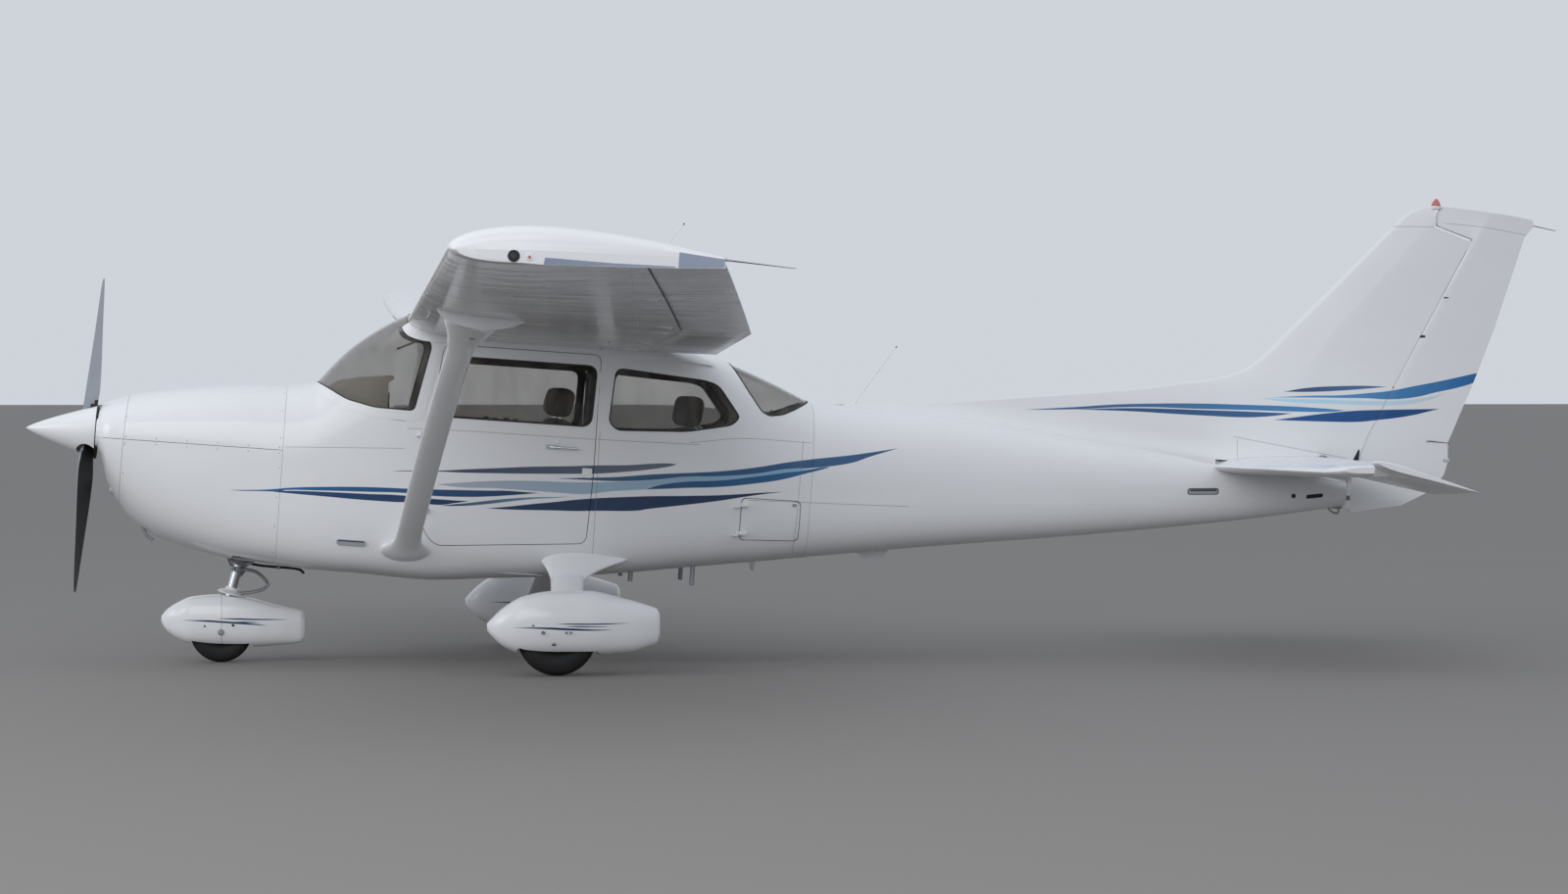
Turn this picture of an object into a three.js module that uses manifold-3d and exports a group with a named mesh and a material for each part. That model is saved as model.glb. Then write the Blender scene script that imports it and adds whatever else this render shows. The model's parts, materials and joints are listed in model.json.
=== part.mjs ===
// A four-seat light aircraft: high strutted wing, fixed tricycle gear with wheel fairings,
// two-bladed propeller. Millimetres; X runs aft, Y to the right side, Z up from the ground.
import * as THREE from "three";
import { mergeVertices } from "three/addons/utils/BufferGeometryUtils.js";
import Module from "manifold-3d";

const wasm = await Module();
wasm.setup();

// Driving dimensions
const PARKED_PITCH = 4; // degrees nose up on its gear
const FIREWALL_AHEAD = 320; // airframe datum behind the nose wheel's contact
const FRAME_SHIFT = -3089.3; // nose wheel contact to the middle of the length
const SEAT_GAP = 0.3; // between pieces that touch
const SURFACE_GAP = 7; // round the nose of a control surface
const SIDE_GAP = 8; // at the ends of a control surface
const HALF_SPAN = 5500;

// Fuselage
const WALL = 40;
const COWL_WALL = 12;
const TAIL_WALL = 7;
const SKIN = 7; // of the hollow tail and control surfaces
const GLASS = 6;
const FIREWALL_X = -70;
const CABIN_END_X = 2740;
const TAIL_END_X = 5740;
const FLOOR_Z = 560;
const BAGGAGE_FLOOR_Z = 775;
const COWL_SPLIT_Z = 1137;

// Columns: station x, half width, bottom z, top z, z of the widest line, power of the upper
// and of the lower superellipse. A higher power is squarer.
const COWL_STATIONS = [
  [-1040, 335, 1005, 1307, 1155, 2.3, 2.3],
  [-1010, 365, 975, 1324, 1150, 2.3, 2.3],
  [-959, 388, 895, 1348, 1147, 2.4, 2.3],
  [-903, 402, 789, 1366, 1144, 2.5, 2.4],
  [-838, 412, 704, 1383, 1140, 2.5, 2.6],
  [-734, 428, 630, 1405, 1135, 2.6, 2.9],
  [-582, 448, 580, 1430, 1125, 2.7, 3.3],
  [-303, 480, 539, 1463, 1100, 2.8, 4.2],
  [FIREWALL_X, 505, 522, 1482, 1080, 2.8, 5],
];
const CABIN_STATIONS = [
  [FIREWALL_X, 505, 522, 1482, 1080, 2.8, 5],
  [90, 520, 511, 1510, 1090, 3, 5.5],
  [270, 530, 510, 1699, 1100, 3.4, 6],
  [465, 535, 505, 1837, 1110, 4.2, 6],
  [545, 535, 501, 1880, 1110, 5, 6],
  [700, 535, 497, 1935, 1110, 9, 6],
  [1050, 537, 525, 1975, 1110, 12, 6],
  [1600, 535, 578, 1930, 1110, 12, 6],
  [2152, 492, 655, 1797, 1115, 6, 5],
  [2450, 438, 697, 1690, 1115, 4, 4.4],
  [CABIN_END_X, 385, 740, 1580, 1115, 3, 3.8],
];
const TAIL_STATIONS = [
  [CABIN_END_X, 385, 740, 1580, 1115, 3, 3.8],
  [3468, 302, 847, 1560, 1165, 2.6, 3.2],
  [4288, 214, 961, 1490, 1210, 2.4, 2.8],
  [5115, 128, 1093, 1425, 1250, 2.3, 2.5],
  [TAIL_END_X, 76, 1216, 1357, 1290, 2.2, 2.3],
];

// Windows and doors, as outlines of x and z seen from the side
const WINDSHIELD = [
  [72, 1514], [240, 1425], [390, 1392], [600, 1388], [672, 1741], [556, 1872], [540, 2050], [60, 2050],
];
const REAR_WINDOW = [
  [2190, 1860], [2264, 1730], [2453, 1523], [2503, 1484], [2571, 1492], [2696, 1577], [2715, 1640],
  [2715, 1860],
];
const REAR_SIDE_WINDOW = [
  [1668, 1358], [2043, 1376], [2285, 1426], [2329, 1473], [2202, 1636], [2133, 1658], [1640, 1692],
  [1620, 1400],
];
const DOOR = [
  [756, 689], [1547, 751], [1562, 1100], [1562, 1752], [732, 1752], [700, 1460], [650, 1100],
  [656, 900], [690, 757],
];
const DOOR_WINDOW = [[700, 1366], [1535, 1366], [1548, 1694], [778, 1694]];
const BAGGAGE_DOOR = [[2362, 822], [2690, 834], [2690, 1050], [2362, 1050]];
const DOOR_GAP = 7;
// Outside hinges. Columns: z of the knuckle's foot, x where its arm meets the door, x of the arm's end
const DOOR_HINGE = { x: 640, y: 549, skinY: 528, rows: [[865, 682, 708], [1265, 694, 720]] };
const BAGGAGE_HINGE = { x: 2352, y: 470, skinY: 428, rows: [[850, 2376, 2400], [1000, 2376, 2400]] };
const KNUCKLE = { radius: 9, pin: 4, height: 20 };

// Wing: columns span y, leading edge x, leading edge z, chord, incidence in degrees, and depth
// as a share of the section's own
const WING_STATIONS = [
  [500, 533, 1866, 1640, 2.3, 1],
  [2540, 525, 1944, 1600, 2.3, 1],
  [5300, 530, 2078, 1160, -1.8, 1.24],
  [5440, 536, 2086, 1146, -1.8, 1.22],
  [5485, 556, 2092, 1100, -1.8, 1.02],
  [HALF_SPAN, 590, 2098, 1020, -1.8, 0.72],
];
const CAMBER = 0.02;
const CAMBER_AT = 0.4;
const WING_THICKNESS = 0.12;
const CHORD_STEPS = [0, 0.012, 0.05, 0.13, 0.27, 0.45, 0.7, 1];
// Columns: inboard y, hinge x there, outboard y, hinge x there
const FLAP = [566, 1800, 2528, 1800];
const AILERON = [2556, 1808, 5280, 1392];
const EDGE = 4; // half thickness of a trailing edge
const HOLLOW_SHARE = 0.66; // of a surface's chord behind its hinge
const END_RIB = 16; // thickness of a closed end
const PIN_R = 6;

// Wing strut: columns y, centre x, centre z, chord, thickness
const STRUT_STATIONS = [
  [440, 596, 600, 270, 120],
  [560, 602, 664, 236, 88],
  [620, 608, 704, 150, 56],
  [760, 616, 790, 130, 48],
  [2300, 750, 1735, 130, 48],
  [2400, 762, 1800, 160, 56],
  [2500, 782, 1880, 300, 70],
];

// Tailplane, elevator, fin and rudder
const TAIL_HINGE = { x: 5600, z: 1440 };
const TAILPLANE_HALF_SPAN = 1727;
const ELEVATOR_DROOP = 12;
const HORN_FRONT_X = 5470;
const HORN_Y = 1600;
// Columns: y, leading edge x, leading edge z, half thickness at the hinge
const TAILPLANE_STATIONS = [
  [0, 4900, 1400, 38],
  [1600, 5205, 1418, 27],
  [1690, 5240, 1424, 22],
  [TAILPLANE_HALF_SPAN, 5300, 1430, 12],
];
// Columns: y, chord behind the hinge, half thickness at the hinge
const ELEVATOR_STATIONS = [
  [112, 90, 37],
  [265, 590, 36],
  [HORN_Y, 436, 27],
  [1690, 430, 24],
  [TAILPLANE_HALF_SPAN, 390, 14],
];
const TRIM_TAB = { inner: 330, outer: 930, chord: 112 };
const TORQUE_TUBE_R = 16;
const RUDDER_HINGE = { lowX: 5780, lowZ: 1450, highX: 6365, highZ: 2694 };
// Columns: z, leading edge x, trailing edge x, half thickness
const FIN_STATIONS = [
  [1340, 4670, 5900, 66],
  [1600, 4889, 6000, 60],
  [2780, 5872, 6480, 34],
  [2865, 5943, 6520, 30],
  [2900, 6030, 6400, 14],
];
const DORSAL = [
  [2900, 1500], [2930, 1582], [3428, 1628], [3977, 1699], [4528, 1779], [4804, 1834], [4999, 1875],
  [5135, 1931], [5241, 2021], [5345, 2147], [5345, 1300], [2900, 1400],
];
const DORSAL_HALF_THICKNESS = 26;
const RUDDER_OUTLINE = [
  [5756, 1186], [5800, 1190], [6142, 1258], [6270, 1335], [6330, 1425], [6330, 1560], [6432, 1995],
  [6657, 2821], [6711, 2858], [6700, 2882], [6425, 2891], [6153, 2912], [6146, 2797], [6372, 2745],
  [6326, 2712], [5700, 1400], [5756, 1372],
];
const RUDDER_HOLLOW = [
  [5775, 1100], [6200, 1100], [6240, 1345], [6230, 1560], [6330, 1995], [6530, 2620], [6350, 2620],
  [5800, 1500], [5800, 1420],
];
const FIN_HOLLOW = [[4850, 1250], [5500, 1250], [5500, 1520], [5690, 1520], [6200, 2600], [5860, 2600]];
// Horn pocket cut out of the fin's top
const FIN_HORN_CUT = [[6138, 3000], [6130, 2785], [6340, 2736], [6600, 2700], [6600, 3000]];

// Propeller
const SHAFT_Z = 1157;
const DISC_X = -1096;
const PROP_LEAN = 31; // degrees of the upper blade from vertical, to the right side
const SPINNER = { tipX: -1430, baseX: -1052, radius: 145, wall: 6, roundness: 1.25 };
// Columns: radius, chord, thickness, blade angle in degrees
const BLADE_STATIONS = [
  [60, 66, 60, 60],
  [150, 84, 44, 50],
  [260, 124, 28, 40],
  [450, 150, 20, 29],
  [700, 140, 14, 21],
  [880, 112, 9, 17],
  [965, 58, 5, 15],
];
const BLADE_HOLE_R = 62;
const HUB_R = 72;

// Landing gear, in the ground's frame
const MAIN_X = 1713;
const MAIN_Y = 1276;
const MAIN_TYRE = { radius: 203, width: 156, rim: 78 };
const NOSE_TYRE = { radius: 165, width: 122, rim: 64 };
const AXLE_R = 16;
const BORE_R = 16.5;
const FAIRING_WALL = 7;
const TYRE_CLEARANCE = 14;
// Columns: x from the axle, bottom z, top z, half width
const MAIN_FAIRING = [
  [-355, 232, 268, 12],
  [-325, 196, 300, 54],
  [-270, 148, 350, 90],
  [-166, 110, 407, 122],
  [-20, 104, 431, 134],
  [150, 103, 431, 134],
  [359, 122, 388, 104],
  [485, 158, 345, 62],
  [524, 190, 296, 20],
];
const NOSE_FAIRING = [
  [-316, 212, 246, 12],
  [-290, 172, 280, 44],
  [-234, 128, 318, 76],
  [-150, 96, 352, 104],
  [0, 84, 362, 112],
  [140, 80, 345, 106],
  [290, 88, 304, 80],
  [400, 104, 276, 42],
  [443, 130, 250, 14],
];
// Columns: y, centre x, centre z, chord, thickness
const MAIN_LEG_STATIONS = [
  [330, 1800, 575, 330, 150],
  [470, 1800, 512, 230, 90],
  [560, 1796, 478, 168, 58],
  [1120, 1722, 232, 118, 46],
  [1166, 1716, 208, 96, 60],
];
const OLEO = { lowX: 52, lowZ: 372, rake: 15.4 };
const BARREL = { outer: 36, low: 150, high: 640, blind: 300 };
const PISTON_R = 25;
const PISTON_SIDES = 20;

const RING_POINTS = 20;
const FAIRING_POINTS = 12;
const LATHE_SIDES = 18;
const BAR_SIDES = 12;
const PIN_SIDES = 8;
const BORE_DEEPER = 1;
const COLOURS = {
  white: 0xe6e8ec, skin: 0xdfe2e6, glass: 0x9fb6bf, tyre: 0x1b1b1c, rim: 0xb9bcc0, metal: 0x8c9095,
  dark: 0x35383c, seat: 0x8f8a82, panel: 0x2a2c30, blade: 0x6e7276, engine: 0x5b5f63,
};

// Vectors, solids and meshes
const degrees = (angle) => (angle * Math.PI) / 180;

function facesOfCap(ring) {
  const spread = [0, 1, 2].map((k) => {
    const values = ring.map((p) => p[k]);
    return Math.max(...values) - Math.min(...values);
  });
  const flat = spread.indexOf(Math.min(...spread));
  const [u, v] = [0, 1, 2].filter((k) => k !== flat);
  const outline = ring.map((p) => new THREE.Vector2(p[u], p[v]));
  const turn = Math.sign(THREE.ShapeUtils.area(outline));
  return THREE.ShapeUtils.triangulateShape(outline, []).map((face) => {
    const corners = face.map((i) => outline[i]);
    return Math.sign(THREE.ShapeUtils.area(corners)) === turn ? face : [face[0], face[2], face[1]];
  });
}

function solidFrom(points, faces) {
  const a = new THREE.Vector3();
  const b = new THREE.Vector3();
  const c = new THREE.Vector3();
  let volume = 0;
  for (const [i, j, k] of faces) {
    a.set(...points[i]);
    b.set(...points[j]);
    c.set(...points[k]);
    volume += a.dot(b.cross(c));
  }
  const turned = volume < 0 ? faces.map(([i, j, k]) => [i, k, j]) : faces;
  return new wasm.Manifold(
    new wasm.Mesh({
      numProp: 3,
      vertProperties: new Float32Array(points.flat()),
      triVerts: new Uint32Array(turned.flat()),
    }),
  );
}

// A skin through rings of the same number of points, closed by flat caps
function loft(rings) {
  const n = rings[0].length;
  const faces = [];
  for (let r = 0; r + 1 < rings.length; r++) {
    for (let i = 0; i < n; i++) {
      const a = r * n + i;
      const b = r * n + ((i + 1) % n);
      faces.push([a, b, b + n], [a, b + n, a + n]);
    }
  }
  const last = (rings.length - 1) * n;
  for (const [i, j, k] of facesOfCap(rings[0])) faces.push([i, k, j]);
  for (const [i, j, k] of facesOfCap(rings.at(-1))) faces.push([last + i, last + j, last + k]);
  return solidFrom(rings.flat(), faces);
}

function solidOf(geometry) {
  const bare = geometry.clone();
  bare.deleteAttribute("normal");
  bare.deleteAttribute("uv");
  const merged = mergeVertices(bare, 1e-3);
  const p = merged.attributes.position;
  const points = [];
  for (let i = 0; i < p.count; i++) points.push([p.getX(i), p.getY(i), p.getZ(i)]);
  const faces = [];
  for (let i = 0; i < merged.index.count; i += 3) {
    const face = [0, 1, 2].map((k) => merged.index.getX(i + k));
    if (new Set(face).size === 3) faces.push(face);
  }
  return solidFrom(points, faces);
}

function geometryOf(solid) {
  const { vertProperties, triVerts } = solid.getMesh();
  const geometry = new THREE.BufferGeometry();
  geometry.setAttribute("position", new THREE.BufferAttribute(new Float32Array(vertProperties), 3));
  geometry.setIndex(new THREE.BufferAttribute(new Uint32Array(triVerts), 1));
  geometry.computeVertexNormals();
  return geometry;
}

function moved(solid, matrix) {
  return solidOf(geometryOf(solid).applyMatrix4(matrix));
}

const union = (first, ...others) => others.reduce((sum, part) => sum.add(part), first);
const without = (first, ...others) => others.reduce((rest, part) => rest.subtract(part), first);

function box(x0, x1, y0, y1, z0, z1) {
  const geometry = new THREE.BoxGeometry(x1 - x0, y1 - y0, z1 - z0);
  return solidOf(geometry.translate((x0 + x1) / 2, (y0 + y1) / 2, (z0 + z1) / 2));
}

// A round bar between two points
function bar(from, to, radius, endRadius = radius, sides = BAR_SIDES) {
  const start = new THREE.Vector3(...from);
  const along = new THREE.Vector3(...to).sub(start);
  const geometry = new THREE.CylinderGeometry(endRadius, radius, along.length(), sides);
  geometry.translate(0, along.length() / 2, 0);
  const turn = new THREE.Quaternion().setFromUnitVectors(new THREE.Vector3(0, 1, 0), along.normalize());
  return solidOf(geometry.applyQuaternion(turn).translate(...from));
}

const pin = (from, to, radius, sides = PIN_SIDES) => bar(from, to, radius, radius, sides);

// The bore a pin turns in: its flats clear the pin's corners, and it is longer at both ends
function bore(from, to, radius, sides = PIN_SIDES) {
  const [start, end] = [from, to].map((point) => new THREE.Vector3(...point));
  const beyond = end.clone().sub(start).setLength(BORE_DEEPER);
  const wide = (radius + SEAT_GAP) / Math.cos(Math.PI / sides);
  return pin(start.sub(beyond).toArray(), end.add(beyond).toArray(), wide, sides);
}

// An outline in x and z with rounded corners
function outlineShape(points, rounding) {
  const corners = points.map(([x, z]) => new THREE.Vector2(x, z));
  const shape = new THREE.Shape();
  corners.forEach((corner, i) => {
    const before = corners.at(i - 1);
    const after = corners[(i + 1) % corners.length];
    const cut = Math.min(rounding, corner.distanceTo(before) / 2.2, corner.distanceTo(after) / 2.2);
    const start = corner.clone().lerp(before, cut / corner.distanceTo(before));
    const end = corner.clone().lerp(after, cut / corner.distanceTo(after));
    if (i === 0) shape.moveTo(start.x, start.y);
    else shape.lineTo(start.x, start.y);
    if (rounding > 0) shape.quadraticCurveTo(corner.x, corner.y, end.x, end.y);
  });
  shape.closePath();
  return shape;
}

// The outline run across the aircraft from y0 to y1
function acrossPrism(points, y0, y1, rounding = 0) {
  const options = { depth: y1 - y0, bevelEnabled: false, curveSegments: 3 };
  const geometry = new THREE.ExtrudeGeometry(outlineShape(points, rounding), options);
  return solidOf(geometry.rotateX(Math.PI / 2).translate(0, y1, 0));
}

// The outline drawn in by a distance on every side
function drawnIn(points, distance) {
  const turn = Math.sign(THREE.ShapeUtils.area(points.map(([x, z]) => new THREE.Vector2(x, z))));
  return points.map(([x, z], i) => {
    const [ax, az] = points.at(i - 1);
    const [bx, bz] = points[(i + 1) % points.length];
    const before = new THREE.Vector2(x - ax, z - az).normalize();
    const after = new THREE.Vector2(bx - x, bz - z).normalize();
    const inward = new THREE.Vector2(-before.y - after.y, before.x + after.x).multiplyScalar(turn);
    const half = inward.length() / 2;
    inward.normalize().multiplyScalar(distance / Math.max(half, 0.3));
    return [x + inward.x, z + inward.y];
  });
}

// Fuselage skins
function sectionRing([x, halfWidth, bottom, top, belt, upPower, lowPower], inset, count = RING_POINTS) {
  return Array.from({ length: count }, (_, i) => {
    const angle = (2 * Math.PI * (i + 0.5)) / count;
    const [c, s] = [Math.cos(angle), Math.sin(angle)];
    const power = 2 / (s > 0 ? upPower : lowPower);
    const height = s > 0 ? top - belt - inset : belt - bottom - inset;
    const y = (halfWidth - inset) * Math.sign(c) * Math.abs(c) ** power;
    return [x, y, belt + height * Math.sign(s) * Math.abs(s) ** power];
  });
}

function fuselageSkin(stations, inset, from, to) {
  const at = (x) => {
    const i = Math.max(1, stations.findIndex((row) => row[0] >= x));
    const [low, high] = [stations[i - 1], stations[i]];
    const share = (x - low[0]) / (high[0] - low[0]);
    return low.map((value, k) => (k === 0 ? x : value + share * (high[k] - value)));
  };
  const inside = stations.filter(([x]) => x > from && x < to);
  return loft([at(from), ...inside, at(to)].map((row) => sectionRing(row, inset)));
}

const cabinSolid = (grow) => fuselageSkin(CABIN_STATIONS, -grow, FIREWALL_X, CABIN_END_X);
const tailSolid = (grow) => fuselageSkin(TAIL_STATIONS, -grow, CABIN_END_X, TAIL_END_X);

// An ellipse in x and z at one y
function ellipseRing(y, x, z, chord, thickness, points = 16) {
  return Array.from({ length: points }, (_, i) => {
    const angle = (2 * Math.PI * i) / points;
    return [x + (chord / 2) * Math.cos(angle), y, z + (thickness / 2) * Math.sin(angle)];
  });
}

// Wing sections
function wingRow(y) {
  const i = Math.max(1, WING_STATIONS.findIndex((row) => row[0] >= y));
  const [low, high] = [WING_STATIONS[i - 1], WING_STATIONS[i]];
  const share = (y - low[0]) / (high[0] - low[0]);
  return low.map((value, k) => value + share * (high[k] - value));
}

function halfThickness(share) {
  const root = 0.2969 * Math.sqrt(share) - 0.126 * share - 0.3516 * share ** 2;
  return 5 * WING_THICKNESS * (root + 0.2843 * share ** 3 - 0.1015 * share ** 4);
}

function camberAt(share) {
  const ahead = share < CAMBER_AT;
  const scale = CAMBER / (ahead ? CAMBER_AT ** 2 : (1 - CAMBER_AT) ** 2);
  return scale * ((ahead ? 0 : 1 - 2 * CAMBER_AT) + 2 * CAMBER_AT * share - share ** 2);
}

function wingPoint([y, leadX, leadZ, chord, incidence, depth], share, up) {
  const along = share * chord;
  const above = chord * (camberAt(share) + up * depth * halfThickness(share));
  const edge = up * EDGE * share * Math.min(depth, 1);
  const turn = degrees(incidence);
  return [
    leadX + along * Math.cos(turn) + above * Math.sin(turn),
    y,
    leadZ - along * Math.sin(turn) + above * Math.cos(turn) + edge,
  ];
}

function wingRing(row) {
  const upper = CHORD_STEPS.toReversed().map((share) => wingPoint(row, share, 1));
  const lower = CHORD_STEPS.slice(1).map((share) => wingPoint(row, share, -1));
  return [...upper, ...lower];
}

// Height of the wing's middle, and half its depth, above a point x at span y
function wingDepth(y, x) {
  const row = wingRow(y);
  const share = (x - row[1]) / row[3];
  const [top, bottom] = [1, -1].map((up) => wingPoint(row, share, up)[2]);
  return { middle: (top + bottom) / 2, half: (top - bottom) / 2, edge: wingPoint(row, 1, 0) };
}

const mirrored = (rings, side) => rings.map((ring) => ring.map(([x, y, z]) => [x, side * y, z]));

// Section of a surface hinged inside its round nose: the hinge is at x and z
function hingedRing(y, x, z, radius, edgeX, edgeZ, edge = EDGE) {
  const ring = [];
  const steps = 8;
  for (let i = 0; i <= steps; i++) {
    const angle = Math.PI / 2 + (Math.PI * i) / steps;
    ring.push([x + radius * Math.cos(angle), y, z + radius * Math.sin(angle)]);
  }
  ring.push([edgeX, y, edgeZ - edge], [edgeX, y, edgeZ + edge]);
  return ring;
}

// The hollow inside that section
function hollowRing(y, x, z, radius, edgeX, edgeZ) {
  const at = (from, to) => from + HOLLOW_SHARE * (to - from);
  return hingedRing(y, x, z, radius - SKIN, at(x, edgeX), at(z, edgeZ), at(radius, EDGE) - SKIN);
}

// Room for that surface: its nose with the gap, and all that is behind it
function bayRing(y, x, z, radius, reach = 900) {
  const ring = [];
  const steps = 8;
  for (let i = 0; i <= steps; i++) {
    const angle = Math.PI / 2 + (Math.PI * i) / steps;
    ring.push([x + radius * Math.cos(angle), y, z + radius * Math.sin(angle)]);
  }
  ring.push([x + 1, y, z - 320], [x + reach, y, z - 320], [x + reach, y, z + 320], [x + 1, y, z + 320]);
  return ring;
}

// A flap or aileron: hollow, open at its inner end, with a bore for its pin at the outer
function wingSurface([y0, x0, y1, x1], side) {
  const rings = (ring, inner, outer) => mirrored([inner, outer].map((y) => {
    const x = x0 + ((x1 - x0) * (y - y0)) / (y1 - y0);
    const { middle, half, edge } = wingDepth(y, x);
    return ring(y, x, middle, half, edge[0], edge[2]);
  }), side);
  const hollow = loft(rings(hollowRing, y0 - 10, y1 - END_RIB));
  return without(loft(rings(hingedRing, y0, y1)), hollow, surfacePin([y0, x0, y1, x1], side, bore));
}

// The pin on the wing's rib at a surface's outer end, or its bore
function surfacePin([y0, x0, y1, x1], side, make) {
  const slope = (x1 - x0) / (y1 - y0);
  const at = (y) => {
    const x = x0 + slope * (y - y0);
    return [x, side * y, wingDepth(y, x).middle];
  };
  return make(at(y1 - END_RIB + 4), at(y1 + SIDE_GAP + 5), PIN_R);
}

function wingBayRings([y0, x0, y1, x1]) {
  const slope = (x1 - x0) / (y1 - y0);
  return [y0 - SIDE_GAP, y1 + SIDE_GAP].map((y) => {
    const x = x0 + slope * (y - y0);
    const { middle, half } = wingDepth(y, x);
    return bayRing(y, x, middle, half + SURFACE_GAP);
  });
}

function wingSolid(side) {
  return loft(mirrored(WING_STATIONS.map(wingRing), side));
}

function wing(side) {
  const bays = [FLAP, AILERON].map((surface) => loft(mirrored(wingBayRings(surface), side)));
  const pins = [FLAP, AILERON].map((surface) => surfacePin(surface, side, pin));
  return union(without(wingSolid(side), ...bays, cabinSolid(SEAT_GAP)), ...pins);
}

function strut(side) {
  const rings = STRUT_STATIONS.map(([y, x, z, chord, thickness]) => ellipseRing(y, x, z, chord, thickness));
  const wingWithGap = wingSolid(side).add(moved(wingSolid(side), new THREE.Matrix4().makeTranslation(0, 0, -SEAT_GAP)));
  return without(loft(mirrored(rings, side)), cabinSolid(SEAT_GAP), wingWithGap);
}

// Cowling in two halves round the engine
function cowlHalf(upper) {
  const [from, to] = [COWL_STATIONS[0][0], FIREWALL_X - SEAT_GAP];
  const shell = fuselageSkin(COWL_STATIONS, 0, from, to).subtract(
    fuselageSkin(COWL_STATIONS, COWL_WALL, from + COWL_WALL, FIREWALL_X),
  );
  const inlets = [-1, 1].map((side) => {
    const geometry = new THREE.CylinderGeometry(1, 1, 200, 20).rotateZ(Math.PI / 2).scale(1, 70, 55);
    return solidOf(geometry.translate(-1000, side * 235, 1160));
  });
  const scoop = box(-1040, -830, -105, 105, 800, 872);
  const gearHole = box(-345, FIREWALL_X - 20, -120, 120, 480, 620);
  const shaftHole = bar([-1100, 0, SHAFT_Z], [-1000, 0, SHAFT_Z], 75);
  const half = upper
    ? box(-1200, 0, -700, 700, COWL_SPLIT_Z + SEAT_GAP / 2, 1700)
    : box(-1200, 0, -700, 700, 300, COWL_SPLIT_Z - SEAT_GAP / 2);
  return without(shell, ...inlets, scoop, gearHole, shaftHole).intersect(half);
}

function engine() {
  const block = box(-840, -262, -330, 330, 860, 1260);
  const sump = box(-760, -400, -150, 150, 790, 870);
  const shaft = bar([-800, 0, SHAFT_Z], [DISC_X + 46 + SEAT_GAP, 0, SHAFT_Z], 50);
  const mounts = [-1, 1].flatMap((side) =>
    [940, 1200].map((z) => bar([-300, side * 180, z], [FIREWALL_X + 20, side * 340, z], 14, 14, 8)),
  );
  return union(block, sump, shaft, ...mounts).subtract(box(FIREWALL_X - SEAT_GAP, 100, -500, 500, 800, 1400));
}

function cabinShell() {
  const solid = fuselageSkin(CABIN_STATIONS, 0, FIREWALL_X, CABIN_END_X);
  return solid.subtract(cabinInside(0));
}

// The air inside the cabin, drawn in by a margin
function cabinInside(margin) {
  const room = fuselageSkin(CABIN_STATIONS, WALL + margin, FIREWALL_X + 25 + margin, CABIN_END_X - 30 - margin);
  return without(
    room,
    box(-300, 1700 + margin, -700, 700, 300, FLOOR_Z + margin),
    box(2240 - margin, 2900, -700, 700, 300, BAGGAGE_FLOOR_Z + margin),
  );
}

// The fixed half of each outside hinge: a foot on the skin and its pin
function hingeFeet({ x, y, skinY, rows }, side) {
  return rows.flatMap(([z]) => {
    const [near, far] = [side * skinY, side * (y + KNUCKLE.radius)].sort((a, b) => a - b);
    return [
      box(x - 28, x + 8, near, far, z - 8, z),
      pin([x, side * y, z - 4], [x, side * y, z + KNUCKLE.height + 2], KNUCKLE.pin),
    ];
  });
}

// The moving half: a knuckle bored for the pin, and an arm to the door
function hingeArms({ x, y, skinY, rows }, side) {
  return rows.map(([z, joinX, endX]) => {
    const [near, far] = [side * (y - 7), side * (y + 7)].sort((a, b) => a - b);
    const [deep, out] = [side * skinY, side * (y + 7)].sort((a, b) => a - b);
    const [low, high] = [z + SEAT_GAP, z + KNUCKLE.height];
    const arm = union(
      bar([x, side * y, low], [x, side * y, high], KNUCKLE.radius),
      box(x, endX, near, far, low, high),
      box(joinX, endX, deep, out, low, high),
    );
    return arm.subtract(bore([x, side * y, low - 5], [x, side * y, high + 5], KNUCKLE.pin));
  });
}

function cabin() {
  const feet = [...hingeFeet(DOOR_HINGE, -1), ...hingeFeet(DOOR_HINGE, 1), ...hingeFeet(BAGGAGE_HINGE, -1)];
  return union(cabinWithDoorways(), ...feet);
}

function cabinWithDoorways() {
  return without(
    cabinShell(),
    acrossPrism(WINDSHIELD, -700, 700, 30),
    acrossPrism(REAR_WINDOW, -700, 700, 20),
    acrossPrism(REAR_SIDE_WINDOW, -700, 700, 50),
    acrossPrism(DOOR, -700, 700, 45),
    acrossPrism(BAGGAGE_DOOR, -700, 0, 30),
  );
}

function glassPane(outline, y0, y1, rounding) {
  const thin = cabinSolid(-2).subtract(fuselageSkin(CABIN_STATIONS, GLASS + 2, FIREWALL_X, CABIN_END_X));
  return thin.intersect(acrossPrism(drawnIn(outline, SEAT_GAP + 0.2), y0, y1, rounding));
}

function door(side) {
  const [y0, y1] = side < 0 ? [-700, 0] : [0, 700];
  const leaf = cabinShell().intersect(acrossPrism(drawnIn(DOOR, DOOR_GAP), y0, y1, 40));
  return union(leaf.subtract(acrossPrism(DOOR_WINDOW, -700, 700, 60)), ...hingeArms(DOOR_HINGE, side));
}

function baggageDoor() {
  const leaf = cabinShell().intersect(acrossPrism(drawnIn(BAGGAGE_DOOR, DOOR_GAP), -700, 0, 30));
  return union(leaf, ...hingeArms(BAGGAGE_HINGE, -1));
}

function tailCone() {
  const inside = fuselageSkin(TAIL_STATIONS, TAIL_WALL, CABIN_END_X, TAIL_END_X - 60);
  const skin = fuselageSkin(TAIL_STATIONS, 0, CABIN_END_X + SEAT_GAP, TAIL_END_X);
  return union(skin.subtract(inside), rudderPin(pin));
}

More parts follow.
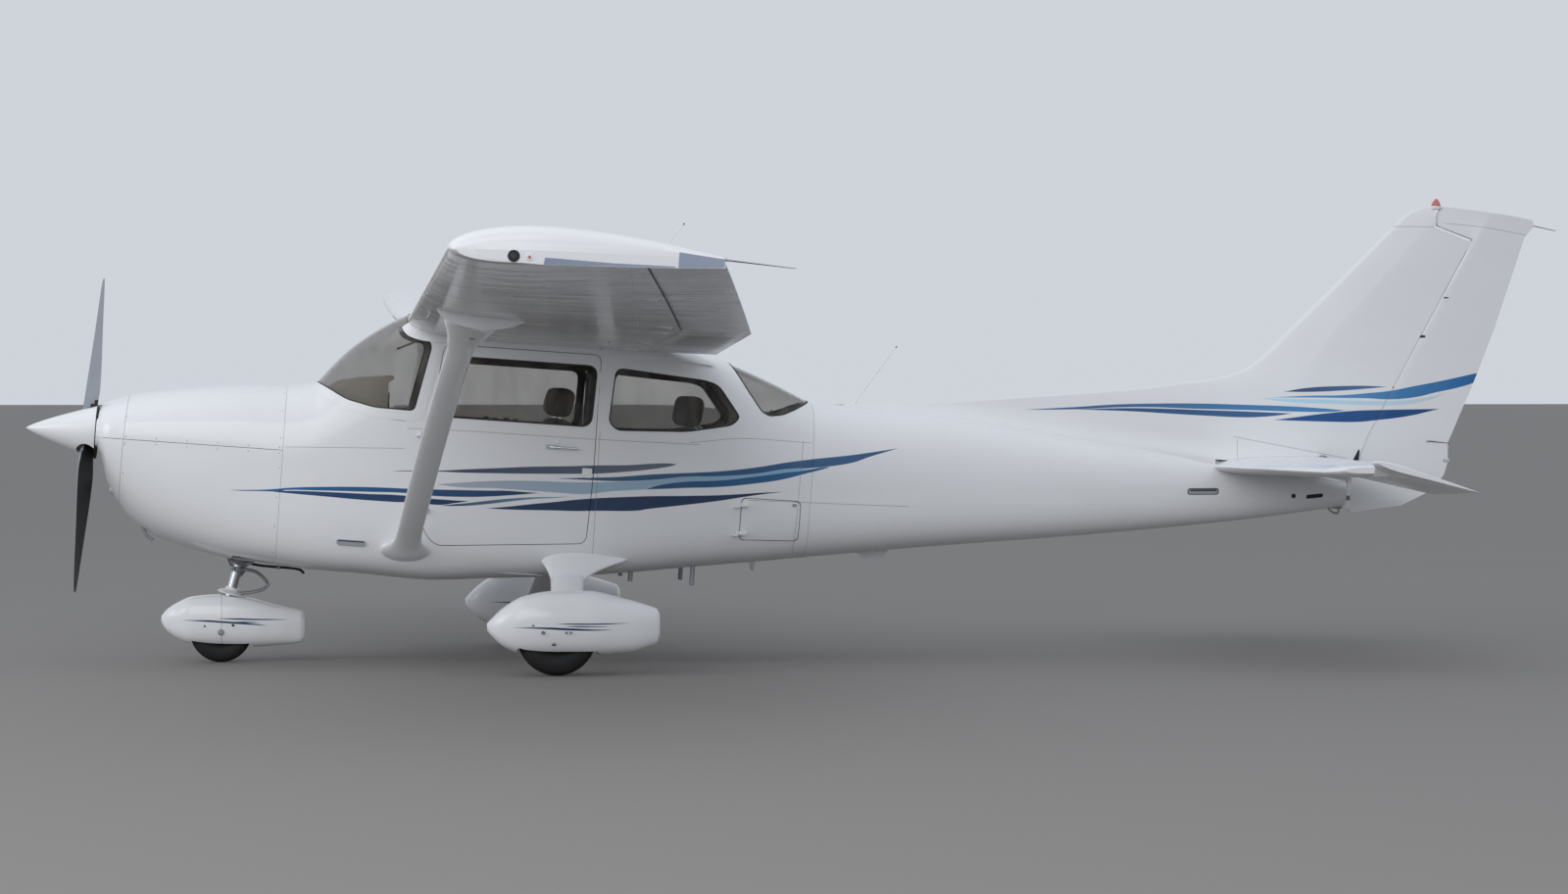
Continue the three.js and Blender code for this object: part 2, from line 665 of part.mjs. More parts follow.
// Tail surfaces
function tailplaneRing([y, leadX, leadZ, half], grow) {
  const { x, z } = TAIL_HINGE;
  const chord = x - leadX;
  const depth = half + grow;
  const shape = [[0, 0], [0.03, 0.42], [0.12, 0.82], [0.35, 1.18], [0.65, 1.2], [1, 1]];
  const at = ([share, deep], up) => [
    leadX - grow + share * (chord + grow), y, leadZ + share * (z - leadZ) + up * deep * depth,
  ];
  return [...shape.toReversed().map((p) => at(p, 1)), ...shape.slice(1).map((p) => at(p, -1))];
}

function tailplaneSolid(grow) {
  const right = TAILPLANE_STATIONS.map((row) => tailplaneRing(row, grow));
  const left = mirrored(right.slice(1), -1).reverse();
  return loft([...left, ...right]);
}

function tailplane() {
  const { x, z } = TAIL_HINGE;
  const reach = TAILPLANE_HALF_SPAN + 20;
  const bay = loft([
    bayRing(-reach, x, z, ELEVATOR_STATIONS[0][2] + SURFACE_GAP + 2),
    bayRing(reach, x, z, ELEVATOR_STATIONS[0][2] + SURFACE_GAP + 2),
  ]);
  const horns = [-1, 1].map((side) => {
    const [low, high] = [side * (HORN_Y - SIDE_GAP), side * (HORN_Y + 200)].sort((a, b) => a - b);
    return box(HORN_FRONT_X - 16, 5800, low, high, 1200, 1700);
  });
  const saddle = box(5060, 5560, -70, 70, 1340, 1420);
  const inside = tailplaneSolid(-SKIN).intersect(box(4800, x - 66, -1560, 1560, 1300, 1600));
  const opening = box(5130, 5470, -45, 45, 1300, 1400);
  const tubeBore = bore([x, -100, z], [x, 100, z], TORQUE_TUBE_R, BAR_SIDES);
  const plane = without(tailplaneSolid(0).add(saddle), bay, ...horns);
  return without(plane.add(tubeBracket(0)), inside, opening, tubeBore, tailSolid(SEAT_GAP));
}

// Bearing of the elevator's tube behind the tailplane
function tubeBracket(grow) {
  const { x, z } = TAIL_HINGE;
  return box(x - 75 - grow, x + 24 + grow, -12 - grow, 12 + grow, z - 24 - grow, z + 24 + grow);
}

// Elevator in its own frame: the hinge is the origin, neutral
function elevatorHalf(side) {
  const rings = ELEVATOR_STATIONS.map(([y, chord, half]) => hingedRing(y, 0, 0, half, chord, 0));
  const hornFront = HORN_FRONT_X - TAIL_HINGE.x;
  const horn = [[HORN_Y, 27], [1690, 24], [TAILPLANE_HALF_SPAN, 14]].map(([y, half]) => [
    [4, y, half], [hornFront + 30, y, half * 0.8], [hornFront, y, 0], [hornFront + 30, y, -half * 0.8],
    [4, y, -half],
  ]);
  const hollow = [100, 265, HORN_Y - END_RIB].map((y) => {
    const [chord, half] = elevatorAt(y);
    return hollowRing(y, 0, 0, half, chord, 0);
  });
  const disc = bar([0, side * 116, 0], [0, side * 132, 0], ELEVATOR_STATIONS[0][2] - 3);
  const skin = loft(mirrored(rings, side)).add(loft(mirrored(horn, side)));
  return skin.subtract(loft(mirrored(hollow, side))).add(disc);
}

// Chord behind the hinge, and half thickness there
function elevatorAt(y) {
  const i = Math.max(1, ELEVATOR_STATIONS.findIndex((row) => row[0] >= y));
  const [low, high] = [ELEVATOR_STATIONS[i - 1], ELEVATOR_STATIONS[i]];
  const share = (y - low[0]) / (high[0] - low[0]);
  return [low[1] + share * (high[1] - low[1]), low[2] + share * (high[2] - low[2])];
}

function tabHinge(y) {
  const [chord, half] = elevatorAt(y);
  const x = chord - TRIM_TAB.chord;
  return { x, half: half + (x / chord) * (EDGE - half), chord };
}

function tabPin(make) {
  const at = (y) => [tabHinge(y).x, y, 0];
  const { outer } = TRIM_TAB;
  return make(at(outer - 14), at(outer + SIDE_GAP + 6), 4);
}

function trimTab() {
  return loft(
    [TRIM_TAB.inner, TRIM_TAB.outer].map((y) => {
      const { x, half, chord } = tabHinge(y);
      return hingedRing(y, x, 0, half, chord, 0);
    }),
  ).subtract(tabPin(bore));
}

function elevator() {
  const bay = loft(
    [TRIM_TAB.inner - SIDE_GAP, TRIM_TAB.outer + SIDE_GAP].map((y) => {
      const { x, half } = tabHinge(y);
      return bayRing(y, x, 0, half + SURFACE_GAP);
    }),
  );
  const tube = bar([0, -130, 0], [0, 130, 0], TORQUE_TUBE_R);
  return union(without(union(elevatorHalf(-1), elevatorHalf(1), tube), bay), tabPin(pin));
}

// Fin: symmetric sections at each height
function finRing([z, leadX, edgeX, half]) {
  const shape = [[0, 0], [0.03, 0.45], [0.12, 0.8], [0.35, 1], [0.7, 0.75], [1, 0.45]];
  const at = ([share, deep], up) => [leadX + share * (edgeX - leadX), up * deep * half, z];
  return [...shape.toReversed().map((p) => at(p, 1)), ...shape.slice(1).map((p) => at(p, -1))];
}

const hingeSlope = Math.atan2(
  RUDDER_HINGE.highX - RUDDER_HINGE.lowX,
  RUDDER_HINGE.highZ - RUDDER_HINGE.lowZ,
);

// Rudder skins in the hinge's own frame: height along the hinge, then chord and half thickness
const RUDDER_STATIONS = [
  [-330, 560, 38],
  [400, 470, 34],
  [1700, 260, 24],
];

function hingeFrame(solid) {
  const turn = new THREE.Matrix4().makeRotationY(hingeSlope);
  turn.setPosition(RUDDER_HINGE.lowX, 0, RUDDER_HINGE.lowZ);
  return moved(solid, turn);
}

function rudderSkin(grow) {
  const rings = RUDDER_STATIONS.map(([height, chord, half]) => {
    const flat = grow > 0 ? bayRing(0, 0, 0, half + grow) : hingedRing(0, 0, 0, half, chord, 0);
    return flat.map(([x, , z]) => [x, z, height]);
  });
  return hingeFrame(loft(rings));
}

// Foot pin of the rudder on the end of the tail cone
function rudderPin(make) {
  const at = (z) => {
    const share = (z - RUDDER_HINGE.lowZ) / (RUDDER_HINGE.highZ - RUDDER_HINGE.lowZ);
    return [RUDDER_HINGE.lowX + share * (RUDDER_HINGE.highX - RUDDER_HINGE.lowX), 0, z];
  };
  return make(at(1320), at(1424), 7);
}

function rudder() {
  const horn = loft(
    [1412, 1700].map((height) => [
      [6, 26, height], [-180, 25, height], [-290, 14, height], [-320, 0, height], [-290, -14, height],
      [-180, -25, height], [6, -26, height],
    ]),
  );
  const hollow = loft(
    RUDDER_STATIONS.map(([height, chord, half]) =>
      hollowRing(0, 0, 0, half, chord, 0).map(([x, , z]) => [x, z, height]),
    ),
  );
  const inside = hingeFrame(hollow).intersect(acrossPrism(RUDDER_HOLLOW, -300, 300));
  const whole = rudderSkin(0).add(hingeFrame(horn)).intersect(acrossPrism(RUDDER_OUTLINE, -300, 300));
  return without(whole, inside, rudderPin(bore));
}

function fin() {
  const inner = FIN_STATIONS.slice(0, 3).map(([z, leadX, edgeX, half]) => finRing([z, leadX + 20, edgeX, half - SKIN]));
  const hollow = loft(inner).intersect(acrossPrism(FIN_HOLLOW, -200, 200));
  const blade = loft(FIN_STATIONS.map(finRing)).subtract(hollow);
  const dorsal = acrossPrism(DORSAL, -DORSAL_HALF_THICKNESS, DORSAL_HALF_THICKNESS);
  const { x, z } = TAIL_HINGE;
  const tubeRoom = bar([x, -300, z], [x, 300, z], 48);
  const underside = box(4990, 6000, -300, 300, 1200, z - 15);
  const behindTube = box(x, 6000, -300, 300, 1200, z + 10);
  return without(
    blade.add(dorsal),
    rudderSkin(SURFACE_GAP),
    acrossPrism(FIN_HORN_CUT, -300, 300),
    tailplaneSolid(SEAT_GAP),
    tailSolid(SEAT_GAP),
    tubeRoom,
    tubeBracket(SEAT_GAP),
    underside,
    behindTube,
  );
}

// Propeller and spinner, turned about the shaft, which is their own X axis
function bladeSolid() {
  const rings = BLADE_STATIONS.map(([radius, chord, thickness, angle]) => {
    const face = [
      [-0.5, 0], [-0.38, 0.62], [-0.1, 1], [0.2, 0.85], [0.42, 0.4], [0.5, 0], [0.3, -0.12], [-0.3, -0.12],
    ];
    const turn = degrees(angle);
    return face.map(([share, deep]) => {
      const along = -share * chord;
      const ahead = deep * thickness;
      return [
        -along * Math.sin(turn) - ahead * Math.cos(turn),
        along * Math.cos(turn) - ahead * Math.sin(turn),
        radius,
      ];
    });
  });
  return loft(rings);
}

function propellerBlades() {
  const blade = bladeSolid();
  const other = moved(blade, new THREE.Matrix4().makeRotationX(Math.PI));
  const hub = bar([-34, 0, 0], [46, 0, 0], HUB_R);
  return union(blade, other, hub);
}

function spinner() {
  const { tipX, baseX, radius, wall } = SPINNER;
  const length = baseX - tipX;
  const profile = (inset) => {
    const points = Array.from({ length: 7 }, (_, i) => {
      const share = i / 6;
      return new THREE.Vector2((radius - inset) * share, (length - inset) * (1 - share ** SPINNER.roundness));
    });
    return [...points, new THREE.Vector2(0, 0)];
  };
  const nose = (inset) => {
    const geometry = new THREE.LatheGeometry(profile(inset), LATHE_SIDES).rotateZ(Math.PI / 2);
    return solidOf(geometry.translate(baseX - DISC_X, 0, 0));
  };
  const inside = nose(wall).subtract(box(baseX - DISC_X - wall, 200, -300, 300, -300, 300));
  const holes = bar([0, 0, -200], [0, 0, 200], BLADE_HOLE_R);
  const shaftHole = bar([-20, 0, 0], [200, 0, 0], HUB_R + SEAT_GAP);
  return without(nose(0), inside, holes, shaftHole);
}

// Turned parts lie along Y. Their radii are measured to the flats, and a flat faces down,
// so a tyre has a contact patch.
function lathe(profile) {
  const half = Math.PI / LATHE_SIDES;
  const points = profile.map(([r, y]) => new THREE.Vector2(r / Math.cos(half), y));
  return solidOf(new THREE.LatheGeometry(points, LATHE_SIDES, half));
}

function tyre({ radius, width, rim }) {
  const half = width / 2;
  const bead = half * 0.62;
  const crown = 0.5 * (radius + rim);
  const profile = [
    [rim + SEAT_GAP, -bead], [rim + 14, -half * 0.86], [crown, -half], [radius - 22, -half * 0.78],
    [radius, -half * 0.36], [radius, half * 0.36], [radius - 22, half * 0.78], [crown, half],
    [rim + 14, half * 0.86], [rim + SEAT_GAP, bead], [rim + SEAT_GAP, -bead],
  ];
  return lathe(profile);
}

function rim({ width, rim: radius }) {
  const half = width / 2;
  const bead = half * 0.6;
  const profile = [
    [BORE_R, -half * 0.7], [BORE_R + 16, -half * 0.7], [BORE_R + 18, -10], [radius - 8, -bead],
    [radius, -bead], [radius, bead], [radius - 8, bead], [BORE_R + 18, 10],
    [BORE_R + 16, half * 0.7], [BORE_R, half * 0.7], [BORE_R, -half * 0.7],
  ];
  return lathe(profile);
}

// Wheel fairing: a hollow teardrop, open below for the tyre; the axle is at x 0
function fairingSkin(stations, inset) {
  const rings = stations.map(([x, bottom, top, half]) => {
    const squeeze = Math.min(inset, half * 0.6, (top - bottom) * 0.3);
    const middle = (bottom + top) / 2;
    const row = [x, half, bottom, top, middle, 2.5, 2.8];
    return sectionRing(row, squeeze, FAIRING_POINTS);
  });
  if (inset === 0) return loft(rings);
  return loft(rings.slice(1, -1));
}

function wheelFairing(stations, { radius, width }) {
  const room = radius + TYRE_CLEARANCE;
  const half = width / 2 + TYRE_CLEARANCE;
  const mouth = box(-room * 0.96, room * 0.96, -half, half, 0, radius * 0.9);
  return without(fairingSkin(stations, 0), fairingSkin(stations, FAIRING_WALL), mouth);
}

function mainLeg(side, grow = 0) {
  const rings = MAIN_LEG_STATIONS.map(([y, x, z, chord, thickness]) =>
    ellipseRing(y, x, z, chord + 2 * grow, thickness + 2 * grow),
  );
  const inner = MAIN_Y - MAIN_TYRE.width / 2 - TYRE_CLEARANCE;
  const z = MAIN_TYRE.radius;
  const axle = bar([MAIN_X, side * 1150, z], [MAIN_X, side * (MAIN_Y + 80), z], AXLE_R + grow);
  const flange = bar([MAIN_X, side * 1150, z], [MAIN_X, side * inner, z], 46 + grow);
  return union(loft(mirrored(rings, side)), flange, axle);
}

// Nose gear: the oleo leans, so its parts are drawn upright at the origin and then raked
const oleoMatrix = () => {
  const matrix = new THREE.Matrix4().makeRotationY(degrees(OLEO.rake));
  return matrix.setPosition(OLEO.lowX, 0, OLEO.lowZ);
};

const pistonBore = () => bore([0, 0, 0], [0, 0, BARREL.low + BARREL.blind], PISTON_R, PISTON_SIDES);

function noseBarrel() {
  const { outer, low, high } = BARREL;
  const tube = bar([0, 0, low], [0, 0, high], outer);
  const collar = bar([0, 0, low], [0, 0, low + 24], outer + 8);
  return moved(union(tube, collar), oleoMatrix());
}

// The bridge over the nose tyre, grown by a gap
function forkCrown(grow) {
  const low = 2 * NOSE_TYRE.radius + 4;
  return box(-8 - grow, 56 + grow, -46 - grow, 46 + grow, low - grow, low + 9 + grow);
}

function noseFork() {
  const piston = pin([0, 0, -36], [0, 0, 420], PISTON_R, PISTON_SIDES);
  const collar = bar([0, 0, 20], [0, 0, 56], 34);
  const link = [
    bar([30, 0, 38], [108, 0, 66], 9, 9, 8),
    bar([108, 0, 60], [34, 0, 130], 9, 9, 8),
    bar([0, 0, 124], [0, 0, 142], 34),
  ];
  const upright = moved(union(piston, collar, ...link), oleoMatrix());
  const half = NOSE_TYRE.width / 2 + 12;
  const top = 2 * NOSE_TYRE.radius + 4;
  const crown = forkCrown(0);
  const legs = [-1, 1].map((side) => {
    const ring = (z, x, chord, y) => [
      [x - chord, side * y, z], [x + chord, side * y, z],
      [x + chord, side * (y + 11), z], [x - chord, side * (y + 11), z],
    ];
    const low = NOSE_TYRE.radius;
    return loft([
      ring(low - 28, 0, 20, half), ring(low + 112, 14, 26, half - 2), ring(top + 7, 24, 30, 32),
    ]);
  });
  const z = NOSE_TYRE.radius;
  const axle = bar([0, -114, z], [0, 114, z], AXLE_R);
  return union(upright, crown, ...legs, axle);
}

function noseFairing() {
  const { lowX, lowZ } = OLEO;
  const collarRoom = bar([lowX - 20, 0, lowZ - 60], [lowX + 20, 0, lowZ + 80], 42);
  const pinRoom = bar([0, -200, NOSE_TYRE.radius], [0, 200, NOSE_TYRE.radius], AXLE_R + SEAT_GAP);
  return without(wheelFairing(NOSE_FAIRING, NOSE_TYRE), collarRoom, pinRoom, forkCrown(SEAT_GAP));
}

// Cabin fittings
function frontSeat(side) {
  const profile = [
    [800, 800], [800, 900], [860, 925], [1250, 890], [1290, 930], [1390, 1440], [1450, 1446], [1470, 1400],
    [1400, 820], [1340, 790],
  ];
  const cushion = acrossPrism(profile, side * 260 - 215, side * 260 + 215, 30);
  const head = box(1400, 1462, side * 260 - 110, side * 260 + 110, 1430, 1560);
  const legs = [-1, 1].map((edge) => {
    const y = side * 260 + edge * 170;
    return box(850, 1330, y - 12, y + 12, FLOOR_Z + SEAT_GAP, 810);
  });
  return union(cushion, head, ...legs).intersect(cabinInside(SEAT_GAP));
}

function rearBench() {
  const profile = [
    [1770, 800], [1770, 900], [1830, 925], [2130, 895], [2160, 930], [2215, 1400], [2275, 1400], [2300, 1350],
    [2232, 800],
  ];
  const legs = [-1, 1].map((side) => box(1800, 2200, side * 330 - 15, side * 330 + 15, 500, 810));
  const bench = union(acrossPrism(profile, -425, 425, 30), ...legs);
  return bench.intersect(cabinInside(SEAT_GAP));
}

function instrumentPanel() {
  const face = box(400, 430, -600, 600, 1000, 1375);
  const shelf = box(60, 450, -600, 600, 1365, 1385);
  const pedestal = box(0, 425, -75, 75, 500, 1020);
  const yokes = [-1, 1].flatMap((side) => {
    const y = side * 260;
    return [
      bar([420, y, 1190], [590, y, 1190], 12, 12, 8),
      bar([590, y - 120, 1200], [590, y + 120, 1200], 15, 15, 8),
      bar([590, y - 120, 1190], [590, y - 135, 1290], 15, 15, 8),
      bar([590, y + 120, 1190], [590, y + 135, 1290], 15, 15, 8),
    ];
  });
  return union(face, shelf, pedestal, ...yokes).intersect(cabinInside(SEAT_GAP));
}

// The assembly
const aircraft = new THREE.Group();
aircraft.name = "light_aircraft";
const ground = new THREE.Group();
ground.position.x = FRAME_SHIFT;
const airframe = new THREE.Group();
airframe.position.x = FIREWALL_AHEAD;
airframe.rotation.y = degrees(PARKED_PITCH);
aircraft.add(ground);
ground.add(airframe);

function addPiece(group, name, solid, colour, roughness = 0.4, metalness = 0) {
  const material = new THREE.MeshStandardMaterial({ color: COLOURS[colour], roughness, metalness });
  const mesh = new THREE.Mesh(geometryOf(solid), material);
  mesh.name = name;
  group.add(mesh);
  return mesh;
}

const SIDES = [["left", -1], ["right", 1]];
const groundToAirframe = new THREE.Matrix4()
  .makeRotationY(degrees(PARKED_PITCH))
  .setPosition(FIREWALL_AHEAD, 0, 0)
  .invert();
const airframeToGround = groundToAirframe.clone().invert();

addPiece(airframe, "cowl_upper", cowlHalf(true), "white");
addPiece(airframe, "cowl_lower", cowlHalf(false), "white");
addPiece(airframe, "engine", engine(), "engine", 0.6, 0.6);
addPiece(airframe, "cabin", cabin(), "white");
addPiece(airframe, "tail_cone", tailCone(), "white");
addPiece(airframe, "fin", fin(), "white");
addPiece(airframe, "tailplane", tailplane(), "white");
addPiece(airframe, "rudder", rudder(), "white");
addPiece(airframe, "windshield", glassPane(WINDSHIELD, -700, 700, 30), "glass", 0.05);
addPiece(airframe, "rear_window", glassPane(REAR_WINDOW, -700, 700, 20), "glass", 0.05);
addPiece(airframe, "instrument_panel", instrumentPanel(), "panel", 0.7);
addPiece(airframe, "rear_bench", rearBench(), "seat", 0.9);
addPiece(airframe, "baggage_door", baggageDoor(), "white");

const elevatorGroup = new THREE.Group();
elevatorGroup.position.set(TAIL_HINGE.x, 0, TAIL_HINGE.z);
elevatorGroup.rotation.y = degrees(ELEVATOR_DROOP);
airframe.add(elevatorGroup);
addPiece(elevatorGroup, "elevator", elevator(), "white");
addPiece(elevatorGroup, "trim_tab", trimTab(), "white");

const propellerGroup = new THREE.Group();
propellerGroup.position.set(DISC_X, 0, SHAFT_Z);
propellerGroup.rotation.x = -degrees(PROP_LEAN);
airframe.add(propellerGroup);
addPiece(propellerGroup, "propeller", propellerBlades(), "blade", 0.4, 0.4);
addPiece(propellerGroup, "spinner", spinner(), "white");

for (const [label, side] of SIDES) {
  const [y0, y1] = side < 0 ? [-700, 0] : [0, 700];
  addPiece(airframe, "wing_" + label, wing(side), "white");
  addPiece(airframe, "flap_" + label, wingSurface(FLAP, side), "skin");
  addPiece(airframe, "aileron_" + label, wingSurface(AILERON, side), "skin");
  addPiece(airframe, "strut_" + label, strut(side), "white");
  addPiece(airframe, "door_" + label, door(side), "white");
  addPiece(airframe, "door_window_" + label, glassPane(DOOR_WINDOW, y0, y1, 60), "glass", 0.05);
  addPiece(airframe, "rear_side_window_" + label, glassPane(REAR_SIDE_WINDOW, y0, y1, 50), "glass", 0.05);
  addPiece(airframe, "front_seat_" + label, frontSeat(side), "seat", 0.9);

  const belly = moved(cabinSolid(SEAT_GAP), airframeToGround);
  addPiece(ground, "main_leg_" + label, mainLeg(side).subtract(belly), "white");
  const place = new THREE.Matrix4().makeTranslation(MAIN_X, side * MAIN_Y, 0);
  const fairing = moved(wheelFairing(MAIN_FAIRING, MAIN_TYRE), place);
  addPiece(ground, "wheel_fairing_" + label, fairing.subtract(mainLeg(side, SEAT_GAP)), "white");
  const wheel = new THREE.Group();
  wheel.position.set(MAIN_X, side * MAIN_Y, MAIN_TYRE.radius);
  ground.add(wheel);
  addPiece(wheel, "tyre_" + label, tyre(MAIN_TYRE), "tyre", 0.85);
  addPiece(wheel, "rim_" + label, rim(MAIN_TYRE), "rim", 0.4, 0.6);
}

const barrelBrackets = [620, 900].map((z) => box(-215, FIREWALL_X - SEAT_GAP, -30, 30, z, z + 40));
const barrel = moved(noseBarrel(), groundToAirframe);
const pistonRoom = moved(moved(pistonBore(), oleoMatrix()), groundToAirframe);
addPiece(airframe, "nose_oleo", union(barrel, ...barrelBrackets).subtract(pistonRoom), "metal", 0.4, 0.6);
addPiece(ground, "nose_fork", noseFork(), "metal", 0.4, 0.6);
addPiece(ground, "nose_fairing", noseFairing(), "white");
const noseWheel = new THREE.Group();
noseWheel.position.z = NOSE_TYRE.radius;
ground.add(noseWheel);
addPiece(noseWheel, "nose_tyre", tyre(NOSE_TYRE), "tyre", 0.85);
addPiece(noseWheel, "nose_rim", rim(NOSE_TYRE), "rim", 0.4, 0.6);

export default aircraft;
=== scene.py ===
"""Looks of a four-seat light aircraft: high strutted wing, fixed tricycle gear with wheel fairings.
Lengths are millimetres in the airframe's own frame unless a comment says otherwise."""

import json
import math

import bmesh
import bpy
import numpy as np
from mathutils import Matrix, Vector
from mathutils.bvhtree import BVHTree

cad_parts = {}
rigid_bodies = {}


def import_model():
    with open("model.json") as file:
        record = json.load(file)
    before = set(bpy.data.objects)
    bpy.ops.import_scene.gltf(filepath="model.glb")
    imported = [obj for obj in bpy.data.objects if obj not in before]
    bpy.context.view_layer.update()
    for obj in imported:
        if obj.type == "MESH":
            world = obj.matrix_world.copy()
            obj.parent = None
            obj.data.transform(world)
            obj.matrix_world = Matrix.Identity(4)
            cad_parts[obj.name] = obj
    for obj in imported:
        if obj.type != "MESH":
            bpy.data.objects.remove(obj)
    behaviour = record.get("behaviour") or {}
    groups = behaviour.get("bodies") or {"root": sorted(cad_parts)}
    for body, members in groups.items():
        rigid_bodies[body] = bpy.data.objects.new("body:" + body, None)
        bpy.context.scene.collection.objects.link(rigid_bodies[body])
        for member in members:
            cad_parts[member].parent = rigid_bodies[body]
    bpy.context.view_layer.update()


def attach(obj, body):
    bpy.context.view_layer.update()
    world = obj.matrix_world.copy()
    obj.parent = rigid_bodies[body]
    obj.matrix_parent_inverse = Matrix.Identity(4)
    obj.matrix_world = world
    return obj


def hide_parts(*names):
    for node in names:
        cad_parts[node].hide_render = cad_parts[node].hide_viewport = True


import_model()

# Driving dimensions, as in the part
PARKED_PITCH = 4
FIREWALL_AHEAD = 320
FRAME_SHIFT = -3089.3
HALF_SPAN = 5500
WALL = 40
COWL_WALL = 12
TAIL_WALL = 7
FIREWALL_X = -70
WINDSHIELD_FOOT_X = 90
CABIN_END_X = 2740
TAIL_END_X = 5740
FLOOR_Z = 560
BAGGAGE_FLOOR_Z = 775
COWL_SPLIT_Z = 1137
SEAM = 2.5
LEAF_GAP = 3.5
WINDOW_WALL = 13
PANE_SINK = 2
PANE_THICK = 6
SIDES = (("left", -1), ("right", 1))
# Half of what a cutting solid takes across, which is more than the cabin's width, and the y values
# that a cut on the left side, on the right side or through both runs between
BEYOND = 700
REACH = {-1: (-BEYOND, 0), 1: (0, BEYOND), 0: (-BEYOND, BEYOND)}

# Columns: station x, half width, bottom z, top z, z of the widest line, power of the upper and of
# the lower superellipse
FUSELAGE = [
    [-1044, 312, 1072, 1290, 1157, 2.3, 2.3],
    [-1036, 336, 1044, 1306, 1156, 2.3, 2.3],
    [-1014, 360, 1008, 1322, 1152, 2.3, 2.3],
    [-986, 378, 909, 1337, 1148, 2.4, 2.3],
    [-954, 389, 845, 1349, 1146, 2.4, 2.3],
    [-901, 402, 772, 1366, 1144, 2.5, 2.4],
    [-832, 413, 701, 1384, 1140, 2.5, 2.6],
    [-697, 433, 626, 1411, 1132, 2.6, 3],
    [-477, 462, 566, 1444, 1115, 2.7, 3.6],
    [-303, 480, 537, 1463, 1100, 2.8, 4.2],
    [FIREWALL_X, 505, 522, 1482, 1080, 2.8, 5],
    [WINDSHIELD_FOOT_X, 520, 511, 1510, 1090, 3, 5.5],
    [160, 524, 511, 1600, 1094, 3.1, 5.8],
    [270, 530, 510, 1716, 1100, 3.4, 6],
    [465, 535, 505, 1858, 1110, 4.2, 6],
    [545, 535, 501, 1900, 1110, 5, 6],
    [700, 535, 497, 1946, 1110, 9, 6],
    [1050, 537, 525, 1977, 1110, 12, 6],
    [1600, 535, 578, 1930, 1110, 12, 6],
    [2152, 492, 655, 1797, 1115, 6, 5],
    [2450, 438, 697, 1700, 1115, 4, 4.4],
    [CABIN_END_X, 385, 740, 1580, 1115, 3, 3.8],
    [3468, 302, 847, 1560, 1165, 2.6, 3.2],
    [4288, 214, 961, 1490, 1210, 2.4, 2.8],
    [5115, 128, 1093, 1425, 1250, 2.3, 2.5],
    [TAIL_END_X, 76, 1216, 1357, 1290, 2.2, 2.3],
]

# Air inlets of the cowl: y, half width, bottom z, top z, power of the outline, x of the lip's ends and
# of the hole's. The two beside the propeller are widest a little below their middle.
INLETS = (
    (-236, 84, 1098, 1224, 2.6, (-1050, -1018), (-1100, -900)),
    (236, 84, 1098, 1224, 2.6, (-1050, -1018), (-1100, -900)),
    (0, 132, 846, 912, 3, (-966, -880), (-1060, -880)),
)
INLET_DROP = 1
LIP = 12

# Windows and doors as outlines of x and z, with the rounding of their corners
WINDSHIELD = [
    [72, 1514], [240, 1425], [390, 1392], [600, 1388], [672, 1741], [556, 1872], [540, 2050], [60, 2050],
]
REAR_WINDOW = [
    [2215, 1860], [2274, 1742], [2358, 1621], [2442, 1510], [2487, 1488], [2562, 1500], [2632, 1532],
    [2727, 1584], [2735, 1640], [2735, 1860],
]
REAR_SIDE_WINDOW = [
    [1668, 1358], [2043, 1376], [2285, 1426], [2329, 1473], [2202, 1636], [2133, 1658], [1640, 1692],
    [1620, 1400],
]
DOOR = [
    [756, 689], [1547, 751], [1562, 1100], [1562, 1752], [732, 1752], [700, 1460], [650, 1100],
    [656, 900], [690, 757],
]
DOOR_WINDOW = [[700, 1366], [1535, 1366], [1548, 1694], [778, 1694]]
DOOR_TRIM_HOLE = [[704, 1372], [1508, 1372], [1518, 1664], [784, 1664]]
REAR_TRIM_HOLE = [
    [1662, 1364], [2043, 1384], [2278, 1432], [2320, 1473], [2196, 1630], [2130, 1644], [1646, 1664],
    [1628, 1400],
]
BAGGAGE_DOOR = [[2362, 822], [2690, 834], [2690, 1050], [2362, 1050]]
WINDSHIELD_CORNER = 30
REAR_WINDOW_CORNER = 20
REAR_SIDE_CORNER = 50
DOOR_WINDOW_CORNER = 60
DOOR_CORNER = 45
LEAF_CORNER = 40
HATCH_CORNER = 30
# Panes: name, name of the seal, outline, side or 0 for both, rounding of the corners, body
PANES = (
    ("windshield", "windshield_seal", WINDSHIELD, 0, WINDSHIELD_CORNER, "airframe"),
    ("rear_window", "rear_window_seal", REAR_WINDOW, 0, REAR_WINDOW_CORNER, "airframe"),
    ("door_window_left", "door_window_seal_left", DOOR_WINDOW, -1, DOOR_WINDOW_CORNER, "door_left"),
    ("door_window_right", "door_window_seal_right", DOOR_WINDOW, 1, DOOR_WINDOW_CORNER, "door_right"),
    ("rear_side_window_left", "rear_side_seal_left", REAR_SIDE_WINDOW, -1, REAR_SIDE_CORNER, "airframe"),
    ("rear_side_window_right", "rear_side_seal_right", REAR_SIDE_WINDOW, 1, REAR_SIDE_CORNER, "airframe"),
)

